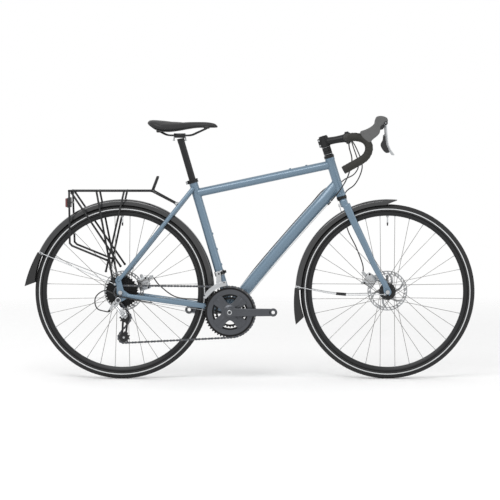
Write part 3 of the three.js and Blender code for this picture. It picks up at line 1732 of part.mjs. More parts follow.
const rearBrakeLine = [
  barExit(1, -30),
  besideHead(175, 104, 42),
  besideHead(95, 101, 34),
  besideHead(69, 75, 32),
  besideHead(60, 32, 30),
  besideHead(50, 6, 29),
  onDownTube(0.93, 24, 20),
  overTube(0.8, 11),
  overTube(0.55, 11),
  overTube(0.3, 11),
  overTube(0.14, 16),
  along(bottomBracket, seatDirection, 42).setY(29),
  chainstayTop(0.14),
  chainstayTop(0.28),
  chainstayTop(0.45),
  chainstayTop(0.62),
  along(rearStop, inPlane(-50), 42).setY(rearArmY + armThickness / 2),
  rearStop.clone().setY(rearArmY + armThickness / 2),
  armTip(rearCaliperPlace, rearArmAngle, rearArmY).add(vec(armWidth / 2 + housingRadius, 0, 0)),
];

function chainstayTop(share) {
  return chainstaySide(1, share, 1, 2 * housingRadius);
}

// A place above (1) or below (-1) the chainstay of a side
function chainstaySide(side, share, above, clear) {
  const curve = new THREE.CatmullRomCurve3(chainstayPath(side), false, "centripetal");
  const place = curve.getPoint(share);
  place.z += above * (chainstayHalf(share)[1] + clear);
  return place;
}

const rearShiftStop = vec(linkStart.x - 28, -(stayEndY + 9), linkStart.z - 22);

const rearShiftLine = [
  barExit(-1, -75),
  besideHead(176, 88, -47),
  besideHead(128, 84, -45),
  besideHead(70, 50, -38),
  besideHead(35, 15, -32),
  onDownTube(0.93, -26, -24),
  underTube(0.86, -6),
  underTube(0.8, -6),
  underTube(0.45, -6),
  underTube(0.12, -6),
  along(bottomBracket, inPlane(-60), bottomBracketDiameter / 2 + 4).setY(-6),
  along(bottomBracket, inPlane(-110), bottomBracketDiameter / 2 + 4).setY(-10),
  chainstaySide(-1, 0.2, -1, 8),
  chainstaySide(-1, 0.5, -1, 5),
  chainstaySide(-1, 0.8, -1, 5),
  vec(rearAxle.x + 27, -(stayEndY + 8), rearAxle.z - 22),
  vec(rearAxle.x - 5, -(stayEndY + 9), rearAxle.z - 14),
  vec(rearAxle.x - 62, -(stayEndY + 10), rearAxle.z + 8),
  vec(rearAxle.x - 98, -(stayEndY + 10), rearAxle.z - 20),
  vec(rearAxle.x - 92, -(stayEndY + 10), rearAxle.z - 62),
  rearShiftStop.clone().add(vec(-6, 0, -5)),
];

const frontShiftLine = [
  barExit(1, -75),
  besideHead(176, 88, 47),
  besideHead(128, 84, 47),
  besideHead(70, 50, 45),
  besideHead(35, 15, 39),
  onDownTube(0.93, -26, 24),
  underTube(0.86, 6),
  underTube(0.8, 6),
  underTube(0.45, 6),
  underTube(0.12, 6),
  along(bottomBracket, inPlane(-60), bottomBracketDiameter / 2 + 4).setY(6),
  along(bottomBracket, inPlane(-120), bottomBracketDiameter / 2 + 4).setY(6),
  along(bottomBracket, inPlane(-175), bottomBracketDiameter / 2 + 5).setY(4),
  onSeatTube(60, -seatTubeDiameter / 2 - 4, 0),
  onSeatTube(110, -seatTubeDiameter / 2 - 4, -8),
  onSeatTube(frontClampAt - frontClampHeight / 2 - 9, -14, -20),
  onSeatTube(frontClampAt - frontClampHeight / 2 - 3, -8, -frontBodyInner - frontBodyWidth / 2),
];

const frontBrakeWire = 0.89;
const rearBrakeWire = 0.93;
const rearShiftWires = [0.27, 0.7];
const frontShiftWire = 0.34;
const hangerRoot = vec(rearAxle.x + dropoutWidth, 0, rearAxle.z - dropoutDrop);
const grownHanger = plate(
  capsule(hangerRoot, hanger, hangerRadius, hangerRadius + fit),
  dropoutThickness + 2 * fit,
  -stayEndY,
);

function rearShiftCable(grow = 0) {
  const [from, to] = rearShiftWires;
  const half = (share) => {
    const radius = share < from || share > to ? housingRadius : wireRadius;
    return [radius + grow, radius + grow];
  };
  const steps = Math.round(cableSteps * (rearShiftLine.length - 1));
  return sweep(rearShiftLine, half, steps, cableSides, true);
}

const rearShiftCutter = rearShiftCable(fit);
const frontShiftCutter = cable(frontShiftLine, frontShiftWire, fit);
const frontBrakeCutter = cable(frontBrakeLine, frontBrakeWire, fit);
const rearBrakeCutter = cable(rearBrakeLine, rearBrakeWire, fit);

addPiece("derailleur_mount", derailleurMount(), "silver");
addPiece("derailleur_link", derailleurLink(), "silver");
addPiece("derailleur_knuckle", derailleurKnuckle(), "silver");
addPiece("derailleur_cage", derailleurCage(), "satinBlack");
addPiece("jockey_wheel_upper", jockeyWheel(upperJockey), "satinBlack");
addPiece("jockey_wheel_lower", jockeyWheel(lowerJockey), "satinBlack");
addPiece("front_derailleur", frontDerailleur(), "silver");
addPiece("front_derailleur_cage", frontDerailleurCage(), "steel");

const frontCaliper = caliper(frontAxle, frontDiscY, frontCaliperAngle, frontCaliperCentre, frontStop);
addPiece("front_caliper", without(frontCaliper, blade(1, fit), frontBrakeCutter), "satinBlack");
addPiece("front_caliper_arm", caliperArm(frontCaliperPlace, frontArmY, frontArmAngle), "silver");

const caliperFoot = block(
  along(rearCaliperPlace, vec(0, 0, -1), caliperLength / 2 + 4).setY(rearDiscY + caliperOutside / 2),
  caliperWidth,
  caliperOutside,
  caliperHeight / 2,
);
const rearCaliper = caliper(
  rearAxle,
  rearDiscY,
  rearCaliperAngle,
  rearCaliperCentre,
  rearStop,
  [caliperFoot],
);
addPiece(
  "rear_caliper",
  without(rearCaliper, staysCutters[1], rearBrakeCutter),
  "satinBlack",
);
addPiece("rear_caliper_arm", caliperArm(rearCaliperPlace, rearArmY, rearArmAngle), "silver");

addPiece("front_brake_cable", cable(frontBrakeLine, frontBrakeWire), "rubber");
addPiece("rear_brake_cable", cable(rearBrakeLine, rearBrakeWire), "rubber");
addPiece("front_shift_cable", cable(frontShiftLine, frontShiftWire), "rubber");
addPiece("rear_shift_cable", rearShiftCable(), "rubber");

// Mudguards: a rounded channel over part of the wheel, with a flap at its rear end and stays
const guardShares = [
  [0, 1],
  [0.68, 0.85],
  [1, 0.38],
];

function sector(centre, from, to, radius, width) {
  const steps = 6;
  const outline = [centre.clone()];
  for (let i = 0; i <= steps; i++) {
    outline.push(along(centre, inPlane(mixed(from, to, i / steps)), radius));
  }
  return plate(outline, width, 0);
}

function guard(axle, from, to) {
  const line = (crown, half) => guardShares.map(([h, w]) => [mixed(guardSide, crown, h), half * w]);
  const outer = line(guardOuter, guardWidth / 2);
  const inner = line(guardOuter - guardWall, guardWidth / 2 - guardWall);
  const mirror = (points) => points.map(([radius, y]) => [radius, -y]);
  const profile = [
    ...mirror(outer),
    ...outer.slice().reverse(),
    ...inner,
    ...mirror(inner).reverse(),
  ];
  const channel = turned(profile, wheelSides, axle);
  return channel.intersect(sector(axle, from, to, 2 * guardOuter, 2 * guardWidth));
}

function flap(axle, end) {
  const tip = rearReach / Math.cos(radians(180 - rearGuardTo - flapTurn));
  const outline = [
    along(axle, inPlane(end - 1), guardOuter + flapWall),
    along(axle, inPlane(end + flapTurn), tip),
    along(axle, inPlane(end + flapTurn * 0.87), tyreRadius + flapWall),
    along(axle, inPlane(end - 1), guardSide - flapWall),
  ];
  const hollow = outline.map((place) => along(place, vec(1, 0, 0), flapWall));
  return plate(outline, flapWidth, 0).subtract(plate(hollow, guardWidth - 2 * fit, 0));
}

// A stay from the guard's edge to an eyelet, on both sides
function guardStays(start, middle, end, outerY) {
  const made = [];
  for (const side of [-1, 1]) {
    const y = side * (outerY + fit + eyeletThickness / 2);
    const edge = start.clone().setY(side * (guardWidth / 2 + stayRadius / 2));
    const eyelet = end.clone().setY(y);
    const sleeve = middle.clone().setY(mixed(edge.y, y, 0.5));
    const bend = eyelet.clone().lerp(sleeve, 0.1).setY(y);
    made.push(pipe([edge, sleeve, bend, eyelet], stayRadius, 5, 5));
    const half = eyeletThickness / 2;
    made.push(crossRod(end, y - half, y + half, stayEyelet, 8));
  }
  return made;
}

function frontMudguard() {
  const edge = along(frontAxle, inPlane(frontGuardTo - 2), guardSide + 2 * stayRadius);
  const eyelet = along(frontAxle, inPlane(217), forkDropoutRadius);
  const middle = along(edge.clone().lerp(eyelet, 0.5), vec(0, 0, -1), guardWidth / 3);
  const tabHeight = crownHeight + bridgeRadius / 2;
  const tabForward = bladeTopWidth * 0.1 - crownDepth / 2 - fit - guardTabThickness / 2;
  const tab = block(
    onSteerer(forkLength - crownHeight / 2 - overrun * 3, tabForward),
    guardTabThickness,
    guardTabWidth,
    tabHeight,
    90 - headAngle,
  );
  const stays = guardStays(edge, middle, eyelet, frontHalf + forkDropoutThickness);
  const blade = guard(frontAxle, frontGuardFrom, frontGuardTo);
  return joined([blade, flap(frontAxle, frontGuardTo), tab, ...stays]);
}

function rearMudguard() {
  const edge = along(rearAxle, inPlane(rearGuardTo - 1.5), guardSide + 2 * stayRadius);
  const middle = edge.clone().lerp(dropoutEyelet, 0.5);
  const stays = guardStays(edge, middle, dropoutEyelet, rearHalf + dropoutThickness);
  const bosses = bridgePlaces.map((place) => {
    const outwards = at(place, 0).sub(rearAxle).normalize();
    const foot = along(rearAxle, outwards, guardOuter - guardWall / 2);
    const head = along(rearAxle, outwards, guardOuter + bridgeGap - bridgeRadius - fit);
    return rod(foot, head, bossRadius, 6);
  });
  const parts = [guard(rearAxle, rearGuardFrom, rearGuardTo), flap(rearAxle, rearGuardTo)];
  return joined([...parts, ...bosses, ...stays]);
}

addPiece("front_mudguard", frontMudguard(), "guard");
addPiece("rear_mudguard", rearMudguard(), "guard");

// Rack: lines in shares of its rear reach and of its rise above the rear axle
const rackLineShares = {
  side: [[-1, 1], [-0.976, 0.485], [-0.932, 0.46], [-0.267, 0.321]],
  diagonal: [[-0.951, 0.98], [0.002, 0.261]],
  middle: [[-0.474, 1], [-0.15, 0.142]],
  front: [[0.061, 1], [-0.277, 0.211]],
  deck: [[-1, 1], [0.583, 1]],
};
const rackFootShare = 0.142;
const rackCrossShares = [[-1, 1], [-0.994, 0.883], [-0.474, 1], [0.061, 1], [0.583, 1]];
const rackHoopShares = [[0.583, 1], [0.685, 1.137]];

function onRack([xShare, zShare], side) {
  const sink = (1 - zShare) / (1 - rackFootShare);
  const y = side * mixed(rackHalfWidth, rackFootAt, Math.max(0, sink));
  return vec(rearAxle.x + rackRear * xShare, y, rearAxle.z + rackRise * zShare);
}

function rack() {
  const radius = rackRod / 2;
  const bar = (from, to) => {
    const direction = to.clone().sub(from).normalize();
    return rod(along(from, direction, -radius / 2), along(to, direction, radius / 2), radius, 5);
  };
  const parts = [];
  for (const side of [-1, 1]) {
    for (const line of Object.values(rackLineShares)) {
      const points = line.map((shares) => onRack(shares, side));
      for (let i = 0; i + 1 < points.length; i++) parts.push(bar(points[i], points[i + 1]));
    }
    const stay = new THREE.CatmullRomCurve3(seatstayPath(side), false, "centripetal").getPoint(0.24);
    parts.push(bar(onRack(rackLineShares.deck[1], side), stay));
    const foot = onRack([-0.15, rackFootShare], side);
    const footY = side * (rearHalf + dropoutThickness + eyeletThickness + 2 * fit + rackFootThickness / 2);
    parts.push(plate(capsule(foot, dropoutEyelet, radius + 1, stayEyelet), rackFootThickness, footY));
    const [low, high] = rackHoopShares.map((shares) => onRack(shares, side).setY((side * rackHoopWidth) / 2));
    parts.push(bar(low, high));
  }
  for (const shares of rackCrossShares) parts.push(bar(onRack(shares, -1), onRack(shares, 1)));
  const [left, right] = [-1, 1].map((side) =>
    onRack(rackHoopShares[1], side).setY((side * rackHoopWidth) / 2),
  );
  parts.push(bar(left, right));
  return without(joined(parts), staysCutters[-1], staysCutters[1]);
}

function rearLight() {
  const place = onRack(rackCrossShares[1], 0);
  const x = place.x - rackRod / 2 - fit - lightDepth / 2;
  return block(vec(x, 0, place.z), lightDepth, lightWidth, lightHeight);
}

addPiece("rear_rack", rack(), "satinBlack");
addPiece("rear_light", rearLight(), "lens");

export default bicycle;
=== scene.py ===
"""Touring bicycle with drop bars, mudguards and a rear rack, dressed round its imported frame."""

import json
from math import asin, atan2, copysign, cos, degrees, exp, pi, radians, sin, sqrt

import bmesh
import bpy
from bpy.props import FloatProperty, FloatVectorProperty, IntProperty, PointerProperty
from bpy.types import Operator, Panel, PropertyGroup
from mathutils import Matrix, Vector


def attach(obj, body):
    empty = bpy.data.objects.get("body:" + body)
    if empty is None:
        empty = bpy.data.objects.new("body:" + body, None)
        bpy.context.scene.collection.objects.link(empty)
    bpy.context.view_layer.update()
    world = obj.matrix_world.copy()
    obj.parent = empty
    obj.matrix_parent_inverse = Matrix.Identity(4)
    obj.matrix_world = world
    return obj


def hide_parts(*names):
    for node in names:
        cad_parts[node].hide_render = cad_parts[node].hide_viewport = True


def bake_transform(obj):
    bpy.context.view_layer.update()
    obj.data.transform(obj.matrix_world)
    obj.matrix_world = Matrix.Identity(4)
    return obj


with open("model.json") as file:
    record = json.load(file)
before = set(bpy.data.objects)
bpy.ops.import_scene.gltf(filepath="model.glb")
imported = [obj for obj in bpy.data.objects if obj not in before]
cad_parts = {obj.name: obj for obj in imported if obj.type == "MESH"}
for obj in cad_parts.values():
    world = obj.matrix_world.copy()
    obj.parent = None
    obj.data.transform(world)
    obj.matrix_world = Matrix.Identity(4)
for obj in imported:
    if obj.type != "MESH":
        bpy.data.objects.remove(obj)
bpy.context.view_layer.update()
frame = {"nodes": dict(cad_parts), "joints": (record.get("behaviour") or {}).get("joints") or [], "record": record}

bl_info = {
    "name": "Touring Bicycle",
    "version": (1, 0, 0),
    "blender": (4, 5, 0),
    "location": "3D View > Sidebar > Bicycle",
    "description": "Builds the touring bicycle's wheels, frame, drive, cockpit, saddle, rack and cables",
    "category": "Add Mesh",
}

MM = 0.001
ACROSS = Vector((0, 1, 0))
UP = Vector((0, 0, 1))
FORWARD = Vector((1, 0, 0))
FIT = 0.3
SIDES = {"right": -1, "left": 1}


# Values that a user would change
def srgb(code):
    """A scene colour from a six-figure web colour."""
    parts = [(code >> shift & 255) / 255 for shift in (16, 8, 0)]
    return [c / 12.92 if c <= 0.04045 else ((c + 0.055) / 1.055) ** 2.4 for c in parts]


def length(name, description, value):
    return FloatProperty(name=name, description=description, default=value, unit="LENGTH", precision=4)


def colour(name, description, code):
    return FloatVectorProperty(
        name=name, description=description, default=srgb(code), size=3, min=0, max=1, subtype="COLOR"
    )


def power(name, description, value):
    return FloatProperty(name=name, description=description, default=value, unit="POWER")


def count(name, description, value, least):
    return IntProperty(name=name, description=description, default=value, min=least)


def number(name, description, value):
    return FloatProperty(name=name, description=description, default=value, min=0)


class BicycleFinishes(PropertyGroup):
    """Colours of the bicycle's surfaces"""

    paint: colour("Paint", "Satin paint on the frame and fork", 0x61788A)
    black_alloy: colour("Black alloy", "Anodised rims, stem, bar and seatpost", 0x131416)
    silver_alloy: colour("Silver alloy", "Polished levers, derailleurs and skewers", 0xB4B6B8)
    dark_alloy: colour("Dark alloy", "Cranks and outer chainring", 0x515357)
    gear_steel: colour("Gear steel", "Chain, sprockets and inner rings", 0x757472)
    rotor_steel: colour("Rotor steel", "Brake discs, spokes and hub shells", 0xA2A4A6)
    black_plastic: colour("Black plastic", "Shell of the saddle, plugs and sleeves", 0x121213)
    guard: colour("Mudguard", "Glossy plastic of the mudguards", 0x18191B)
    saddle: colour("Saddle cover", "Synthetic leather of the saddle", 0x131315)
    tyre: colour("Tyre rubber", "Tread and sidewall", 0x141415)
    stripe: colour("Tyre stripe", "Reflective band round the sidewall", 0xC9CBCC)
    tape: colour("Bar tape", "Wound tape on the handlebar", 0x24231F)
    hood: colour("Hood rubber", "Rubber of the brake hoods", 0x565656)
    cable: colour("Cable housing", "Plastic sleeve of the cables", 0x0E0E0F)
    lens: colour("Rear lens", "Red lens of the rear light", 0x7A1612)


class BicycleWheels(PropertyGroup):
    """Sizes of the wheels"""

    tyre_radius: length("Tyre radius", "Radius over the tread", 0.348)
    tyre_width: length("Tyre width", "Width of the casing", 0.037)
    rim_inner: length("Rim inner radius", "Radius of the rim's back", 0.302)
    rim_outer: length("Rim outer radius", "Radius of the rim's lips", 0.318)
    rim_width: length("Rim width", "Width over the lips", 0.024)
    spokes: count("Spokes a side", "Spokes from each flange", 16, 8)
    crossing: count("Crossing", "Spokes that each one crosses", 3, 0)
    spoke_radius: length("Spoke radius", "Radius of each spoke", 0.001)
    disc_radius: length("Disc radius", "Radius of the brake discs", 0.08)


class BicycleFrame(PropertyGroup):
    """Sizes of the frame and fork"""

    head_tube: length("Head tube", "Diameter of the head tube", 0.036)
    top_tube: length("Top tube", "Diameter of the top tube", 0.034)
    down_tube: length("Down tube", "Diameter of the down tube", 0.048)
    seat_tube: length("Seat tube", "Diameter of the seat tube", 0.0349)
    weld_bead: length("Weld bead", "Radius of the weld beads", 0.0015)
    chainstay_height: length("Chainstay height", "Height of the chainstays at the front", 0.024)
    seatstay: length("Seatstay", "Diameter of the seatstays at the top", 0.018)
    blade_width: length("Blade width", "Depth of the fork blades at the crown", 0.031)


class BicycleDrive(PropertyGroup):
    """Sizes of the drive"""

    crank_length: length("Crank length", "From the spindle to the pedal eye", 0.1725)
    chain_pitch: length("Chain pitch", "From pin to pin", 0.0127)
    outer_teeth: count("Outer teeth", "Teeth of the outer chainring", 50, 20)
    middle_teeth: count("Middle teeth", "Teeth of the middle chainring", 39, 20)
    inner_teeth: count("Inner teeth", "Teeth of the inner chainring", 30, 20)


class BicycleCockpit(PropertyGroup):
    """Sizes of the bar, its tape and the levers"""

    bar_width: length("Bar width", "Between the centres of the hooks", 0.42)
    bar_diameter: length("Bar diameter", "Diameter of the bar beyond the centre", 0.0238)
    tape_diameter: length("Tape diameter", "Diameter over the tape", 0.032)
    tape_pitch: length("Tape pitch", "Distance from one turn of the tape to the next", 0.0135)
    tape_lap: length("Tape lap", "Step where a turn overlaps the last", 0.0011)
    hood_width: length("Hood width", "Width of the hoods", 0.037)
    lever_length: length("Lever length", "From the pivot to the tip", 0.126)


class BicycleSeat(PropertyGroup):
    """Sizes of the saddle and seatpost"""

    saddle_length: length("Saddle length", "From nose to tail", 0.28)
    saddle_width: length("Saddle width", "Over the tail", 0.155)
    pressure: number("Padding pressure", "Pressure that swells the cover", 4.0)
    swell: length("Most swell", "Most that a point of the cover may move", 0.007)
    post_diameter: length("Post diameter", "Diameter of the seatpost", 0.0272)


class BicycleLuggage(PropertyGroup):
    """Sizes of the mudguards and the rack"""

    guard_radius: length("Guard radius", "Radius over the mudguards", 0.3685)
    guard_width: length("Guard width", "Width of the mudguards", 0.047)
    stay_radius: length("Stay radius", "Radius of the mudguard stays", 0.00175)
    rack_rod: length("Rack rod", "Diameter of the rack's rods", 0.008)


class BicycleCables(PropertyGroup):
    """Sizes of the cables"""

    housing_radius: length("Housing radius", "Radius of the housings", 0.0024)
    wire_radius: length("Wire radius", "Radius of the bare wires", 0.0009)


class BicycleStudio(PropertyGroup):
    """Camera, floor and lamps"""

    distance: length("Camera distance", "From the camera to the middle of the bicycle", 8.5)
    camera_forward: length("Camera place", "How far ahead of the bicycle's middle the camera stands", 0.45)
    camera_height: length("Camera height", "Height of the camera above the floor", 0.9)
    view_width: length("View width", "Width of the picture at the bicycle", 1.9985)
    view_middle: length("View height", "Height above the floor of the picture's middle", 0.513)
    floor_size: length("Floor size", "Side of the pale floor, which fades out towards its edge", 10.0)
    key_power: power("Key lamp", "Power of the main lamp", 80)
    fill_power: power("Fill lamps", "Power of each side lamp", 15)
    sky: number("Sky", "Strength of the light all round", 0.8)


GROUPS = {
    "bicycle_finishes": BicycleFinishes,
    "bicycle_wheels": BicycleWheels,
    "bicycle_frame": BicycleFrame,
    "bicycle_drive": BicycleDrive,
    "bicycle_cockpit": BicycleCockpit,
    "bicycle_seat": BicycleSeat,
    "bicycle_luggage": BicycleLuggage,
    "bicycle_cables": BicycleCables,
    "bicycle_studio": BicycleStudio,
}

# Places of the frame in millimetres
joints = {joint["name"]: joint for joint in frame["joints"]}


def joint_place(name):
    return Vector(joints[name]["pos_m"]) / MM


def joint_axis(name):
    return Vector(joints[name]["axis"]).normalized()


def mm(value):
    return value / MM


def mixed(low, high, share):
    return low + (high - low) * share


def turn_of(direction):
    return degrees(atan2(direction.z, direction.x))


def flat(x, z):
    return Vector((x, 0, z))


def in_plane(turn):
    return Vector((cos(radians(turn)), 0, sin(radians(turn))))


def at_side(place, y):
    return Vector((place.x, y, place.z))


def around(centre, turn, radius, y=None):
    """A place at an angle and a radius from a centre, moved across to y where that is given."""
    place = centre + in_plane(turn) * radius
    return place if y is None else at_side(place, y)


FRONT_AXLE = joint_place("front_wheel_spin")
REAR_AXLE = joint_place("rear_wheel_spin")
BOTTOM_BRACKET = joint_place("crank_spin")
STEER_FOOT = joint_place("steering_turn")
STEER = joint_axis("steering_turn")
STEER_AHEAD = flat(STEER.z, -STEER.x)
SEAT = joint_axis("seatpost_height")
SEAT_AHEAD = flat(SEAT.z, -SEAT.x)
UPPER_JOCKEY = at_side(joint_place("jockey_upper_spin"), 0)
LOWER_JOCKEY = at_side(joint_place("jockey_lower_spin"), 0)
AXLES = {"front": FRONT_AXLE, "rear": REAR_AXLE}
FORK_OR_FRAME = {"front": "steering", "rear": "frame"}
SLOTS = {part["node"]: part["material_slot"] for part in frame["record"]["subparts"]}
PAINTED = ("frame_paint", "black_alloy")
BLACK_METAL = ("black_alloy", "silver_alloy")
SILVER_METAL = ("silver_alloy", "black_alloy")
BLACK_PLASTIC = ("black_plastic", "silver_alloy")


def on_steerer(height, forward=0.0, y=0.0):
    return at_side(STEER_FOOT + STEER * height + STEER_AHEAD * forward, y)


def on_seat_tube(height, forward=0.0, y=0.0):
    return at_side(BOTTOM_BRACKET + SEAT * height + SEAT_AHEAD * forward, y)


# Closed parts: each is a list of points in millimetres and a list of faces
def skin(rings, loop=False):
    """Faces between rings of points; the ends are capped unless the rings close on themselves."""
    count = len(rings[0])
    points = [point for ring in rings for point in ring]
    faces = []
    for row in range(len(rings) if loop else len(rings) - 1):
        here = row * count
        there = (row + 1) % len(rings) * count
        for i in range(count):
            j = (i + 1) % count
            faces.append((here + i, here + j, there + j, there + i))
    if not loop:
        last = (len(rings) - 1) * count
        faces.append(tuple(reversed(range(count))))
        faces.append(tuple(last + i for i in range(count)))
    return points, faces


def basis(axis):
    """Two directions square to an axis and to each other."""
    first = FORWARD if abs(axis.x) < 0.9 else UP
    first = (first - axis * first.dot(axis)).normalized()
    return first, first.cross(axis)


def lathe(profiles, centre, axis=ACROSS, sides=48, start=0.0, turn=360.0):
    """A turned part. A profile is a closed list of (radius, place along the axis)."""
    if not isinstance(profiles[0], list):
        profiles = [profiles]
    first, second = basis(axis)
    whole = turn >= 360
    rings = []
    for k in range(sides if whole else sides + 1):
        angle = radians(start + turn * k / sides)
        outwards = first * cos(angle) + second * sin(angle)
        profile = profiles[k % len(profiles)]
        rings.append([centre + outwards * radius + axis * place for radius, place in profile])
    return skin(rings, loop=whole)


def rod(start, end, radius, sides=20, end_radius=None, edge=0.5):
    """A round bar with eased ends."""
    last = radius if end_radius is None else end_radius
    axis = end - start
    far = axis.length
    edge = min(edge, far / 3, radius / 2, last / 2)
    profile = [(0, 0), (radius - edge, 0), (radius, edge), (last, far - edge), (last - edge, far), (0, far)]
    return lathe(profile, start, axis.normalized(), sides)


def cross_rod(centre, low, high, radius, sides=24, edge=0.5):
    return rod(at_side(centre, low), at_side(centre, high), radius, sides, edge=edge)


def sleeve_wall(bore, radius, low, high, edge):
    """The section of a sleeve with eased outer edges."""
    outer = [(radius - edge, low), (radius, low + edge), (radius, high - edge), (radius - edge, high)]
    return [(bore, low), *outer, (bore, high)]


def mirrored(line):
    return [(radius, -y) for radius, y in reversed(line)]


def collar(start, end, radius, bore, sides=40, edge=0.6):
    """A round sleeve with a bore and eased outer edges."""
    axis = end - start
    return lathe(sleeve_wall(bore, radius, 0, axis.length, edge), start, axis.normalized(), sides)


def bolt(place, outwards, radius=3.6, height=3.0, sides=18):
    """A round bolt head with a socket in it."""
    ease, socket, depth = radius * 0.15, radius * 0.5, height * 0.7
    profile = [
        (0, 0), (radius, 0), (radius, height - ease), (radius - ease, height),
        (socket, height), (socket * 0.9, height - depth), (0, height - depth),
    ]
    return lathe(profile, place, outwards.normalized(), sides)


def on_curve(points, share):
    """A place on the centripetal curve through the points."""
    spans = len(points) - 1
    at = min(max(share, 0), 1) * spans
    first = min(int(at), spans - 1)
    weight = at - first
    b, c = points[first], points[first + 1]
    a = points[first - 1] if first > 0 else b * 2 - c
    d = points[first + 2] if first + 2 <= spans else c * 2 - b
    gap_ab, gap_bc, gap_cd = [max((q - p).length, 0.01) ** 0.5 for p, q in ((a, b), (b, c), (c, d))]
    leave = (b - a) / gap_ab - (c - a) / (gap_ab + gap_bc) + (c - b) / gap_bc
    arrive = (c - b) / gap_bc - (d - b) / (gap_bc + gap_cd) + (d - c) / gap_cd
    leave, arrive = leave * gap_bc, arrive * gap_bc
    square = (c - b) * 3 - leave * 2 - arrive
    cube = (b - c) * 2 + leave + arrive
    return b + leave * weight + square * weight**2 + cube * weight**3


def section(centre, wide, tall, half_wide, half_tall, sides, power, swell=None):
    """A ring of points round a centre, an ellipse or a rounder box."""
    ring = []
    for i in range(sides):
        turn = (i + 0.5) / sides * 2 * pi
        c, s = cos(turn), sin(turn)
        grow = swell(turn) if swell else 0
        x = copysign(abs(c) ** (2 / power), c) * (half_wide + grow)
        y = copysign(abs(s) ** (2 / power), s) * (half_tall + grow)
        ring.append(centre + wide * x + tall * y)
    return ring


def sweep(points, half, per_span=8, sides=24, carried=False, power=2.0, swell=None, ends=0.0):
    """A part along a smooth curve. half is a radius or gives half sizes for a share of the curve."""
    steps = per_span * (len(points) - 1)
    halves = half if callable(half) else lambda share: (half, half)
    line = [on_curve(points, k / steps) for k in range(steps + 1)]
    wide = UP.copy() if carried else ACROSS.copy()
    rings = []
    distance = 0.0
    for k, centre in enumerate(line):
        tangent = (line[min(k + 1, steps)] - line[max(k - 1, 0)]).normalized()
        if not carried:
            wide = ACROSS.copy()
        wide = (wide - tangent * wide.dot(tangent)).normalized()
        tall = tangent.cross(wide)
        distance += (centre - line[max(k - 1, 0)]).length
        half_wide, half_tall = halves(k / steps)
        grown = (lambda turn, at=distance: swell(at, turn)) if swell else None
        domes = [(1.0, 0.0)]
        if ends and k in (0, steps):
            turns = [radians(turn) for turn in (75, 50, 25)]
            domes = [(cos(turn), sin(turn)) for turn in turns] + domes
            if k == steps:
                domes.reverse()
        away = tangent * (ends if k == steps else -ends)
        for shrink, out in domes:
            middle = centre + away * out
            sizes = (half_wide * shrink, half_tall * shrink)
            rings.append(section(middle, wide, tall, *sizes, sides, power, grown))
    return skin(rings)


def taper(wide, tall):
    """Half sizes for a sweep that run between two widths and two heights."""
    return lambda share: (mixed(*wide, share), mixed(*tall, share))


def hoop(line, radius, sides=8, ripple=0.0, ripples=1):
    """A bead along a closed line of points."""
    middle = sum(line, Vector()) / len(line)
    rings = []
    for k, place in enumerate(line):
        tangent = (line[(k + 1) % len(line)] - line[k - 1]).normalized()
        out = place - middle
        out = (out - tangent * out.dot(tangent)).normalized()
        size = radius * (1 + ripple * sin(2 * pi * ripples * k / len(line)))
        rings.append(section(place, out, tangent.cross(out), size, size, sides, 2))
    return skin(rings, loop=True)


def weld(start, direction, halves, host, host_axis, host_radius, bead, count=72):
    """A bead where an oval tube that runs along a direction meets the side of a host tube."""
    direction = direction.normalized()
    wide = (ACROSS - direction * direction.y).normalized()
    tall = direction.cross(wide)
    line = []
    for k in range(count):
        angle = 2 * pi * k / count
        edge = start + wide * cos(angle) * halves[0] + tall * sin(angle) * halves[1]
        from_host = edge - host
        p = from_host - host_axis * from_host.dot(host_axis)
        q = direction - host_axis * direction.dot(host_axis)
        a, b, c = q.dot(q), 2 * p.dot(q), p.dot(p) - host_radius**2
        root = sqrt(max(b * b - 4 * a * c, 0))
        line.append(edge + direction * ((-b - root) / (2 * a)))
    return hoop(line, bead, 8, 0.16, count // 3)


def eased(part, edge, steps=2, sharpest=40.0):
    """The part with its sharp edges rounded."""
    points, faces = part
    work = bmesh.new()
    made = [work.verts.new(point) for point in points]
    for face in faces:
        work.faces.new([made[i] for i in face])
    bmesh.ops.recalc_face_normals(work, faces=work.faces)
    limit = radians(sharpest)
    edges = [e for e in work.edges if len(e.link_faces) == 2 and e.calc_face_angle(0) > limit]
    bmesh.ops.bevel(
        work, geom=edges, offset=edge, offset_type="OFFSET", segments=steps, profile=0.5,
        affect="EDGES", clamp_overlap=True,
    )
    work.verts.index_update()
    result = [v.co.copy() for v in work.verts], [tuple(v.index for v in f.verts) for f in work.faces]
    work.free()
    return result


def plate(outline, thickness, y, edge=0.0, steps=2):
    """A plate across the bicycle, with its outline in the plane of the wheels."""
    low = [at_side(place, y - thickness / 2) for place in outline]
    high = [at_side(place, y + thickness / 2) for place in outline]
    part = skin([low, high])
    return eased(part, edge, steps) if edge else part


def ring_plate(outer, inner, thickness, y, edge=0.0):
    """A plate with a hole; both outlines have as many points. edge thins the outline."""
    low, high = y - thickness / 2, y + thickness / 2
    middle = sum(outer, Vector()) / len(outer)
    drawn = [place + (middle - place).normalized() * edge for place in outer]
    rows = [(inner, low), (drawn, low), (outer, low + edge)]
    rows += [(outer, high - edge), (drawn, high), (inner, high)]
    return skin([[at_side(place, at) for place in line] for line, at in rows], loop=True)


def block(centre, size, turn=0.0, edge=1.0, steps=2):
    """A box with eased edges: length, width across the bicycle and height, turned in the plane."""
    ahead = in_plane(turn)
    high = flat(-ahead.z, ahead.x)
    along, wide, tall = [half / 2 for half in size]
    rings = []
    for x in (-along, along):
        corners = ((-wide, -tall), (wide, -tall), (wide, tall), (-wide, tall))
        rings.append([centre + ahead * x + ACROSS * y + high * z for y, z in corners])
    return eased(skin(rings), edge, steps)


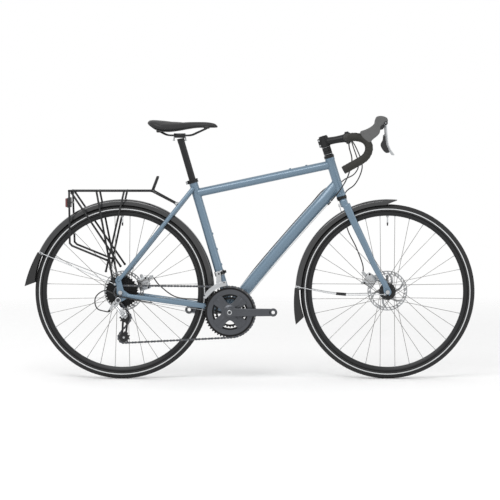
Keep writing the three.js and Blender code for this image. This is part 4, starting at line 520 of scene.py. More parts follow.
def beam(start, end, thickness, height, upright, edge=0.8):
    """A box between two places, with its height along a direction."""
    ahead = (end - start).normalized()
    tall = (upright - ahead * upright.dot(ahead)).normalized()
    wide = tall.cross(ahead)
    a, b = thickness / 2, height / 2
    rings = []
    for place in (start, end):
        rings.append([place + wide * x + tall * y for x, y in ((-a, -b), (a, -b), (a, b), (-a, b))])
    return eased(skin(rings), edge)


def round_outline(radius, count, centre=Vector(), start=0.0):
    return [around(centre, start + 360 * i / count, radius) for i in range(count)]


def capsule(a, b, radius_a, radius_b, steps=12):
    """A rounded outline round two circles."""
    turn = degrees(atan2(b.z - a.z, b.x - a.x))
    spread = degrees(asin(max(-1, min(1, (radius_a - radius_b) / (b - a).length))))
    start, sweep_a = turn + 90 - spread, 180 + 2 * spread
    rear = [around(a, start + sweep_a * i / steps, radius_a) for i in range(steps + 1)]
    start, sweep_b = turn - 90 + spread, 180 - 2 * spread
    return rear + [around(b, start + sweep_b * i / steps, radius_b) for i in range(steps + 1)]


def smooth_outline(places, per_span=5):
    """A rounded closed outline through the given places."""
    count = len(places)
    line = []
    for i in range(count):
        near = [places[(i + k) % count] for k in (-1, 0, 1, 2)]
        line.extend(on_curve(near, (1 + k / per_span) / 3) for k in range(per_span))
    return line


def gathered(parts):
    """All points, faces and finish numbers of closed parts; each may come with its finish's number."""
    points, faces, marks = [], [], []
    for part in parts:
        (places, sides), mark = (part, 0) if isinstance(part[0], list) else part
        start = len(points)
        points.extend(places)
        faces.extend(tuple(start + i for i in side) for side in sides)
        marks.extend(mark(i) if callable(mark) else mark for i in range(len(sides)))
    return points, faces, marks


def outward(mesh, tidy=False):
    """Turn the mesh's faces outwards."""
    work = bmesh.new()
    work.from_mesh(mesh)
    if tidy:
        bmesh.ops.dissolve_degenerate(work, dist=MM * MM, edges=work.edges)
    bmesh.ops.recalc_face_normals(work, faces=work.faces)
    work.to_mesh(mesh)
    work.free()


def linked(name, data):
    """A new object in the scene."""
    made = bpy.data.objects.new(name, data)
    bpy.context.scene.collection.objects.link(made)
    return made


def make_piece(name, body, parts, finishes, node, sharp=32.0):
    """A piece in metres, which rides on its body in a CAD node's place where a body is given."""
    points, faces, marks = gathered(parts)
    mesh = bpy.data.meshes.new(name)
    mesh.from_pydata([point * MM for point in points], [], faces)
    for finish in finishes:
        mesh.materials.append(bpy.data.materials[finish])
    mesh.polygons.foreach_set("material_index", marks)
    outward(mesh, tidy=True)
    mesh.shade_smooth()
    mesh.set_sharp_from_angle(angle=radians(sharp))
    piece = linked(name, mesh)
    if body:
        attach(piece, body)
        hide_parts(node)
    return piece


# Materials
class Wiring:
    """The shader nodes of a material or a world."""

    def __init__(self, owner):
        owner.use_nodes = True
        self.tree = owner.node_tree
        self.tree.nodes.clear()

    def node(self, kind, **settings):
        """A node with values on its inputs, where _ stands for a space, or settings of its own."""
        made = self.tree.nodes.new("ShaderNode" + kind)
        for key, value in settings.items():
            socket = made.inputs.get(key.replace("_", " "))
            if socket is None:
                setattr(made, key, value)
            else:
                socket.default_value = value
        return made

    def join(self, source, target, entry=0):
        """Lead an output, or a node's first one, into an input of a node."""
        self.tree.links.new(getattr(source, "outputs", [source])[0], target.inputs[entry])


class Finish(Wiring):
    """The frame's material of a name, or a new one, with its shader."""

    def __init__(self, name, tone, **values):
        self.material = bpy.data.materials.get(name) or bpy.data.materials.new(name)
        super().__init__(self.material)
        self.tone, self.shader = tone, self.node("BsdfPrincipled", **values)
        self.output = self.node("OutputMaterial")
        self.join(self.shader, self.output)

    def texture(self, kind, scale, stretch=(1, 1, 1), **settings):
        """A texture in the object's own space, in marks a metre."""
        mapping, made = self.node("Mapping", Scale=stretch), self.node("Tex" + kind, Scale=scale, **settings)
        self.join(self.node("TexCoord").outputs["Object"], mapping)
        self.join(mapping, made)
        return made

    def rough(self, source, low, high):
        """A roughness that runs between two values with the source."""
        made = self.node("MapRange", To_Min=low, To_Max=high)
        self.join(source, made)
        self.join(made, self.shader, "Roughness")

    def tinted(self, source, spread):
        """The tone, a little darker and lighter where the source is."""
        ramp = self.node("ValToRGB")
        for element, place, level in zip(ramp.color_ramp.elements, (0.3, 0.7), (1 - spread, 1 + spread)):
            element.position = place
            element.color = [min(1.0, part * level) for part in self.tone] + [1]
        self.join(source, ramp)
        self.join(ramp, self.shader, "Base Color")

    def bumped(self, source, depth):
        """Relief of a depth in millimetres, over any relief that is there."""
        made, normal = self.node("Bump", Distance=depth * MM), self.shader.inputs["Normal"]
        self.join(source, made, "Height")
        if normal.links:
            self.join(normal.links[0].from_socket, made, "Normal")
        self.join(made, self.shader, "Normal")


def metal(name, tone, roughness, spread=0.05, stretch=(1, 1, 1), metallic=1.0):
    """A metal with faint marks of its finish and patches of wear."""
    finish = Finish(name, tone, Metallic=metallic)
    finish.tinted(finish.texture("Noise", 14, Detail=4), spread)
    marks = finish.texture("Noise", 420, stretch, Detail=3)
    finish.rough(marks, roughness * 0.75, roughness * 1.25)
    finish.bumped(marks, 0.02)


def moulded(name, tone, roughness, grain=900, depth=0.03, spread=0.08, coat=0.0, pattern=None):
    """A plastic or rubber with a fine moulded grain."""
    finish = Finish(name, tone, Coat_Weight=coat, Coat_Roughness=0.18)
    finish.tinted(finish.texture("Noise", 22, Detail=5), spread)
    fine = finish.texture("Noise", grain, Detail=3)
    finish.rough(fine, roughness - 0.08, roughness + 0.08)
    finish.bumped(fine, depth)
    if pattern:
        scale, relief, feature = pattern
        finish.bumped(finish.texture("Voronoi", scale, feature=feature), relief)


def paint(name, tone):
    """Satin metallic paint under a thin clear coat."""
    finish = Finish(name, tone, Metallic=0.3, Coat_Weight=0.7, Coat_Roughness=0.14)
    flakes = finish.texture("Voronoi", 2600)
    finish.tinted(flakes, 0.07)
    finish.rough(flakes, 0.3, 0.44)
    finish.bumped(finish.texture("Noise", 260, Detail=2), 0.012)


def lens(name, tone):
    """A red lens with a field of small prisms behind its smooth face."""
    finish = Finish(name, tone, Coat_Weight=1.0, Coat_Roughness=0.05)
    prisms = finish.texture("Voronoi", 420, feature="DISTANCE_TO_EDGE")
    finish.tinted(prisms, 0.35)
    finish.rough(prisms, 0.12, 0.4)
    finish.bumped(prisms, 0.4)


class BICYCLE_OT_finishes(Operator):
    """Make the materials and give each carried-over node its own"""

    bl_idname = "bicycle.finishes"
    bl_label = "Finishes"

    def execute(self, context):
        tones = context.scene.bicycle_finishes
        paint("frame_paint", tones.paint)
        metal("black_alloy", tones.black_alloy, 0.4, 0.1, metallic=0.3)
        metal("silver_alloy", tones.silver_alloy, 0.27, stretch=(1, 4, 1))
        metal("dark_alloy", tones.dark_alloy, 0.34, 0.08, metallic=0.85)
        metal("gear_steel", tones.gear_steel, 0.36, 0.16)
        metal("hub_steel", tones.rotor_steel, 0.3, 0.06, stretch=(1, 6, 1))
        metal("spoke_steel", tones.gear_steel, 0.34, 0.04)
        metal("black_steel", tones.black_plastic, 0.42, 0.2, metallic=0.6)
        moulded("black_plastic", tones.black_plastic, 0.45)
        moulded("guard_plastic", tones.guard, 0.24, 300, 0.01, coat=0.7)
        moulded("saddle_leather", tones.saddle, 0.5, 1400, 0.04, pattern=(620, 0.09, "DISTANCE_TO_EDGE"))
        moulded("tyre_rubber", tones.tyre, 0.72, 700, 0.08)
        moulded("tyre_stripe", tones.stripe, 0.4, 1500, 0.02, 0.04)
        moulded("bar_tape", tones.tape, 0.74, 1100, 0.09, 0.14, pattern=(520, 0.16, "F1"))
        moulded("hood_rubber", tones.hood, 0.6, 1000, 0.05, pattern=(760, 0.08, "F1"))
        moulded("cable_housing", tones.cable, 0.36, 500, 0.01, coat=0.2)
        lens("red_lens", tones.lens)
        finish_nodes()
        return {"FINISHED"}


def finish_nodes():
    """Give each CAD node the material of its slot, and ease its edges."""
    for name, slot in SLOTS.items():
        node = frame["nodes"][name]
        node.data.materials.clear()
        node.data.materials.append(bpy.data.materials[slot])
        edge = node.modifiers.new("eased_edges", "BEVEL")
        edge.width = 0.5 * MM
        edge.segments = 2
        edge.limit_method = "ANGLE"
        node.data.shade_smooth()
        node.data.set_sharp_from_angle(angle=radians(35))


# Tyres
def tyre_profile(sizes, grooved):
    """The tyre's section, and its angles off the crown with the tread's height solid and at a groove."""
    half = [
        (0, 0, 0), (5, 0, 0), (6.5, -0.9, -0.9), (10, -0.9, -0.9), (11.5, 0, -0.2), (23, 0, -0.9),
        (25, -0.9, -0.9), (28.5, -0.9, -0.9), (30, 0, -1.1), (45, 0, -1.2), (50, -0.5, -1.0),
        (62, -0.6, -0.6), (75, -0.5, -0.5), (84.5, -0.4, -0.4), (86, 0, 0), (97, 0, 0), (98.5, -0.4, -0.4),
        (108, -0.5, -0.5), (118, -0.5, -0.5),
    ]
    round_radius = mm(sizes.tyre_width) / 2
    centre = mm(sizes.tyre_radius) - round_radius
    bead = mm(sizes.rim_width) / 2 - 2.5
    seat = mm(sizes.rim_outer)
    line = []
    for turn, solid, groove in half:
        reach = round_radius + (groove if grooved else solid)
        line.append((centre + reach * cos(radians(turn)), reach * sin(radians(turn))))
    line += [(seat + FIT, bead), (seat - 5.7, bead)]
    return mirrored(line) + line[1:], half


def tyre(sizes, end, axle):
    solid, half = tyre_profile(sizes, False)
    grooved, _ = tyre_profile(sizes, True)
    turns = [turn for turn, _, _ in half]
    low, high = turns.index(86), turns.index(97)
    count = len(solid)
    crown = len(half) + 1
    striped = {*range(crown + low, crown + high), *range(crown - high, crown - low)}
    part = lathe([grooved, solid, solid, solid, solid], axle, sides=240)
    yield part, lambda i: 1 if i % count in striped else 0


def spoke_lines(sizes, flanges, hole_radius):
    """The two ends of each spoke about the axle, for flanges right and left."""
    lines = []
    pitch = 360 / sizes.spokes
    for side, flange in zip((-1, 1), flanges):
        shift = (2 + side) * pitch / 4
        for i in range(sizes.spokes):
            leading = -1 if i % 2 else 1
            hub_turn = i * pitch + shift
            rim_turn = hub_turn + leading * sizes.crossing * pitch
            start = in_plane(hub_turn + 90) * hole_radius
            end = in_plane(rim_turn + 90) * (mm(sizes.rim_inner) + 1)
            lean = leading * 1.15
            lines.append((at_side(start, side * (flange + lean)), at_side(end, side * 3.5 + lean)))
    return lines


# Places across each wheel
FLANGES = {"front": (27, 27), "rear": (20, 33)}
FLANGE_RADIUS = {"front": 33, "rear": 30}
HUB_HALF = {"front": 49.7, "rear": 67.2}
DISC_FACE = {"front": 38, "rear": 51}
DISC_PLANE = {"front": 39.5, "rear": 52.5}
NUT_FACE = {"front": 56.3, "rear": 74.8}
LEVER_SEAT = {"front": 61.1, "rear": 79.6}
HOLE_INSET, AXLE_BORE, HUB_BODY = 5, 4.8, 15


def rim(sizes, end, axle):
    inner, outer, half = mm(sizes.rim_inner), mm(sizes.rim_outer), mm(sizes.rim_width) / 2
    line = [
        (inner, 0), (inner, 4.6), (inner + 0.7, 6.4), (inner + 3.2, 8.2), (inner + 11, half - 0.9),
        (outer - 1.6, half), (outer - 0.4, half - 0.2), (outer, half - 0.8), (outer, half - 2.2),
        (outer - 6, half - 2.3), (outer - 6.6, 0),
    ]
    profile = line + mirrored(line[1:-1])
    yield lathe(profile, axle, sides=180)
    holes = FLANGE_RADIUS[end] - HOLE_INSET
    for start, finish in spoke_lines(sizes, FLANGES[end], holes):
        inward = (start - finish).normalized()
        yield rod(axle + finish, axle + finish + inward * 6, 2.6, 12, 1.9), 1
        yield rod(axle + finish + inward * 5, axle + finish + inward * 13, 1.7, 10), 1
    top = axle + UP * (inner + 2)
    yield rod(top, top - UP * 7, 5.5, 6), 1
    ribs = [(0, 0), (2.8, 0)]
    for k in range(1, 24):
        ribs.append((2.8 - 0.35 * (k % 2), k * 1.1))
    yield lathe(ribs + [(0, 26)], top - UP * 5, -UP, 16), 1
    cap = top - UP * 29
    yield rod(cap, cap - UP * 13, 3.4, 16, 2.6, 0.8), 2


def flange_points(radius, y, body):
    return [
        (body, y - 5), (body + 1.6, y - 2.6), (radius - 1, y - 1.9), (radius, y - 1.2),
        (radius, y + 1.2), (radius - 1, y + 1.9), (body + 1.6, y + 2.6), (body, y + 5),
    ]


def hub(sizes, end, axle):
    right, left = FLANGES[end]
    radius = FLANGE_RADIUS[end]
    half, disc = HUB_HALF[end], DISC_FACE[end]
    profile = [(AXLE_BORE, -half), (8, -half), (9, -half + 1), (9, -right - 9), (HUB_BODY, -right - 8)]
    profile += flange_points(radius, -right, HUB_BODY)
    profile += [(12.5, -right + 12), (12, 0), (13, left - 12)]
    profile += flange_points(radius, left, HUB_BODY)
    profile += [(HUB_BODY, disc - 3), (9, disc - 2), (9, half - 1), (8, half), (AXLE_BORE, half)]
    yield lathe(profile, axle, sides=56)
    for start, finish in spoke_lines(sizes, FLANGES[end], radius - HOLE_INSET):
        yield rod(axle + start, axle + finish, mm(sizes.spoke_radius), 8), 1
        beyond = abs(start.y) > (right if start.y < 0 else left)
        out = copysign(1, start.y) * (1 if beyond else -1)
        head = axle + start
        yield rod(head - ACROSS * out * 3.4, head + ACROSS * out * 0.9, 1.7, 10), 1


def brake_disc(sizes, end, axle):
    plane, radius = DISC_PLANE[end], mm(sizes.disc_radius)
    thickness = 1.8
    count = 96
    for outer, inner in ((radius, radius - 4.2), (radius - 10.4, radius - 14)):
        rings = [round_outline(r, count, axle) for r in (outer, inner)]
        yield ring_plate(*rings, thickness, plane, 0.25)
    for k in range(30):
        turn = 360 * k / 30
        a = at_side(axle + in_plane(turn) * (radius - 12.4), plane)
        b = at_side(axle + in_plane(turn + 7) * (radius - 2.6), plane)
        yield beam(a, b, thickness - 0.1, 4.6 if k % 5 else 8, ACROSS.cross(b - a), 0.2)
    for turn in range(0, 360, 60):
        stops = [(21, 0), (38, 3), (54, 12), (radius - 11, 26)]
        line = [around(axle, turn + t, r, plane) for r, t in stops]
        yield sweep(line, taper((thickness / 2, thickness / 2), (5.2, 3.6)), 6, 12, power=6)
        place = around(axle, turn, 21.5, plane + thickness / 2)
        yield bolt(place, ACROSS, 3.4, 1.8), 1
    carrier = [(12, plane - 0.9), (26, plane - 0.9), (26, plane + 0.8), (17, plane + 0.9), (12, plane + 0.9)]
    yield lathe(carrier, axle, sides=48)


def axle_and_nut(end, axle):
    outside = NUT_FACE[end]
    yield cross_rod(axle, -outside - 9, outside + 0.3, 4.5)
    ridges = [9 if k % 2 else 8.5 for k in range(36)]
    rings = []
    for out, shrink in ((11, 0.86), (10, 0.97), (3, 1), (2, 0.9), (0, 0.98)):
        rings.append([around(axle, 10 * k, ridges[k] * shrink, -outside - out) for k in range(36)])
    yield skin(rings)
    yield cross_rod(axle, outside, outside + 4.5, 9, edge=1.2)


def release_lever(end, axle):
    pivot = at_side(axle, LEVER_SEAT[end] + 6)
    yield rod(pivot - FORWARD * 5.5, pivot + FORWARD * 5.5, 6, 28, edge=0.8)
    reach = [(0, 0), (9, 3.4), (24, 5.4), (42, 5.8), (56, 5), (61.4, 4.6)]
    line = [pivot + UP * z + ACROSS * y for z, y in reach]

    def halves(share):
        wide = mixed(3.8, 5.5, min(1, share * 1.6))
        return (2.6 - 0.7 * sin(pi * share), wide if share < 0.9 else wide * 0.86)

    yield sweep(line, halves, 6, 24, power=3, ends=0.6)
    yield bolt(pivot + FORWARD * 5.4, FORWARD, 3.2, 1.2)


def wheel_pieces(context, maker, name, finishes, node, sharp=32.0):
    """The same piece for both wheels."""
    for end, axle in AXLES.items():
        parts = maker(context.scene.bicycle_wheels, end, axle)
        make_piece(f"{end}_{name}", f"{end}_wheel", parts, finishes, f"{end}_{node}", sharp)


class BICYCLE_OT_tyres(Operator):
    """Make both tyres with their tread and reflective band"""

    bl_idname = "bicycle.tyres"
    bl_label = "Tyres"

    def execute(self, context):
        wheel_pieces(context, tyre, "tyre_tread", ("tyre_rubber", "tyre_stripe"), "tyre", 25)
        return {"FINISHED"}


class BICYCLE_OT_rims(Operator):
    """Make both rims with their nipples and valves"""

    bl_idname = "bicycle.rims"
    bl_label = "Rims"

    def execute(self, context):
        wheel_pieces(context, rim, "rim_with_nipples", (*BLACK_METAL, "black_plastic"), "rim")
        return {"FINISHED"}


class BICYCLE_OT_hubs(Operator):
    """Make both hubs with their crossed spokes"""

    bl_idname = "bicycle.hubs"
    bl_label = "Hubs and spokes"

    def execute(self, context):
        wheel_pieces(context, hub, "laced_hub", ("black_alloy", "spoke_steel"), "hub")
        return {"FINISHED"}


class BICYCLE_OT_discs(Operator):
    """Make both brake discs"""

    bl_idname = "bicycle.discs"
    bl_label = "Brake discs"

    def execute(self, context):
        wheel_pieces(context, brake_disc, "disc_rotor", ("hub_steel", "black_steel"), "brake_disc")
        return {"FINISHED"}


class BICYCLE_OT_skewers(Operator):
    """Make the axles with their nuts and quick-release levers"""

    bl_idname = "bicycle.skewers"
    bl_label = "Axles and release levers"

    def execute(self, context):
        for end, axle in AXLES.items():
            parts, lever = axle_and_nut(end, axle), f"{end}_release_lever"
            make_piece(f"{end}_skewer", FORK_OR_FRAME[end], parts, ("silver_alloy",), f"{end}_axle")
            make_piece(f"{end}_skewer_lever", lever, release_lever(end, axle), ("silver_alloy",), lever)
        return {"FINISHED"}


# Frame: the tubes, their weld beads and the fittings on them
HEAD_BOTTOM, HEAD_TOP, FORK_LENGTH = 417.6, 577.6, 406
TOP_TUBE_SEAT, TOP_TUBE_HEAD = on_seat_tube(491), on_steerer(HEAD_TOP - 27)
DOWN_TUBE_HEAD = on_steerer(HEAD_BOTTOM + 50)
SEAT_TUBE_LENGTH = 548
SEAT_TURN = turn_of(SEAT_AHEAD)
STEER_TURN = turn_of(STEER_AHEAD)
SHELL_RADIUS, SHELL_HALF = 21.5, 34
STAY_END_Y = 71
DOWN_ALONG = (DOWN_TUBE_HEAD - BOTTOM_BRACKET).normalized()
DOWN_UP = flat(-DOWN_ALONG.z, DOWN_ALONG.x)
SLOT_HALF = 4.8
NECK_SHARE = 0.78
DROPOUT_HOOK, BRIDGE_REACH, BLADE_Y, FORK_RAKE = 15, 378.5, 53, 64
STEERER_RADIUS, STEERER_BORE, CUP_BORE, CLAMP_BORE = 14.3, 14.6, 15.3, 17.75
CUP_RADIUS, COLLAR_RADIUS, COLLAR_HEIGHT = 20.5, 21.35, 15


def on_down_tube(share, outwards=0.0, y=0.0):
    foot = BOTTOM_BRACKET + DOWN_UP * 8
    bow = 28 * share * (1 - share)
    return at_side(foot.lerp(DOWN_TUBE_HEAD, share) + DOWN_UP * (bow + outwards), y)


def boss(place, outwards):
    """A threaded boss with its open hole."""
    top = place + outwards * 2.5
    yield collar(place - outwards * 2, top, 4.5, 2.6, 28)
    yield rod(place - outwards * 2, place + outwards * 0.4, 2.6, 16), 1


def head_tube(sizes):
    radius, high = mm(sizes.head_tube) / 2, HEAD_TOP - HEAD_BOTTOM
    lip, bore = radius + 1.5, radius - 3
    profile = [(bore, 0), (lip - 0.8, 0), (lip, 0.8), (lip, 10.4), (radius, 13)]
    profile += [(radius, high - 13), (lip, high - 10.4), (lip, high - 0.8), (lip - 0.8, high), (bore, high)]
    yield lathe(profile, on_steerer(HEAD_BOTTOM), STEER, 56)


def top_tube(sizes):
    radius, bead = mm(sizes.top_tube) / 2, mm(sizes.weld_bead)
    ahead = (TOP_TUBE_HEAD - TOP_TUBE_SEAT).normalized()
    up = flat(-ahead.z, ahead.x)
    neck = mm(sizes.head_tube) / 2 * NECK_SHARE

    def halves(share):
        return mixed(radius, neck, max(0, (share - 0.8) / 0.2) ** 2), radius

    line = [TOP_TUBE_SEAT.lerp(TOP_TUBE_HEAD, share) for share in (0.012, 0.3, 0.6, 0.8, 0.9, 0.99)]
    yield sweep(line, halves, 8, 64)
    start, head_half = TOP_TUBE_SEAT + ahead * 99, (neck + 0.8, radius)
    yield weld(start, ahead, head_half, TOP_TUBE_HEAD, STEER, mm(sizes.head_tube) / 2, bead)
    start, seat_half = TOP_TUBE_HEAD, (radius, radius)
    yield weld(start, -ahead, seat_half, TOP_TUBE_SEAT, SEAT, mm(sizes.seat_tube) / 2, bead)
    for share in (0.7, 0.82):
        yield from boss(TOP_TUBE_SEAT.lerp(TOP_TUBE_HEAD, share) + up * radius, up)


def down_tube(sizes):
    radius, bead = mm(sizes.down_tube) / 2, mm(sizes.weld_bead)
    head = mm(sizes.head_tube) / 2
    neck = head * NECK_SHARE

    def halves(share):
        near_head = max(0, (share - 0.8) / 0.2)
        near_shell = max(0, 1 - share / 0.08)
        wide = mixed(radius, neck, near_head**2 * (3 - 2 * near_head))
        return wide, mixed(radius, SHELL_RADIUS - 0.8, near_shell**2)

    line = [on_down_tube(share) for share in (0, 0.12, 0.3, 0.5, 0.7, 0.85, 1)]
    yield sweep(line, halves, 8, 64)
    near_head = on_down_tube(0.8)
    towards = DOWN_TUBE_HEAD - near_head
    yield weld(near_head, towards, (neck + 0.8, radius), DOWN_TUBE_HEAD, STEER, head, bead)
    low, shell_half = on_down_tube(0.1), (radius, SHELL_RADIUS - 1)
    yield weld(low, on_down_tube(0) - low, shell_half, BOTTOM_BRACKET, ACROSS, SHELL_RADIUS, bead)
    for step in (0, 64):
        yield from boss(on_down_tube(0.42, radius - 0.2) + DOWN_ALONG * step, DOWN_UP)
    stop = on_down_tube(0.88, -radius - 1.2)
    yield block(stop, (16, 18, 4.5), turn_of(DOWN_ALONG), 1.2)
    for y in (-6, 6):
        place = on_down_tube(0.88, -radius - 3, y)
        yield collar(place - DOWN_ALONG * 8, place + DOWN_ALONG * 8, 3.9, 2.5, 24), 1


def seat_tube(sizes):
    radius, bead = mm(sizes.seat_tube) / 2, mm(sizes.weld_bead)
    length_up, bore = SEAT_TUBE_LENGTH, 13.9
    profile = [(0, 0), (radius, 0), (radius, length_up - 0.8), (radius - 0.8, length_up)]
    yield lathe(profile + [(bore, length_up), (bore, 300), (0, 300)], BOTTOM_BRACKET, SEAT, 56)
    wall = [(12.6, -SHELL_HALF), (SHELL_RADIUS - 0.7, -SHELL_HALF), (SHELL_RADIUS, -SHELL_HALF + 0.7)]
    wall += mirrored(wall)
    yield lathe(wall, BOTTOM_BRACKET, sides=64)
    line = [(12.6, 34), (17.6, 34), (17.8, 35), (20, 35.6), (20, 40.6), (18.6, 42.6), (14.6, 43), (12.6, 43)]
    for side in (-1, 1):
        yield lathe([(radius, side * y) for radius, y in line], BOTTOM_BRACKET, sides=48), 1
        for k in range(16):
            out = in_plane(22.5 * k)
            place = at_side(BOTTOM_BRACKET + out * 19.4, side * 38)
            yield beam(place - ACROSS * 2.4, place + ACROSS * 2.4, 2.2, 2.4, out, 0.4), 1
    yield weld(on_seat_tube(90), -SEAT, (radius, radius), BOTTOM_BRACKET, ACROSS, SHELL_RADIUS, bead)
    for height in (190, 254, 318):
        yield from boss(on_seat_tube(height, radius - 0.2), SEAT_AHEAD)


def chainstay_path(side):
    start = Vector((BOTTOM_BRACKET.x, side * 27.45, BOTTOM_BRACKET.z + 8))
    end = Vector((REAR_AXLE.x + 27, side * STAY_END_Y, REAR_AXLE.z - 13.5))
    front = at_side(start.lerp(end, 0.22), side * 31.5)
    rear = at_side(start.lerp(end, 0.62), side * mixed(31.5, STAY_END_Y, 0.62))
    return [start, front, rear, end]


def seatstay_path(side):
    top = on_seat_tube(512, -7, side * 18.75)
    end = Vector((REAR_AXLE.x - 8, side * STAY_END_Y, REAR_AXLE.z + 46.4))
    upper = at_side(top.lerp(end, 0.26), side * 38.5)
    lower = at_side(top.lerp(end, 0.65), side * mixed(23.5, STAY_END_Y, 0.72))
    return [top, upper, lower, end]


def slotted(outline, centre, half):
    """The outline, anticlockwise, with a round-topped slot that opens downwards."""
    count = len(outline)
    crossings = {}
    for i in range(count):
        a, b = outline[i], outline[(i + 1) % count]
        for edge in (-half, half):
            x = centre.x + edge
            if (a.x - x) * (b.x - x) < 0 and min(a.z, b.z) < centre.z:
                place = a.lerp(b, (x - a.x) / (b.x - a.x))
                if place.z < centre.z:
                    crossings[edge] = (i, place)
    (left_index, left), (right_index, right) = crossings[-half], crossings[half]
    kept = [right]
    i = (right_index + 1) % count
    while i != (left_index + 1) % count:
        kept.append(outline[i])
        i = (i + 1) % count
    roof = [around(centre, 180 - 18 * k, half) for k in range(11)]
    return kept + [left] + roof


DROPOUT_LOW = flat(REAR_AXLE.x + 30, REAR_AXLE.z - 13.5)
DROPOUT_HIGH = flat(REAR_AXLE.x - 8, REAR_AXLE.z + 58)
DROPOUT_EYELET = flat(REAR_AXLE.x - 21.5, REAR_AXLE.z + 33)
HANGER = flat(REAR_AXLE.x - 8, REAR_AXLE.z - 30)


def stay_at(path, distance):
    """Where a stay comes within a distance of the rear axle."""
    for k in range(201):
        place = on_curve(path, k / 200)
        outwards = at_side(place, 0) - REAR_AXLE
        if outwards.length < distance:
            return at_side(REAR_AXLE + outwards.normalized() * distance, place.y)
    raise RuntimeError("the stay doesn't reach the bridge")


BRIDGES = [stay_at(path(1), BRIDGE_REACH) for path in (seatstay_path, chainstay_path)]


def rear_stays(sizes, side):
    high, top, bead = mm(sizes.chainstay_height), mm(sizes.seatstay), mm(sizes.weld_bead)
    chain_path, seat_path = chainstay_path(side), seatstay_path(side)
    yield sweep(chain_path, taper((6.25, 6.8), (high / 2, 8.5)), 12, 40, power=2.3, ends=4)
    yield sweep(seat_path, taper((top / 2, 7.5), (top / 2, 7.5)), 12, 32, ends=5)
    near, root = on_curve(chain_path, 0.2), on_curve(chain_path, 0.04)
    halves = (6.3, high / 2)
    yield weld(near, root - near, halves, BOTTOM_BRACKET, ACROSS, SHELL_RADIUS, bead)
    web = slotted(capsule(REAR_AXLE, DROPOUT_LOW, DROPOUT_HOOK, 8.5), REAR_AXLE, SLOT_HALF)
    arm = slotted(capsule(REAR_AXLE, DROPOUT_HIGH, DROPOUT_HOOK, 7.5), REAR_AXLE, SLOT_HALF)
    plates = [web, arm, capsule(DROPOUT_HIGH, DROPOUT_EYELET, 7.5, 6.5)]
    if side < 0:
        plates.append(capsule(DROPOUT_LOW, HANGER, 7.7, 11))
    for k, outline in enumerate(plates):
        yield plate(outline, 7 - 0.16 * k, side * STAY_END_Y, 0.8)
    if side > 0:
        for place in BRIDGES:
            centre = at_side(place, 0)
            yield cross_rod(centre, 2 - place.y, place.y, 6, 32)
            yield hoop([around(centre, 10 * k, 6.4, place.y - 8) for k in range(36)], 1.5)


def seat_collar():
    radius, high = COLLAR_RADIUS, COLLAR_HEIGHT
    profile = [(CLAMP_BORE, 0), (20.8, 0), (radius, 0.6), (radius, 5.8), (20.5, 6.6), (20.5, 8.4)]
    profile += [(radius, 9.2), (radius, 14.4), (20.8, high), (CLAMP_BORE, high)]
    yield lathe(profile, on_seat_tube(SEAT_TUBE_LENGTH - high), SEAT, 56)
    for side in (-1, 1):
        ear = on_seat_tube(SEAT_TUBE_LENGTH - high / 2, -23.4, side * 5.6)
        yield block(ear, (9, 7.6, 12), SEAT_TURN, 1.2)
    place = on_seat_tube(SEAT_TUBE_LENGTH - high / 2, -24)
    yield cross_rod(place, -9, 9, 2.6, 16), 1
    yield bolt(at_side(place, -9.3), -ACROSS, 4, 3), 1


def headset_cup(name):
    bore, radius = CUP_BORE, CUP_RADIUS
    ridge = [(bore, 0), (19.6, 0), (radius, 0.9), (radius, 4.4), (19.8, 4.9), (19.8, 5.6), (radius, 6.1)]
    rims = {
        "lower": ([(radius, 10), (19.6, 11), (bore, 11)], FORK_LENGTH),
        "upper": ([(radius, 8.6), (18.1, 12.1), (17.5, 12.5), (bore, 12.5)], HEAD_TOP),
    }
    rim_line, height = rims[name]
    yield lathe(ridge + rim_line, on_steerer(height + FIT), STEER, 56)


BLADE_SHARES = ((0.93, 0.14), (0.75, 0.28), (0.49, 0.52), (0.3, 0.68), (0.12, 0.9), (0.045, 1))


def blade_path(side):
    return [on_steerer(FORK_LENGTH * h, FORK_RAKE * f, side * mixed(BLADE_Y, 37, h)) for h, f in BLADE_SHARES]


def fork(sizes):
    deep = mm(sizes.blade_width) / 2
    for side in (-1, 1):
        yield sweep(blade_path(side), taper((9, 6), (deep, 8.5)), 9, 44, power=2.2, ends=5)
        outline = capsule(FRONT_AXLE, on_steerer(40.6, FORK_RAKE), DROPOUT_HOOK, 8.5)
        yield plate(slotted(outline, FRONT_AXLE, SLOT_HALF), 6, side * BLADE_Y, 0.8)
    crown = on_steerer(FORK_LENGTH - 17, 3.1)
    yield block(crown, (30, 80, 33.6), STEER_TURN, 9, 4)
    yield block(crown + STEER_AHEAD, (27, 91, 32), STEER_TURN, 9, 4)
    race = [(STEERER_RADIUS, 0), (19.4, 0), (19.4, 2), (18, 3.6), (STEERER_RADIUS, 3.6)]
    yield lathe(race, on_steerer(FORK_LENGTH - 3.8), STEER, 48), 1
    yield rod(on_steerer(FORK_LENGTH - 30), on_steerer(664.4), STEERER_RADIUS, 32), 1


STEM_BOTTOM = 590.7
STEM_PLACE = on_steerer(STEM_BOTTOM + 54)
LEVER_PIVOT = at_side(joint_place("brake_lever_right_pull"), 0)
HOOD_REACH, HOOD_RISE = 158.7, 82.5
BAR_CENTRE = LEVER_PIVOT - flat(HOOD_REACH * 0.946, HOOD_RISE * 0.67)
STEM_AHEAD = (BAR_CENTRE - STEM_PLACE).normalized()
STEM_UP = flat(-STEM_AHEAD.z, STEM_AHEAD.x)


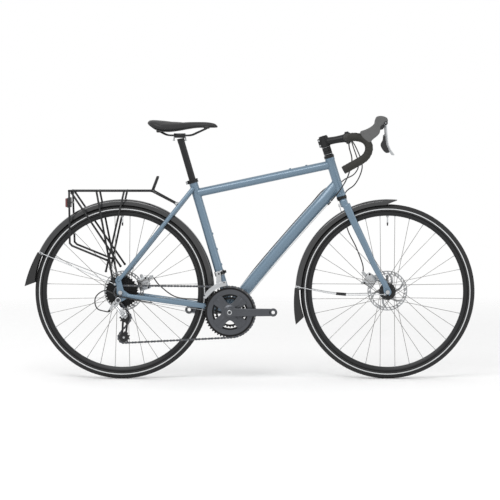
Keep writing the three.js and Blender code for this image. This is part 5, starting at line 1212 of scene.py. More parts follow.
def stem():
    foot = STEM_BOTTOM
    for high in (5, 10, 14, 5):
        top = foot + high - 0.25
        yield collar(on_steerer(foot), on_steerer(top), 17.5, STEERER_BORE, 48, 0.7)
        if high == 5:
            yield collar(on_steerer(top - 3), on_steerer(top - 1.6), 17.9, STEERER_BORE, 48, 0.3), 1
        foot += high
    yield lathe(sleeve_wall(STEERER_BORE, 19, 0, 39.8, 1), on_steerer(foot), STEER, 56)
    cap = [(0, 0), (17.5, 0), (17.5, 2.6), (15.6, 4.8), (6, 5), (5.4, 4), (0, 4)]
    yield lathe(cap, on_steerer(foot + 40), STEER, 48)
    yield bolt(on_steerer(foot + 43.6), STEER, 4.4, 2.2), 1
    for side in (-1, 1):
        yield block(on_steerer(foot + 20, -19, side * 6.3), (12, 10, 35), STEER_TURN, 2)
    for height in (10, 30):
        place = on_steerer(foot + height, -20.5)
        yield cross_rod(place, -11.4, 11.4, 2.6, 16), 1
        yield bolt(at_side(place, -11.2), -ACROSS, 4, 2.4), 1
    line = [STEM_PLACE + STEM_AHEAD * 8, STEM_PLACE.lerp(BAR_CENTRE, 0.5), BAR_CENTRE - STEM_AHEAD * 12]
    yield sweep(line, lambda share: [16.5 - waist * sin(pi * share) for waist in (1.6, 2.2)], 10, 48)
    rise = turn_of(STEM_AHEAD)
    for start in (93, -87):
        yield lathe(sleeve_wall(16.2, 21.5, -22, 22, 1), BAR_CENTRE, sides=40, start=rise + start, turn=174)
    for y in (-15, 15):
        for side in (-1, 1):
            place = BAR_CENTRE + STEM_UP * side * 20 + ACROSS * y
            yield rod(place - STEM_AHEAD * 9, place + STEM_AHEAD * 6.4, 4.6, 24, edge=1)
            yield bolt(place + STEM_AHEAD * 6.2, STEM_AHEAD, 3.4, 2.4), 1


HOOK_SHARES = ((0.3, 0.02), (0.62, -0.01), (0.86, -0.09), (1, -0.24), (1, -0.42))
HOOK_SHARES += ((0.85, -0.6), (0.58, -0.73), (0.25, -0.85), (-0.16, -1))
BAR_REACH, BAR_DROP, BAR_CORNER, BAR_FLARE = 83, 128, 46, 12
TAPE_START = 56


def bar_path(sizes, side, start=0.0):
    """One half's line from beside the stem to the end of the drop."""
    half = mm(sizes.bar_width) / 2
    line = [at_side(BAR_CENTRE, side * y) for y in (start, half * 0.4, half - BAR_CORNER)]
    line.append(at_side(BAR_CENTRE + FORWARD * BAR_CORNER * 0.22, side * (half - BAR_CORNER * 0.24)))
    for ahead, down in HOOK_SHARES:
        y = side * (half + BAR_FLARE * max(0, -down))
        line.append(at_side(BAR_CENTRE + FORWARD * BAR_REACH * ahead + UP * BAR_DROP * down, y))
    return line


def handlebar(sizes):
    radius = mm(sizes.bar_diameter) / 2
    for side in (-1, 1):
        yield sweep(bar_path(sizes, side), radius, 6, 32, carried=True)
    bulge = [(radius, -46), (radius + 1, -44.5), (15.7, -35), (15.9, -34)]
    yield lathe([*bulge, *mirrored(bulge), (radius - 3, 46), (radius - 3, -46)], BAR_CENTRE, sides=48)


def bar_tape(sizes, side):
    radius, pitch, lap = mm(sizes.tape_diameter) / 2, mm(sizes.tape_pitch), mm(sizes.tape_lap)
    line = bar_path(sizes, side, TAPE_START)
    along = (line[-1] - line[-2]).normalized()

    def wound(distance, turn):
        share = (distance / pitch + side * turn / (2 * pi)) % 1
        rise = share / 0.86 if share < 0.86 else (1 - share) / 0.14
        return lap * (rise - 1) * min(1, distance / 30)

    yield sweep(line, radius, 30, 30, carried=True, swell=wound)
    end = line[-1]
    plug = [(0, -2), (radius - 1, -2), (radius - 0.2, -0.6), (radius - 0.4, 1.4), (radius - 3, 3.2), (0, 3.8)]
    yield lathe(plug, end, along, 40), 1
    inner, outer = radius - 2, radius + 0.5
    cuff = [(inner, 0), (radius + 0.3, 0), (outer, 0.6), (outer, 14), (radius, 14.8), (inner, 14.8)]
    yield lathe(cuff, line[0] - ACROSS * side * 1.5, ACROSS * side, 48), 1


HOOD_SHARES = ((0.31, 0.257), (0.44, 0.36), (0.579, 0.5), (0.665, 0.664), (0.695, 0.925), (0.753, 1))
HOOD_SHARES += ((0.887, 0.995), (0.975, 0.908), (1, 0.777), (0.965, 0.66), (0.829, 0.554), (0.791, 0.185))
HOOD_SHARES += ((0.637, -0.076), (0.536, -0.29), (0.47, -0.18), (0.36, 0.02))


def softened(parts, voxel, rounds):
    """The parts made into one skin with soft edges, in millimetres."""
    points, faces, _ = gathered(parts)
    mesh = bpy.data.meshes.new("soft")
    mesh.from_pydata(points, [], faces)
    outward(mesh)
    thing = linked("soft", mesh)
    remesh = thing.modifiers.new("skin", "REMESH")
    remesh.mode = "VOXEL"
    remesh.voxel_size = voxel
    smooth = thing.modifiers.new("soft", "SMOOTH")
    smooth.factor = 0.5
    smooth.iterations = rounds
    evaluated = thing.evaluated_get(bpy.context.evaluated_depsgraph_get())
    result = evaluated.to_mesh()
    points, faces = [v.co.copy() for v in result.vertices], [tuple(p.vertices) for p in result.polygons]
    evaluated.to_mesh_clear()
    bpy.data.objects.remove(thing)
    bpy.data.meshes.remove(mesh)
    return points, faces


def hood(sizes, side):
    half = mm(sizes.bar_width) / 2
    wide = mm(sizes.hood_width)
    outline = [BAR_CENTRE + FORWARD * HOOD_REACH * x + UP * HOOD_RISE * z for x, z in HOOD_SHARES]
    points, faces = softened([plate(smooth_outline(outline, 4), wide, 0, 8, 3)], 2.2, 14)
    low, high = BAR_CENTRE.x + HOOD_REACH * 0.45, BAR_CENTRE.x + HOOD_REACH * 0.98
    for point in points:
        share = min(1, max(0, (point.x - low) / (high - low)))
        point.y = side * half + point.y * (1 - 0.16 * sin(pi * share) - 0.06 * share)
    yield points, faces
    pivot = at_side(LEVER_PIVOT, side * half)
    for end in (-1, 1):
        place = pivot + ACROSS * end * (wide / 2 - 2.2)
        yield rod(place, place + ACROSS * end * 1.6, 7.6, 36, edge=0.8), 1
        yield bolt(place + ACROSS * end * 1.2, ACROSS * end, 2.8, 1.2), 2
    nose = pivot + flat(1.5, 12.5)
    yield rod(nose - FORWARD * 3, nose + flat(4.6, 1.2), 8.5, 32, edge=1.6), 1
    low_edge = BAR_CENTRE + FORWARD * HOOD_REACH * 0.8 + UP * HOOD_RISE * 0.5
    chin = at_side(low_edge, side * half)
    yield block(chin + flat(7, -2), (20, wide * 0.6, 11), 15, 3, 3), 1


LEVER_SHARES = ((0, 0), (0.011, -0.22), (0.033, -0.456), (0.068, -0.677), (0.148, -0.852), (0.24, -0.976))
PADDLE_SHARES = ((-0.05, -0.34), (0.02, -0.34), (0.03, -0.46), (0.05, -0.58), (0.07, -0.69), (0.12, -0.81))
PADDLE_SHARES += ((0.105, -0.9), (0.06, -0.925), (-0.024, -0.875), (-0.12, -0.73), (-0.135, -0.635))
PADDLE_SHARES += ((-0.07, -0.5),)


def lever_line(sizes, side):
    reach, y = mm(sizes.lever_length), side * mm(sizes.bar_width) / 2
    return [at_side(LEVER_PIVOT, y) + flat(reach * x, reach * z) for x, z in LEVER_SHARES]


def brake_lever(sizes, side):
    line = lever_line(sizes, side)

    def halves(share):
        wide = mixed(13, 17, sin(pi * min(1, share * 1.1))) / 2
        return wide * (1 - 0.25 * max(0, share - 0.8) / 0.2), mixed(3.9, 3, share)

    yield sweep(line, halves, 12, 36, power=2.6, ends=3)
    yield cross_rod(line[0], line[0].y - 6.5, line[0].y + 6.5, 6, 32, 0.8)


def shift_paddle(sizes, side):
    reach, y = mm(sizes.lever_length), side * mm(sizes.bar_width) / 2
    line = lever_line(sizes, side)
    outline = []
    for x, z in PADDLE_SHARES:
        place = at_side(LEVER_PIVOT, y) + flat(reach * x, reach * z)
        level = [on_curve(line, k / 80) for k in range(81)]
        blade = min(level, key=lambda point: abs(point.z - place.z))
        place.x = min(place.x, blade.x - 5.4)
        outline.append(place)
    yield plate(smooth_outline(outline, 4), 9.6, y, 2, 3)
    top = at_side(LEVER_PIVOT, y) + flat(-reach * 0.03, -reach * 0.375)
    yield cross_rod(top, y - 5.6, y + 5.6, 2.2, 20), 1


# Drive
CHAIN_PLANE = -57
SPROCKETS = (11, 13, 15, 18, 21, 24, 28, 32)
JOCKEY_TEETH = 11
RING_STEP, SPROCKET_STEP, RING_BORES, RING_BOLTS = 7.5, 4.8, (71, 64, 50), 57
SPIDER_TURNS = (45, 135, 225, 315)


def pitch_radius(pitch, teeth):
    return pitch / (2 * sin(pi / teeth))


TOOTH = ((-0.13, -3.4), (0.13, -3.4), (0.29, -0.6), (0.42, 2.5), (0.58, 2.5), (0.71, -0.6))


def toothed(pitch, teeth, centre):
    radius = pitch_radius(pitch, teeth)
    points = [(360 * (i + at) / teeth, radius + out) for i in range(teeth) for at, out in TOOTH]
    return [around(centre, turn, reach) for turn, reach in points]


def toothed_ring(pitch, teeth, bore, thickness, centre, y, edge=0.35):
    outer = toothed(pitch, teeth, centre)
    return ring_plate(outer, round_outline(bore, len(outer), centre, -360 * 0.13 / teeth), thickness, y, edge)


def chainrings(sizes):
    pitch = mm(sizes.chain_pitch)
    counts = (sizes.outer_teeth, sizes.middle_teeth, sizes.inner_teeth)
    for k, teeth in enumerate(counts):
        y = CHAIN_PLANE + RING_STEP * k
        radius = pitch_radius(pitch, teeth)
        yield toothed_ring(pitch, teeth, RING_BORES[k], 2.2, BOTTOM_BRACKET, y), 1
        for turn in SPIDER_TURNS:
            near = around(BOTTOM_BRACKET, turn, 49, y)
            far = around(BOTTOM_BRACKET, turn, max(56, radius - 9), y)
            yield beam(near, far, 2 - 0.1 * k, 15, in_plane(turn + 90), 0.4), 1 if k else 0
    face = [round_outline(radius, 96, BOTTOM_BRACKET) for radius in (90.5, RING_BORES[0])]
    yield ring_plate(*face, 2.8, CHAIN_PLANE, 0.4)
    for turn in SPIDER_TURNS:
        place = around(BOTTOM_BRACKET, turn, RING_BOLTS)
        yield cross_rod(place, CHAIN_PLANE + 1, CHAIN_PLANE + 16.4, 4.5, 24), 2
        yield bolt(at_side(place, CHAIN_PLANE + 16), ACROSS, 5, 1.8), 2


def arm_outline(reach, ahead):
    """A crank from its boss towards its eye, drawn in at the middle."""
    boss_arc = [in_plane(60 + 10 * k) * 20 for k in range(25)]
    waist, last = reach * 0.45, reach - 8
    lower = [flat(waist * 0.5, -16.6), flat(waist, -15.4), flat(last, -14.6)]
    upper = [flat(place.x, -place.z) for place in reversed(lower)]
    return [BOTTOM_BRACKET + flat(place.x * ahead, place.z * ahead) for place in boss_arc + lower + upper]


def crank(sizes, side, ahead):
    reach = mm(sizes.crank_length)
    y = side * 75
    yield plate(arm_outline(reach, ahead), 14, y, 3, 4)
    eye = BOTTOM_BRACKET + FORWARD * ahead * reach
    yield lathe(sleeve_wall(7, 16.2, -7, 7, 1.6), at_side(eye, y), sides=48)
    cap = [(0, 0), (9.4, 0), (9.4, 0.8), (8.6, 1.2), (6, 1.2), (5.4, -0.4), (0, -0.4)]
    yield lathe(cap, at_side(BOTTOM_BRACKET, side * 82), ACROSS * side, 40), 1


SPIDER_ARM = ((-45, 33), (-36, 35), (-28, 41), (-23, 52), (-20, 66), (-17, 75), (17, 75), (20, 66))
SPIDER_ARM += ((23, 52), (28, 41), (36, 35))


def spider():
    """Four arms that grow out of the right crank's boss."""
    outline = []
    for turn in SPIDER_TURNS:
        for offset, radius in SPIDER_ARM:
            outline.append(around(BOTTOM_BRACKET, turn + offset, radius))
    yield plate(smooth_outline(outline, 4), 4, -60.4, 1.2, 3)
    for turn in SPIDER_TURNS:
        near, far = [around(BOTTOM_BRACKET, turn, radius, -61.9) for radius in (26, 72)]
        yield beam(near, far, 3, 11, in_plane(turn + 90), 1.4)
    rise = [(0, -58.6), (30, -61.6), (29, -63.2), (24, -65.4), (20, -68.4), (0, -68.4)]
    yield lathe(rise, BOTTOM_BRACKET, sides=64)
    yield cross_rod(BOTTOM_BRACKET, -68, 67.7, 11, 40)
    for turn in SPIDER_TURNS:
        yield bolt(around(BOTTOM_BRACKET, turn, RING_BOLTS, -62.1), -ACROSS, 4.2, 1.1, 24), 1


def cassette(sizes):
    pitch = mm(sizes.chain_pitch)
    for k, teeth in enumerate(SPROCKETS):
        y = CHAIN_PLANE + SPROCKET_STEP * (k - 1)
        radius = pitch_radius(pitch, teeth)
        bore = 15.3 if teeth < 21 else radius - 12
        yield toothed_ring(pitch, teeth, bore, 1.8, REAR_AXLE, y, 0.3)
        if teeth >= 21:
            for arm in range(5):
                turn = 72 * arm + 8 * k
                near, far = [around(REAR_AXLE, turn, r, y) for r in (16, bore + 2)]
                yield beam(near, far, 1.6, 9, in_plane(turn + 90), 0.3)
        if k:
            spacer = [(15.3, y - 4), (18.4, y - 4), (18.4, y - 0.8), (15.3, y - 0.8)]
            yield lathe(spacer, REAR_AXLE, sides=40), 1
    ring = [(9.6, -65), (13, -65), (14.6, -64.4), (14.6, -62.8), (9.6, -62.8)]
    yield lathe(ring, REAR_AXLE, sides=40), 1
    for k in range(12):
        place = around(REAR_AXLE, 30 * k, 10.2, -64)
        yield beam(place - ACROSS, place + ACROSS, 1.4, 1.6, in_plane(30 * k), 0.3), 1


def chain_loop(pitch, outer_teeth):
    """The chain's line round the ring, the sprocket and both jockey wheels."""
    stops = [
        (BOTTOM_BRACKET, pitch_radius(pitch, outer_teeth), 1),
        (REAR_AXLE, pitch_radius(pitch, SPROCKETS[1]), 1),
        (UPPER_JOCKEY, pitch_radius(pitch, JOCKEY_TEETH), -1),
        (LOWER_JOCKEY, pitch_radius(pitch, JOCKEY_TEETH), 1),
    ]
    turns = []
    for (a, radius_a, sense_a), (b, radius_b, sense_b) in zip(stops, stops[1:] + stops[:1]):
        run, swap = b - a, sense_b * radius_b - sense_a * radius_a
        straight = sqrt(run.length_squared - swap**2)
        turns.append(degrees(atan2(run.z, run.x) - atan2(swap, straight)))
    line = []
    for i, (centre, radius, sense) in enumerate(stops):
        arriving, leaving = turns[i - 1], turns[i]
        swing = ((leaving - arriving) * sense) % 360
        for k in range(41):
            line.append(around(centre, arriving - sense * 90 + sense * swing * k / 40, radius))
    return line


def spaced(line, pitch):
    """Places along a closed line an even number of pitches apart."""
    gaps = [(line[(i + 1) % len(line)] - place).length for i, place in enumerate(line)]
    count = 2 * round(sum(gaps) / pitch / 2)
    step = sum(gaps) / count
    places, walked, i = [], 0.0, 0
    for k in range(count):
        while walked + gaps[i] < k * step:
            walked += gaps[i]
            i += 1
        places.append(line[i].lerp(line[(i + 1) % len(line)], (k * step - walked) / gaps[i]))
    return places


def link_outline(a, b, half):
    ahead = (b - a).normalized()
    turn = turn_of(ahead)
    side = flat(-ahead.z, ahead.x) * half * 0.72
    middle = a.lerp(b, 0.5)
    rear = [around(a, turn + 60 + 30 * k, half) for k in range(9)]
    front = [around(b, turn - 120 + 30 * k, half) for k in range(9)]
    return rear + [middle - side] + front + [middle + side]


def chain(sizes):
    pitch = mm(sizes.chain_pitch)
    places = spaced(chain_loop(pitch, sizes.outer_teeth), pitch)
    for k, place in enumerate(places):
        after = places[(k + 1) % len(places)]
        away, half = (3.05, 4.2) if k % 2 else (2.0, 3.9)
        for side in (-1, 1):
            yield plate(link_outline(place, after, half), 0.9, CHAIN_PLANE + side * away), k % 2
        yield cross_rod(place, CHAIN_PLANE - 1.5, CHAIN_PLANE + 1.5, 3.8, 12, 0.2), 1
        yield cross_rod(place, CHAIN_PLANE - 3.9, CHAIN_PLANE + 3.9, 1.7, 10, 0.3), 1


# Derailleurs
LINK_START = joint_place("derailleur_swing")
LINK_END = joint_place("derailleur_level")
LINK_LINE = (LINK_END - LINK_START).normalized()
SWING_AXIS = joint_axis("derailleur_level")
LINK_UPRIGHT = SWING_AXIS.cross(LINK_LINE)
CAGE_PIVOT = LINK_END + LINK_LINE * 11.4
REAR_SHIFT_STOP = Vector((LINK_START.x - 28, -80, LINK_START.z - 22))


def clevis(centre, reach):
    """Two ears and the block that joins them, round a barrel."""
    near, far = centre - LINK_LINE * reach * 6, centre + LINK_LINE * reach * 14
    for side in (-1, 1):
        offset = SWING_AXIS * side * 11
        yield beam(near + offset, far + offset, 3.4, 12, LINK_UPRIGHT, 1.4)
        end = centre + SWING_AXIS * side * 12.7
        yield bolt(end, SWING_AXIS * side, 3.6, 1), 1
    yield beam(centre + LINK_LINE * reach * 6.6, far, 25, 12, LINK_UPRIGHT, 1.6)


def derailleur_mount():
    y = -79.3
    yield from clevis(LINK_START, -1)
    back = LINK_START - LINK_LINE * 10
    low = at_side(back + flat(2, 6), y)
    neck = at_side(HANGER, y).lerp(low, 0.55)
    arm = capsule(at_side(HANGER, y), neck, 11.5, 8)
    yield plate(arm, 9, y, 2.4, 3)
    yield bolt(at_side(HANGER, y - 4.2), -ACROSS, 7.6, 2.8, 32), 1
    reach = capsule(at_side(back + flat(-4, 2), y), REAR_SHIFT_STOP, 5, 5)
    yield plate(reach, 7, y + 1, 2, 3)
    stop = REAR_SHIFT_STOP
    yield rod(stop + flat(-5, -4), stop + flat(3, 2.4), 4.4, 16, edge=0.6), 2


def derailleur_link():
    for place in (LINK_START, LINK_END):
        yield rod(place - SWING_AXIS * 9, place + SWING_AXIS * 9, 6, 28, edge=0.8)
    for side in (-1, 1):
        offset = SWING_AXIS * side * 6.6
        yield beam(LINK_START + offset, LINK_END + offset, 4.6, 8.6, LINK_UPRIGHT, 1.2)
    yield beam(LINK_START, LINK_END, 10, 4.6, LINK_UPRIGHT, 1.2)


def derailleur_knuckle():
    yield from clevis(LINK_END, 1)
    barrel = [(0, 0), (7.2, 0), (8, 0.8), (8, 13), (9, 14), (9, 21), (8.2, 22), (0, 22)]
    yield lathe(barrel, at_side(CAGE_PIVOT, -85.7), sides=40)
    yield bolt(at_side(CAGE_PIVOT, -85.4), -ACROSS, 5, 1.6), 1


def derailleur_cage():
    ahead = (LOWER_JOCKEY - UPPER_JOCKEY).normalized()
    outer = capsule(UPPER_JOCKEY, LOWER_JOCKEY, 13, 10)
    inner = capsule(UPPER_JOCKEY + ahead * 19, LOWER_JOCKEY - ahead * 17, 5, 4)
    for side in (-1, 1):
        yield ring_plate(outer, inner, 2, CHAIN_PLANE + side * 5.4, 0.5)
    for place in (UPPER_JOCKEY, LOWER_JOCKEY):
        yield cross_rod(place, CHAIN_PLANE - 5.4, CHAIN_PLANE + 5.4, 3, 20), 1
        yield bolt(at_side(place, CHAIN_PLANE - 6.2), -ACROSS, 4.4, 1.8), 1


def jockey_wheel(sizes, place):
    pitch = mm(sizes.chain_pitch)
    yield toothed_ring(pitch, JOCKEY_TEETH, 8, 2.2, place, CHAIN_PLANE, 0.4)
    hub_line = [(3.9, -4), (7.2, -4), (8.4, -2.4), (8.4, 2.4), (7.2, 4), (3.9, 4)]
    yield lathe(hub_line, at_side(place, CHAIN_PLANE), sides=36)
    yield lathe([(3.9, -3.9), (5.4, -3.9), (5.4, 3.9), (3.9, 3.9)], at_side(place, CHAIN_PLANE), sides=30), 1


FRONT_CLAMP = on_seat_tube(158)


def front_derailleur():
    band = [(CLAMP_BORE, -9), (19.8, -9), (20.3, -8.4)]
    yield lathe(band + mirrored(band), FRONT_CLAMP, SEAT, 56), 1
    yield block(at_side(FRONT_CLAMP, -26.6), (30, 14, 20), SEAT_TURN, 3, 3)
    yield block(at_side(FRONT_CLAMP, -33) + SEAT_AHEAD * 9, (12, 8, 14), SEAT_TURN, 2.4, 3), 1
    yield cross_rod(FRONT_CLAMP, -53, -30, 3.5, 24), 1
    yield bolt(at_side(FRONT_CLAMP, -53), -ACROSS, 3.4, 0.8), 1
    ear = FRONT_CLAMP + SEAT_AHEAD * 22.5
    for side in (-1, 1):
        yield block(at_side(ear, side * 4), (9, 5.6, 11), SEAT_TURN, 1.2), 1
    yield bolt(at_side(ear, -6.8), -ACROSS, 3.6, 2), 1
    anchor = on_seat_tube(146, -8, -27)
    yield rod(anchor - SEAT * 3, anchor + SEAT * 3, 3.4, 20), 1


def front_cage():
    outer, inner = [], []
    for k in range(15):
        turn, drawn = mixed(97, 151, k / 14), 3.2 * (max(0, k - 10) / 4) ** 2
        outer.append(around(BOTTOM_BRACKET, turn, 124 - drawn))
        inner.append(around(BOTTOM_BRACKET, turn, 106 + drawn))
    for side in (-1, 1):
        yield plate(outer + inner[::-1], 1.4, CHAIN_PLANE + side * 5.3, 0.35)
    for turn in (101, 147):
        place = around(BOTTOM_BRACKET, turn, 121)
        yield cross_rod(place, CHAIN_PLANE - 6, CHAIN_PLANE + 6, 2.2, 16)
        yield bolt(at_side(place, CHAIN_PLANE - 5.9), -ACROSS, 3.4, 1.1), 1
    foot = BOTTOM_BRACKET.z + 112
    top = FRONT_CLAMP.z + 10.6
    middle = Vector((FRONT_CLAMP.x, -51, (foot + top) / 2))
    corners = ((-11, -1), (11, -1), (8, 0.4), (5, 1), (-7, 1), (-10, 0.2))
    outline = [middle + flat(x, z * (top - foot) / 2) for x, z in corners]
    hole = [at_side(FRONT_CLAMP, -51) + in_plane(60 * k - 120) * 3.9 for k in range(6)]
    yield ring_plate(outline, hole, 1.8, -51, 0.3)


# Brakes: angle and distance from the axle, angle to the cable stop, angle of the arm
CALIPERS = {"front": (149, 80, 134, 200), "rear": (18.5, 84, 44, 110)}
STOP_REACH, ARM_REACH, ARM_CLEAR = 42, 34, 20.8


def caliper_place(end):
    turn, reach, _, _ = CALIPERS[end]
    return around(AXLES[end], turn, reach)


def cable_stop(end, y=0):
    return around(caliper_place(end), CALIPERS[end][2], STOP_REACH, y)


def arm_tip(end, y=0):
    return around(caliper_place(end), CALIPERS[end][3], ARM_REACH, y)


def caliper(end):
    """Two halves that clasp the disc, their bridge with cooling fins, the bolts and the cable's barrel."""
    axle, disc_y, turn = AXLES[end], DISC_PLANE[end], CALIPERS[end][0]
    centre, stop = caliper_place(end), cable_stop(end)
    out = in_plane(turn)
    round_turn = flat(-out.z, out.x)
    yield block(at_side(centre, disc_y - 6.8), (45, 9, 50), turn, 3, 3)
    yield block(at_side(centre, disc_y + 10.4), (45, 16, 50), turn, 3.6, 3)
    yield block(around(axle, turn, 93.6, disc_y + 3), (18.6, 24, 40), turn, 2.6, 3)
    for k in range(5):
        rib = at_side(centre + round_turn * (8 * k - 16), disc_y + 4)
        yield beam(rib + out * 14, rib + out * 25, 3, 5, ACROSS, 0.8), 1
    yield plate(capsule(centre.lerp(stop, 0.5), stop, 6.5, 6), 13, disc_y + 18.5, 2.4, 3)
    for side in (-1, 1):
        place = centre + round_turn * side * 20 + out * 15
        yield bolt(at_side(place, disc_y - 11), -ACROSS, 4, 2.4), 1
    axis = in_plane(turn_of(stop - centre))
    barrel = at_side(stop, disc_y + 20.5)
    yield rod(barrel - axis * 7, barrel + axis * 5, 4.4, 20, edge=0.8), 1


def caliper_arm(end):
    centre, tip, y = caliper_place(end), arm_tip(end), DISC_PLANE[end] + ARM_CLEAR
    yield plate(capsule(centre, tip, 8, 6), 4, y, 1, 2)
    yield bolt(at_side(centre, y + 1.9), ACROSS, 5.4, 2.2), 1
    yield cross_rod(tip, y, y + 4.4, 4, 20), 1
    yield bolt(at_side(tip, y + 4.2), ACROSS, 3.2, 2), 1


# Saddle and seatpost
SADDLE_STATIONS = (
    (0, 0.45, 0.977, 0.75), (0.03, 0.75, 1.16, 0.57), (0.12, 0.98, 1.16, 0.2), (0.2, 1, 1.045, 0.045),
    (0.3, 0.9, 0.977, 0.02), (0.42, 0.66, 0.943, 0.11), (0.55, 0.43, 0.966, 0.25), (0.7, 0.3, 0.99, 0.39),
    (0.85, 0.25, 0.977, 0.41), (0.95, 0.2, 0.864, 0.41), (1, 0.1, 0.61, 0.43),
)
POST_HEAD = on_seat_tube(726)
RAIL_HEIGHT = POST_HEAD.z + 6
SADDLE_TOP, SADDLE_DEPTH, RAIL_Y = 1027, 44, 22


def saddle_station(share):
    """Half the width and the upper and lower heights at a share of the length."""
    stations = [Vector((at, width, top)) for at, width, top, _ in SADDLE_STATIONS]
    lows = [Vector((at, low, 0)) for at, _, _, low in SADDLE_STATIONS]
    spans = len(stations) - 1
    k = min(spans - 1, max(i for i in range(len(stations)) if stations[i].x <= share + 1e-6))
    weight = (share - stations[k].x) / (stations[k + 1].x - stations[k].x)
    found, low = on_curve(stations, (k + weight) / spans), on_curve(lows, (k + weight) / spans)
    return found.y, found.z, low.y


def saddle_x(sizes, share):
    return POST_HEAD.x + mm(sizes.saddle_length) * (share - 0.454)


def saddle_ring(sizes, share, inset, sides=40):
    """A section of the cover: crowned above, drawn in at the sides and flat below."""
    width, top, low = saddle_station(share)
    half = mm(sizes.saddle_width) / 2 * width - inset
    upper = SADDLE_TOP - SADDLE_DEPTH * (1 - top) - inset
    lower = SADDLE_TOP - SADDLE_DEPTH * (1 - low) + inset * 0.3
    x = saddle_x(sizes, share)
    ring = []
    for i in range(sides):
        turn = 2 * pi * (i + 0.5) / sides
        c, s = cos(turn), sin(turn)
        y = copysign(abs(c) ** 0.72, c) * half
        if s > 0:
            dip = 2.2 * exp(-((y / (half * 0.3 + 3)) ** 2)) * min(1, width * 1.4) if share < 0.55 else 0
            z = mixed(lower, upper, 0.42 + 0.58 * s**0.9) - dip
        else:
            z = mixed(lower, upper, 0.42 - 0.42 * abs(s) ** 0.5)
            y *= 1 - 0.1 * abs(s)
        ring.append(Vector((x, y, z)))
    return ring


def saddle_cover(sizes):
    shares = [0.004, 0.012, 0.025] + [0.05 + 0.03 * k for k in range(31)] + [0.965, 0.98, 0.99, 0.997]
    return skin([saddle_ring(sizes, share, 2.2) for share in shares])


def baked(piece):
    """Give the piece the mesh that its modifiers make."""
    made = piece.evaluated_get(bpy.context.evaluated_depsgraph_get())
    old, piece.data = piece.data, bpy.data.meshes.new_from_object(made)
    piece.modifiers.clear()
    bpy.data.meshes.remove(old)


def swollen(sizes, piece, steps=16):
    """Swell the cover with a cloth simulation and keep its seam where the shell is."""
    remesh = piece.modifiers.new("skin", "REMESH")
    remesh.mode = "VOXEL"
    remesh.voxel_size = 4.5 * MM
    baked(piece)
    before = [v.co.copy() for v in piece.data.vertices]
    cloth = piece.modifiers.new("padding", "CLOTH")
    cloth.settings.use_pressure = True
    cloth.settings.uniform_pressure_force = sizes.pressure
    cloth.settings.effector_weights.gravity = 0
    cloth.settings.mass = 0.15
    cloth.settings.tension_stiffness = 30
    cloth.settings.compression_stiffness = 30
    held = piece.vertex_groups.new(name="held")
    floor = [v.index for v in piece.data.vertices if v.normal.z < -0.35]
    held.add(floor, 1.0, "REPLACE")
    cloth.settings.vertex_group_mass = "held"
    scene = bpy.context.scene
    cloth.point_cache.frame_start, cloth.point_cache.frame_end = 1, steps
    for step in range(1, steps + 1):
        scene.frame_set(step)
    baked(piece)
    scene.frame_set(1)
    for vertex, rest in zip(piece.data.vertices, before):
        move = vertex.co - rest
        if move.length > sizes.swell:
            vertex.co = rest + move.normalized() * sizes.swell


RAIL_STEPS = ((-79, 1.4, 15.4), (-58, 1.2, 4.2), (-44, 1, 0), (0, 1, 0), (44, 1, 0), (72, 0.9, 11.2))
RAIL_STEPS += ((107, 0.5, 27.3),)
SHELL_SECTION = ((-1, 2.6), (-1, 0.6), (-0.8, -0.8), (-0.4, -1.4), (0, -1.6))
SHELL_SECTION += tuple((-y, z) for y, z in SHELL_SECTION[-2::-1])


def rail_path(side):
    return [Vector((POST_HEAD.x + x, side * RAIL_Y * wide, RAIL_HEIGHT + up)) for x, wide, up in RAIL_STEPS]


def saddle_base(sizes):
    rings = []
    for k in range(34):
        share = 0.035 + 0.028 * k
        width, _, low = saddle_station(share)
        half = mm(sizes.saddle_width) / 2 * width * 0.86
        floor = SADDLE_TOP - SADDLE_DEPTH * (1 - low)
        x = saddle_x(sizes, share)
        rings.append([Vector((x, half * y, floor + 2 + z)) for y, z in SHELL_SECTION])
    yield skin(rings)
    for side in (-1, 1):
        line = rail_path(side)
        yield sweep(line, 3.5, 9, 24, carried=True, ends=2), 1
        for place, size in ((line[0], (24, 16, 15)), (line[-1], (22, 12, 13))):
            yield block(place + UP * 4, size, 10, 3, 3)


def seatpost(sizes):
    radius = mm(sizes.post_diameter) / 2
    wall = [(radius - 3, 0), (radius, 0), (radius, 303), (radius - 3, 303)]
    yield lathe(wall, on_seat_tube(400), SEAT, 48)
    neck = [on_seat_tube(695), on_seat_tube(706), on_seat_tube(718, 1)]
    yield sweep(neck, lambda share: (mixed(radius, 19, share**2), mixed(radius, 15, share)), 6, 40, power=2.2)
    cradle = at_side(POST_HEAD, 0) + flat(0, 0.5)
    yield block(cradle, (40, 54, 10), 0, 3, 3)
    yield block(cradle + UP * 9.4, (32, 57, 6.4), 0, 2.4, 3)
    for side in (-1, 1):
        place = Vector((POST_HEAD.x, side * RAIL_Y, RAIL_HEIGHT))
        yield lathe([(3.8, -21), (6.4, -21), (7, -20), (7, 20), (6.4, 21), (3.8, 21)], place, FORWARD, 32)
    for x in (-24, 24):
        place = POST_HEAD + flat(x, -14)
        yield rod(place, place + flat(x * -0.14, 28), 3, 16), 1
        yield bolt(place + UP, -UP, 4.6, 3.4), 1


# Mudguards
GUARD_SIDE, GUARD_WALL, GUARD_STAY_REACH = 345, 1.8, 359.5


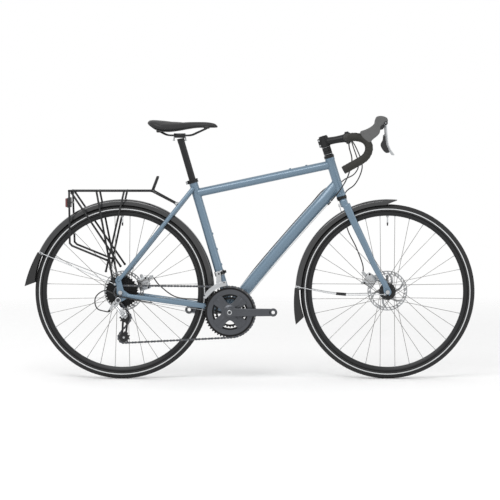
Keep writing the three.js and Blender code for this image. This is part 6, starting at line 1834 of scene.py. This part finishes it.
def guard_profile(sizes, narrow=1.0, deep=1.0):
    """A channel's section, as radii and places across it."""
    crown, half = mm(sizes.guard_radius), mm(sizes.guard_width) / 2 * narrow
    low = mixed(crown - GUARD_WALL - 2, GUARD_SIDE, deep)
    steps = 9
    line = []
    for k in range(-steps, steps + 1):
        turn = radians(90 * k / steps)
        line.append((abs(cos(turn)) ** 0.5, copysign(abs(sin(turn)) ** 0.5, k)))
    outer = [(mixed(low, crown, high), half * wide) for high, wide in line]
    thin = half - GUARD_WALL
    return outer + [(mixed(low, crown - GUARD_WALL, high), thin * wide) for high, wide in reversed(line)]


def mudguard(sizes, axle, start, end, tip):
    """The channel; the end named by tip is drawn in."""
    sides = 120
    profiles = []
    for k in range(sides + 1):
        from_tip = (k if tip == "start" else sides - k) / sides * (end - start)
        narrow = 1 if from_tip > 9 else 0.42 + 0.58 * sqrt(max(0, 1 - (1 - from_tip / 9) ** 2))
        profiles.append(guard_profile(sizes, narrow, min(1, from_tip / 7)))
    return lathe(profiles, axle, ACROSS, sides, start, end - start)


def flap(axle, end):
    """A rubber channel that widens downwards and ends in a slanting cut."""
    thick, steps = 2.2, 12
    top_out, tip_out = 370.7, 388.6
    top_in, tip_in = 353.8, 350.2
    rings = []
    for k in range(steps + 1):
        share = k / steps
        out, within = mixed(top_out, tip_out, share**1.3), mixed(top_in, tip_in, share)
        half = mixed(26, 22, share**2)
        corners = [(within, -half), (out, -half), (out, half), (within, half)]
        inside = [(within, half - thick), (out - thick, half - thick)]
        corners += inside + mirrored(inside)
        ring = []
        for radius, y in corners:
            reach = mixed(19.1, 21.8, (radius - within) / (out - within))
            ring.append(around(axle, end - 1 + share * reach, radius, y))
        rings.append(ring)
    return skin(rings)


def guard_stays(sizes, start, middle, end, outer_y, sleeve_half=0):
    radius, half = mm(sizes.stay_radius), mm(sizes.guard_width) / 2
    for side in (-1, 1):
        y = side * (outer_y + FIT + radius)
        edge = at_side(start, side * (half + radius / 2))
        eyelet = at_side(end, y)
        sleeve = at_side(middle, mixed(edge.y, y, 0.5))
        bend = at_side(eyelet.lerp(sleeve, 0.1), y)
        yield sweep([edge, sleeve, bend, eyelet], radius, 10, 16, carried=True, ends=1), 2
        if sleeve_half:
            run = (bend - edge).normalized() * sleeve_half
            yield rod(sleeve - run, sleeve + run, 3.2, 20, edge=1), 3
        yield collar(at_side(end, y - 1.6), at_side(end, y + 1.6), 4.5, 2.4, 28), 2
        yield bolt(at_side(end, y + side * 1.4), ACROSS * side, 4.2, 2.6), 2
        towards = (sleeve - edge).normalized()
        yield beam(edge - towards * 6, edge + towards * 11, 5, 8.5, UP, 1.4), 2
        yield bolt(edge + ACROSS * side * 2.2 + towards * 2, ACROSS * side, 2.8, 1.6), 3


def front_mudguard(sizes):
    yield mudguard(sizes, FRONT_AXLE, 84, 179, "start")
    yield flap(FRONT_AXLE, 179), 1
    edge = around(FRONT_AXLE, 177, GUARD_STAY_REACH)
    eyelet = around(FRONT_AXLE, 217, 15)
    middle = edge.lerp(eyelet, 0.5) - UP * mm(sizes.guard_width) / 3
    yield from guard_stays(sizes, edge, middle, eyelet, 56, 20)
    yield block(on_steerer(FORK_LENGTH - 32, -18.7), (3, 18, 37), STEER_TURN, 1), 2
    yield bolt(on_steerer(FORK_LENGTH - 22, -20), -STEER_AHEAD, 4, 2.4), 2


def rear_mudguard(sizes):
    yield mudguard(sizes, REAR_AXLE, -19, 156, "start")
    yield flap(REAR_AXLE, 156), 1
    edge = around(REAR_AXLE, 154.5, GUARD_STAY_REACH)
    yield from guard_stays(sizes, edge, edge.lerp(DROPOUT_EYELET, 0.5), DROPOUT_EYELET, 74.5)
    for place in BRIDGES:
        centre = at_side(place, 0)
        outwards = (centre - REAR_AXLE).normalized()
        yield rod(centre - outwards * 11.5, centre - outwards * 6.3, 4.5, 24), 2


# Rack and light
DECK_TAIL, DECK_REAR, DECK_MIDDLE, DECK_FRONT = (-1, 1), (-0.474, 1), (0.061, 1), (0.583, 1)
RACK_FOOT, LIGHT_BAR = (-0.15, 0.142), (-0.994, 0.883)
RACK_LINES = (
    (DECK_TAIL, (-0.976, 0.485), (-0.932, 0.46), (-0.267, 0.321)),
    ((-0.951, 0.98), (0.002, 0.261)),
    (DECK_REAR, RACK_FOOT),
    (DECK_MIDDLE, (-0.277, 0.211)),
    (DECK_TAIL, DECK_FRONT),
)
RACK_CROSSES = (DECK_TAIL, LIGHT_BAR, DECK_REAR, DECK_MIDDLE, DECK_FRONT)
RACK_HOOP = (DECK_FRONT, (0.685, 1.137))
RACK_REACH, RACK_HEIGHT, HOOP_Y, DECK_Y, FOOT_Y, TAB_Y = 206, 402, 22, 56, 80, 80.1


def on_rack(shares, side):
    across, up = shares
    y = side * mixed(DECK_Y, FOOT_Y, max(0, (1 - up) / (1 - RACK_FOOT[1])))
    return Vector((REAR_AXLE.x + RACK_REACH * across, y, REAR_AXLE.z + RACK_HEIGHT * up))


def ball(centre, radius, sides=20):
    profile = [(sin(pi * k / 10) * radius, -cos(pi * k / 10) * radius) for k in range(11)]
    profile[0], profile[-1] = (0, -radius), (0, radius)
    return lathe(profile, centre, ACROSS, sides)


def bars(line, radius):
    for start, end in zip(line, line[1:]):
        yield rod(start, end, radius, 20, edge=0.1)
    for place in line:
        yield ball(place, radius)


def rack(sizes):
    radius = mm(sizes.rack_rod) / 2
    bead = radius * 1.28
    for side in (-1, 1):
        for line in RACK_LINES:
            places = [on_rack(shares, side) for shares in line]
            yield from bars(places, radius)
            yield from (ball(place, bead) for place in (places[0], places[-1]))
        stay = on_curve(seatstay_path(side), 0.24)
        deck_end = on_rack(DECK_FRONT, side)
        towards = (stay - deck_end).normalized()
        yield from bars([deck_end, stay - towards * 12], radius * 0.8)
        yield collar(stay - towards * 18, stay - towards * 10, 6, 2, 24), 1
        foot = on_rack(RACK_FOOT, side)
        foot_y = side * TAB_Y
        yield plate(capsule(foot, DROPOUT_EYELET, radius + 1, 4.5), 3, foot_y, 0.6)
        yield bolt(at_side(DROPOUT_EYELET, foot_y + side * 1.4), ACROSS * side, 4.2, 2.6), 1
        yield from bars([at_side(on_rack(shares, side), side * HOOP_Y) for shares in RACK_HOOP], radius)
    for shares in RACK_CROSSES:
        yield from bars([on_rack(shares, -1), on_rack(shares, 1)], radius)
    yield from bars([at_side(on_rack(RACK_HOOP[1], side), side * HOOP_Y) for side in (-1, 1)], radius)


def rear_light():
    place = on_rack(LIGHT_BAR, 0)
    x = place.x - 11.3
    yield block(flat(x + 4, place.z), (6, 92, 40), 0, 2, 3), 1
    yield block(flat(x - 1.6, place.z), (10.6, 88, 36), 0, 3.4, 4)
    for y in (-20, 20):
        yield rod(Vector((x + 5, y, place.z)), Vector((place.x - 3.4, y, place.z)), 3.4, 20), 1


# Cables
def past_head(side, turn, ways):
    """A cable's first places: where it leaves the tape, then past the head tube."""
    places = [on_steerer(HEAD_BOTTOM + height, forward, y) for height, forward, y in ways]
    return [around(BAR_CENTRE, turn, 14.6, side * 53.6), *places]


def under_tube(share, y):
    return on_down_tube(share, -27, y)


def over_tube(share, y):
    return on_down_tube(share, sqrt(27.3**2 - y**2), y)


def chainstay_side(side, share, above, clear):
    place = on_curve(chainstay_path(side), share)
    return place + UP * above * (mixed(24, 17, share) / 2 + clear)


def below_shell(turn, clear, y):
    return at_side(BOTTOM_BRACKET + in_plane(turn) * (SHELL_RADIUS + clear), y)


def rear_axle_place(x, y, z):
    return Vector((REAR_AXLE.x + x, y, REAR_AXLE.z + z))


def cable_lines():
    """Each cable's places and the shares of its line where it is a bare wire."""
    front_ways = ((179, 112, -42), (97, 117, -12), (60, 98, 14), (28, 64, 34), (8, 20, 48))
    front_ways += ((-40, 2, 54), (-130, -16, 57), (-220, -4, 59))
    front = past_head(-1, -30, front_ways)
    stop = cable_stop("front", 60)
    front += [stop + UP * 25, stop, arm_tip("front", 60.3) + UP * 8.4]
    rear_ways = ((175, 104, 42), (95, 101, 34), (69, 75, 32), (60, 32, 30), (50, 6, 29))
    rear = past_head(1, -30, rear_ways) + [on_down_tube(0.93, 24, 20)]
    rear += [over_tube(*way) for way in ((0.8, 11), (0.55, 11), (0.3, 11), (0.14, 16))]
    rear += [at_side(BOTTOM_BRACKET + SEAT * 42, 29)]
    rear += [chainstay_side(1, share, 1, 4.8) for share in (0.14, 0.28, 0.45, 0.62)]
    stop = cable_stop("rear", 73)
    rear += [around(stop, -50, 42, 73), stop, arm_tip("rear", 73.3) + FORWARD * 8.4]
    shift_ways = ((176, 88, -47), (128, 84, -45), (70, 50, -38), (35, 15, -32))
    shift = past_head(-1, -75, shift_ways) + [on_down_tube(0.93, -26, -24)]
    shift += [under_tube(share, -6) for share in (0.86, 0.8, 0.45, 0.12)]
    shift += [below_shell(-60, 4, -6), below_shell(-110, 4, -10)]
    shift += [chainstay_side(-1, share, -1, clear) for share, clear in ((0.2, 8), (0.5, 5), (0.8, 5))]
    shift += [rear_axle_place(*way) for way in ((27, -79, -22), (-5, -80, -14), (-62, -81, 8))]
    shift += [rear_axle_place(*way) for way in ((-98, -81, -20), (-92, -81, -62))]
    shift += [REAR_SHIFT_STOP + flat(-6, -5)]
    other_ways = ((176, 88, 47), (128, 84, 47), (70, 50, 45), (35, 15, 39))
    other = past_head(1, -75, other_ways) + [on_down_tube(0.93, -26, 24)]
    other += [under_tube(share, 6) for share in (0.86, 0.8, 0.45, 0.12)]
    other += [below_shell(-60, 4, 6), below_shell(-120, 4, 6), below_shell(-175, 5, 4)]
    other += [on_seat_tube(60, -21.45, 0), on_seat_tube(110, -21.45, -8)]
    other += [on_seat_tube(138, -14, -20), on_seat_tube(144, -8, -27.95)]
    return {
        "front_brake_cable": (front, (0.89, 1)),
        "rear_brake_cable": (rear, (0.93, 1)),
        "rear_shift_cable": (shift, (0.27, 0.7)),
        "front_shift_cable": (other, (0.34, 1)),
    }


def cable(sizes, line, wire):
    """Housings, the bare wire between them and a ferrule where each housing stops."""
    radii = (mm(sizes.housing_radius), mm(sizes.wire_radius))
    spans = [(0, wire[0], 0), (wire[0] - 0.002, min(1, wire[1] + 0.002), 1)]
    if wire[1] < 1:
        spans.append((wire[1], 1, 0))
    for start, end, bare in spans:
        count = max(6, int(240 * (end - start)))
        points = [on_curve(line, mixed(start, end, k / count)) for k in range(count + 1)]
        yield sweep(points, radii[bare], 1, 14, carried=True), bare
    for share in wire:
        if 0 < share < 1:
            place = on_curve(line, share)
            ahead = (on_curve(line, share + 0.004) - on_curve(line, share - 0.004)).normalized()
            yield rod(place - ahead * 6, place + ahead * 2, 3.1, 20, 2.4), 2


class BICYCLE_OT_frame(Operator):
    """Make the frame's tubes, stays and weld beads"""

    bl_idname = "bicycle.frame"
    bl_label = "Frame"

    def execute(self, context):
        sizes = context.scene.bicycle_frame
        parts = {maker.__name__: maker(sizes) for maker in (head_tube, top_tube, down_tube, seat_tube)}
        parts |= {f"rear_stays_{name}": rear_stays(sizes, side) for name, side in SIDES.items()}
        for node, tube in parts.items():
            make_piece(f"{node}_painted", "frame", tube, PAINTED, node)
        return {"FINISHED"}


class BICYCLE_OT_fork(Operator):
    """Make the fork, the headset, the seat collar and the stem"""

    bl_idname = "bicycle.fork"
    bl_label = "Fork, headset and stem"

    def execute(self, context):
        make_piece("fork_painted", "steering", fork(context.scene.bicycle_frame), PAINTED, "fork")
        make_piece("stem_clamped", "steering", stem(), BLACK_METAL, "stem")
        make_piece("seat_clamp", "frame", seat_collar(), BLACK_METAL, "seat_collar")
        for name in ("lower", "upper"):
            make_piece(f"headset_{name}_cup", "frame", headset_cup(name), BLACK_METAL, f"headset_{name}")
        return {"FINISHED"}


class BICYCLE_OT_cockpit(Operator):
    """Make the handlebar with its tape, hoods, levers and shift paddles"""

    bl_idname = "bicycle.cockpit"
    bl_label = "Handlebar and levers"

    def execute(self, context):
        sizes = context.scene.bicycle_cockpit
        make_piece("handlebar_alloy", "steering", handlebar(sizes), ("black_alloy",), "handlebar")
        tape, rubber = ("bar_tape", "black_plastic"), ("hood_rubber", *BLACK_PLASTIC)
        for name, side in SIDES.items():
            lever, paddle = f"brake_lever_{name}", f"shift_paddle_{name}"
            make_piece(f"wound_tape_{name}", "steering", bar_tape(sizes, side), tape, f"bar_tape_{name}", 50)
            make_piece(f"rubber_hood_{name}", "steering", hood(sizes, side), rubber, f"brake_hood_{name}", 50)
            make_piece(f"lever_blade_{name}", lever, brake_lever(sizes, side), BLACK_PLASTIC[::-1], lever)
            make_piece(f"paddle_{name}", paddle, shift_paddle(sizes, side), BLACK_PLASTIC, paddle)
        return {"FINISHED"}


class BICYCLE_OT_drive(Operator):
    """Make the cranks, chainrings, cassette and chain"""

    bl_idname = "bicycle.drive"
    bl_label = "Cranks, chain and cassette"

    def execute(self, context):
        sizes = context.scene.bicycle_drive
        alloys, steels = ("dark_alloy", "silver_alloy"), ("dark_alloy", "black_steel", "silver_alloy")
        right = [*crank(sizes, -1, 1), *spider()]
        make_piece("crank_arm_right", "crankset", right, alloys, "crank_right")
        make_piece("crank_arm_left", "crankset", crank(sizes, 1, -1), alloys, "crank_left")
        make_piece("toothed_rings", "crankset", chainrings(sizes), steels, "chainrings")
        make_piece("sprockets", "cassette", cassette(sizes), steels[1:], "cassette")
        make_piece("linked_chain", "frame", chain(sizes), ("gear_steel", "dark_alloy"), "chain")
        return {"FINISHED"}


class BICYCLE_OT_derailleurs(Operator):
    """Make both derailleurs and the jockey wheels"""

    bl_idname = "bicycle.derailleurs"
    bl_label = "Derailleurs"

    def execute(self, context):
        silver = ("silver_alloy", "dark_alloy", "black_plastic")
        rear = (
            ("mount_knuckle", "frame", derailleur_mount(), silver, "derailleur_mount"),
            ("parallel_link", "derailleur_link", derailleur_link(), silver, "derailleur_link"),
            ("cage_knuckle", "derailleur_knuckle", derailleur_knuckle(), silver, "derailleur_knuckle"),
            ("rear_cage_plates", "derailleur_cage", derailleur_cage(), BLACK_METAL, "derailleur_cage"),
        )
        for row in rear:
            make_piece(*row)
        for name, place in (("upper", UPPER_JOCKEY), ("lower", LOWER_JOCKEY)):
            body = f"jockey_wheel_{name}"
            parts = jockey_wheel(context.scene.bicycle_drive, place)
            make_piece(f"toothed_{body}", body, parts, BLACK_PLASTIC, body)
        make_piece("front_shifter", "frame", front_derailleur(), SILVER_METAL, "front_derailleur")
        body = "front_derailleur_cage"
        make_piece("front_cage_plates", body, front_cage(), silver[:2], body)
        return {"FINISHED"}


class BICYCLE_OT_brakes(Operator):
    """Make both brake calipers and their arms"""

    bl_idname = "bicycle.brakes"
    bl_label = "Brake calipers"

    def execute(self, context):
        for end, body in FORK_OR_FRAME.items():
            make_piece(f"{end}_caliper_halves", body, caliper(end), SILVER_METAL, f"{end}_caliper")
            arm = f"{end}_caliper_arm"
            make_piece(f"{end}_pull_arm", arm, caliper_arm(end), SILVER_METAL, arm)
        return {"FINISHED"}


class BICYCLE_OT_saddle(Operator):
    """Make the seatpost, the saddle's shell with its rails, and the padded cover"""

    bl_idname = "bicycle.saddle"
    bl_label = "Saddle and seatpost"

    def execute(self, context):
        sizes = context.scene.bicycle_seat
        make_piece("seatpost_with_clamp", "seat", seatpost(sizes), BLACK_METAL, "seatpost")
        shell = ("black_plastic", "black_alloy")
        make_piece("saddle_shell", "seat", saddle_base(sizes), shell, "saddle_base")
        pad = make_piece("saddle_pad", None, [saddle_cover(sizes)], ("saddle_leather",), "saddle_cover", 80)
        swollen(sizes, pad)
        smooth = pad.modifiers.new("smooth_skin", "SUBSURF")
        smooth.levels = smooth.render_levels = 1
        pad.data.shade_smooth()
        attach(pad, "seat")
        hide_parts("saddle_cover")
        return {"FINISHED"}


class BICYCLE_OT_luggage(Operator):
    """Make both mudguards, the rack and the rear light"""

    bl_idname = "bicycle.luggage"
    bl_label = "Mudguards, rack and light"

    def execute(self, context):
        sizes = context.scene.bicycle_luggage
        finishes = ("guard_plastic", "black_plastic", "silver_alloy", "black_alloy")
        for end, maker in (("front", front_mudguard), ("rear", rear_mudguard)):
            parts = maker(sizes)
            make_piece(f"{end}_guard_with_stays", FORK_OR_FRAME[end], parts, finishes, f"{end}_mudguard")
        make_piece("welded_rack", "frame", rack(sizes), BLACK_METAL, "rear_rack", 50)
        make_piece("rear_lamp", "frame", rear_light(), ("red_lens", "black_plastic"), "rear_light")
        return {"FINISHED"}


class BICYCLE_OT_cables(Operator):
    """Make the four cables"""

    bl_idname = "bicycle.cables"
    bl_label = "Cables"

    def execute(self, context):
        finishes = ("cable_housing", "silver_alloy", "dark_alloy")
        for node, (line, wire) in cable_lines().items():
            bends = node != "front_brake_cable"
            parts = cable(context.scene.bicycle_cables, line, wire)
            piece = make_piece(f"{node}_run", None if bends else "steering", parts, finishes, node, 50)
            if bends:
                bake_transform(piece)
                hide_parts(node)
        return {"FINISHED"}


# Stage
def aim(thing, place, target):
    thing.location = place
    thing.rotation_mode = "QUATERNION"
    thing.rotation_quaternion = (target - place).to_track_quat("-Z", "Y")


def area_lamp(name, place, size, power, target=(0, 0, 0.5)):
    light = bpy.data.lights.new(name, "AREA")
    light.shape = "RECTANGLE"
    light.size, light.size_y = size
    light.energy = power
    aim(linked(name, light), Vector(place), Vector(target))


def white_background(world, sky):
    """A soft light all round that the camera, metal and glass see as white."""
    wiring = Wiring(world)
    path, mix = wiring.node("LightPath"), wiring.node("MixShader")
    seen = path.outputs["Is Camera Ray"]
    for ray in ("Is Glossy Ray", "Is Transmission Ray"):
        larger = wiring.node("Math", operation="MAXIMUM")
        wiring.join(seen, larger)
        wiring.join(path.outputs[ray], larger, 1)
        seen = larger
    wiring.join(seen, mix)
    for entry, strength in ((1, sky), (2, 1)):
        wiring.join(wiring.node("Background", Color=(1, 1, 1, 1), Strength=strength), mix, entry)
    wiring.join(mix, wiring.node("OutputWorld"))


def fade_out(finish, reach, full_share=0.6):
    """Let the floor's surface dissolve into the white background towards its edge."""
    spread = finish.node("Mapping", Scale=(1 / reach, 1 / reach, 1))
    gradient = finish.node("TexGradient", gradient_type="SPHERICAL")
    share, mix = finish.node("MapRange", From_Max=full_share), finish.node("MixShader")
    finish.join(finish.node("TexCoord").outputs["Object"], spread)
    finish.join(spread, gradient)
    finish.join(gradient.outputs["Fac"], share)
    for entry, source in enumerate((share, finish.node("BsdfTransparent"), finish.shader)):
        finish.join(source, mix, entry)
    finish.join(mix, finish.output)


def pale_floor(size):
    half = size / 2
    mesh = bpy.data.meshes.new("floor")
    corners = [(-half, -half, 0), (half, -half, 0), (half, half, 0), (-half, half, 0)]
    mesh.from_pydata(corners, [], [(0, 1, 2, 3)])
    finish = Finish("floor", (0.97, 0.97, 0.97), Roughness=0.9)
    finish.tinted(finish.texture("Noise", 40, Detail=2), 0.005)
    fade_out(finish, half)
    mesh.materials.append(finish.material)
    linked("floor", mesh)


class BICYCLE_OT_stage(Operator):
    """Make the camera, the pale floor and the soft light"""

    bl_idname = "bicycle.stage"
    bl_label = "Camera, floor and light"

    def execute(self, context):
        studio = context.scene.bicycle_studio
        scene = context.scene
        scene.view_settings.view_transform = "Standard"
        lens_data = bpy.data.cameras.new("camera")
        lens_data.sensor_width = 36
        lens_data.lens = lens_data.sensor_width * studio.distance / studio.view_width
        lens_data.shift_x = -studio.camera_forward / studio.view_width
        lens_data.shift_y = (studio.view_middle - studio.camera_height) / studio.view_width
        camera = linked("camera", lens_data)
        place = Vector((studio.camera_forward, -studio.distance, studio.camera_height))
        aim(camera, place, place + ACROSS)
        scene.camera = camera
        scene.world = bpy.data.worlds.new("studio")
        white_background(scene.world, studio.sky)
        pale_floor(studio.floor_size)
        area_lamp("key", (-1.2, -3.2, 3.6), (3.2, 1.6), studio.key_power)
        area_lamp("fill_ahead", (3.4, -1.6, 1.8), (1.4, 2.4), studio.fill_power)
        area_lamp("fill_behind", (-3.0, 2.6, 2.6), (1.6, 2.4), studio.fill_power)
        return {"FINISHED"}


STEPS = (
    BICYCLE_OT_finishes,
    BICYCLE_OT_stage,
    BICYCLE_OT_tyres,
    BICYCLE_OT_rims,
    BICYCLE_OT_hubs,
    BICYCLE_OT_discs,
    BICYCLE_OT_skewers,
    BICYCLE_OT_frame,
    BICYCLE_OT_fork,
    BICYCLE_OT_cockpit,
    BICYCLE_OT_drive,
    BICYCLE_OT_derailleurs,
    BICYCLE_OT_brakes,
    BICYCLE_OT_saddle,
    BICYCLE_OT_luggage,
    BICYCLE_OT_cables,
)


class BICYCLE_PT_sidebar(Panel):
    """Lists the steps that build the bicycle"""

    bl_idname = "BICYCLE_PT_sidebar"
    bl_label = "Touring Bicycle"
    bl_space_type = "VIEW_3D"
    bl_region_type = "UI"
    bl_category = "Bicycle"

    def draw(self, context):
        for step in STEPS:
            self.layout.operator(step.bl_idname)
        for group in GROUPS:
            box = self.layout.box()
            values = getattr(context.scene, group)
            for name in values.bl_rna.properties.keys():
                if name not in ("rna_type", "name"):
                    box.prop(values, name)


def register():
    for group in GROUPS.values():
        bpy.utils.register_class(group)
    for step in (*STEPS, BICYCLE_PT_sidebar):
        bpy.utils.register_class(step)
    for name, group in GROUPS.items():
        setattr(bpy.types.Scene, name, PointerProperty(type=group))


def unregister():
    for name in GROUPS:
        delattr(bpy.types.Scene, name)
    for step in (BICYCLE_PT_sidebar, *STEPS, *GROUPS.values()):
        bpy.utils.unregister_class(step)


def main():
    register()
    for step in STEPS:
        group, name = step.bl_idname.split(".")
        getattr(getattr(bpy.ops, group), name)()


if __name__ == "__main__":
    main()
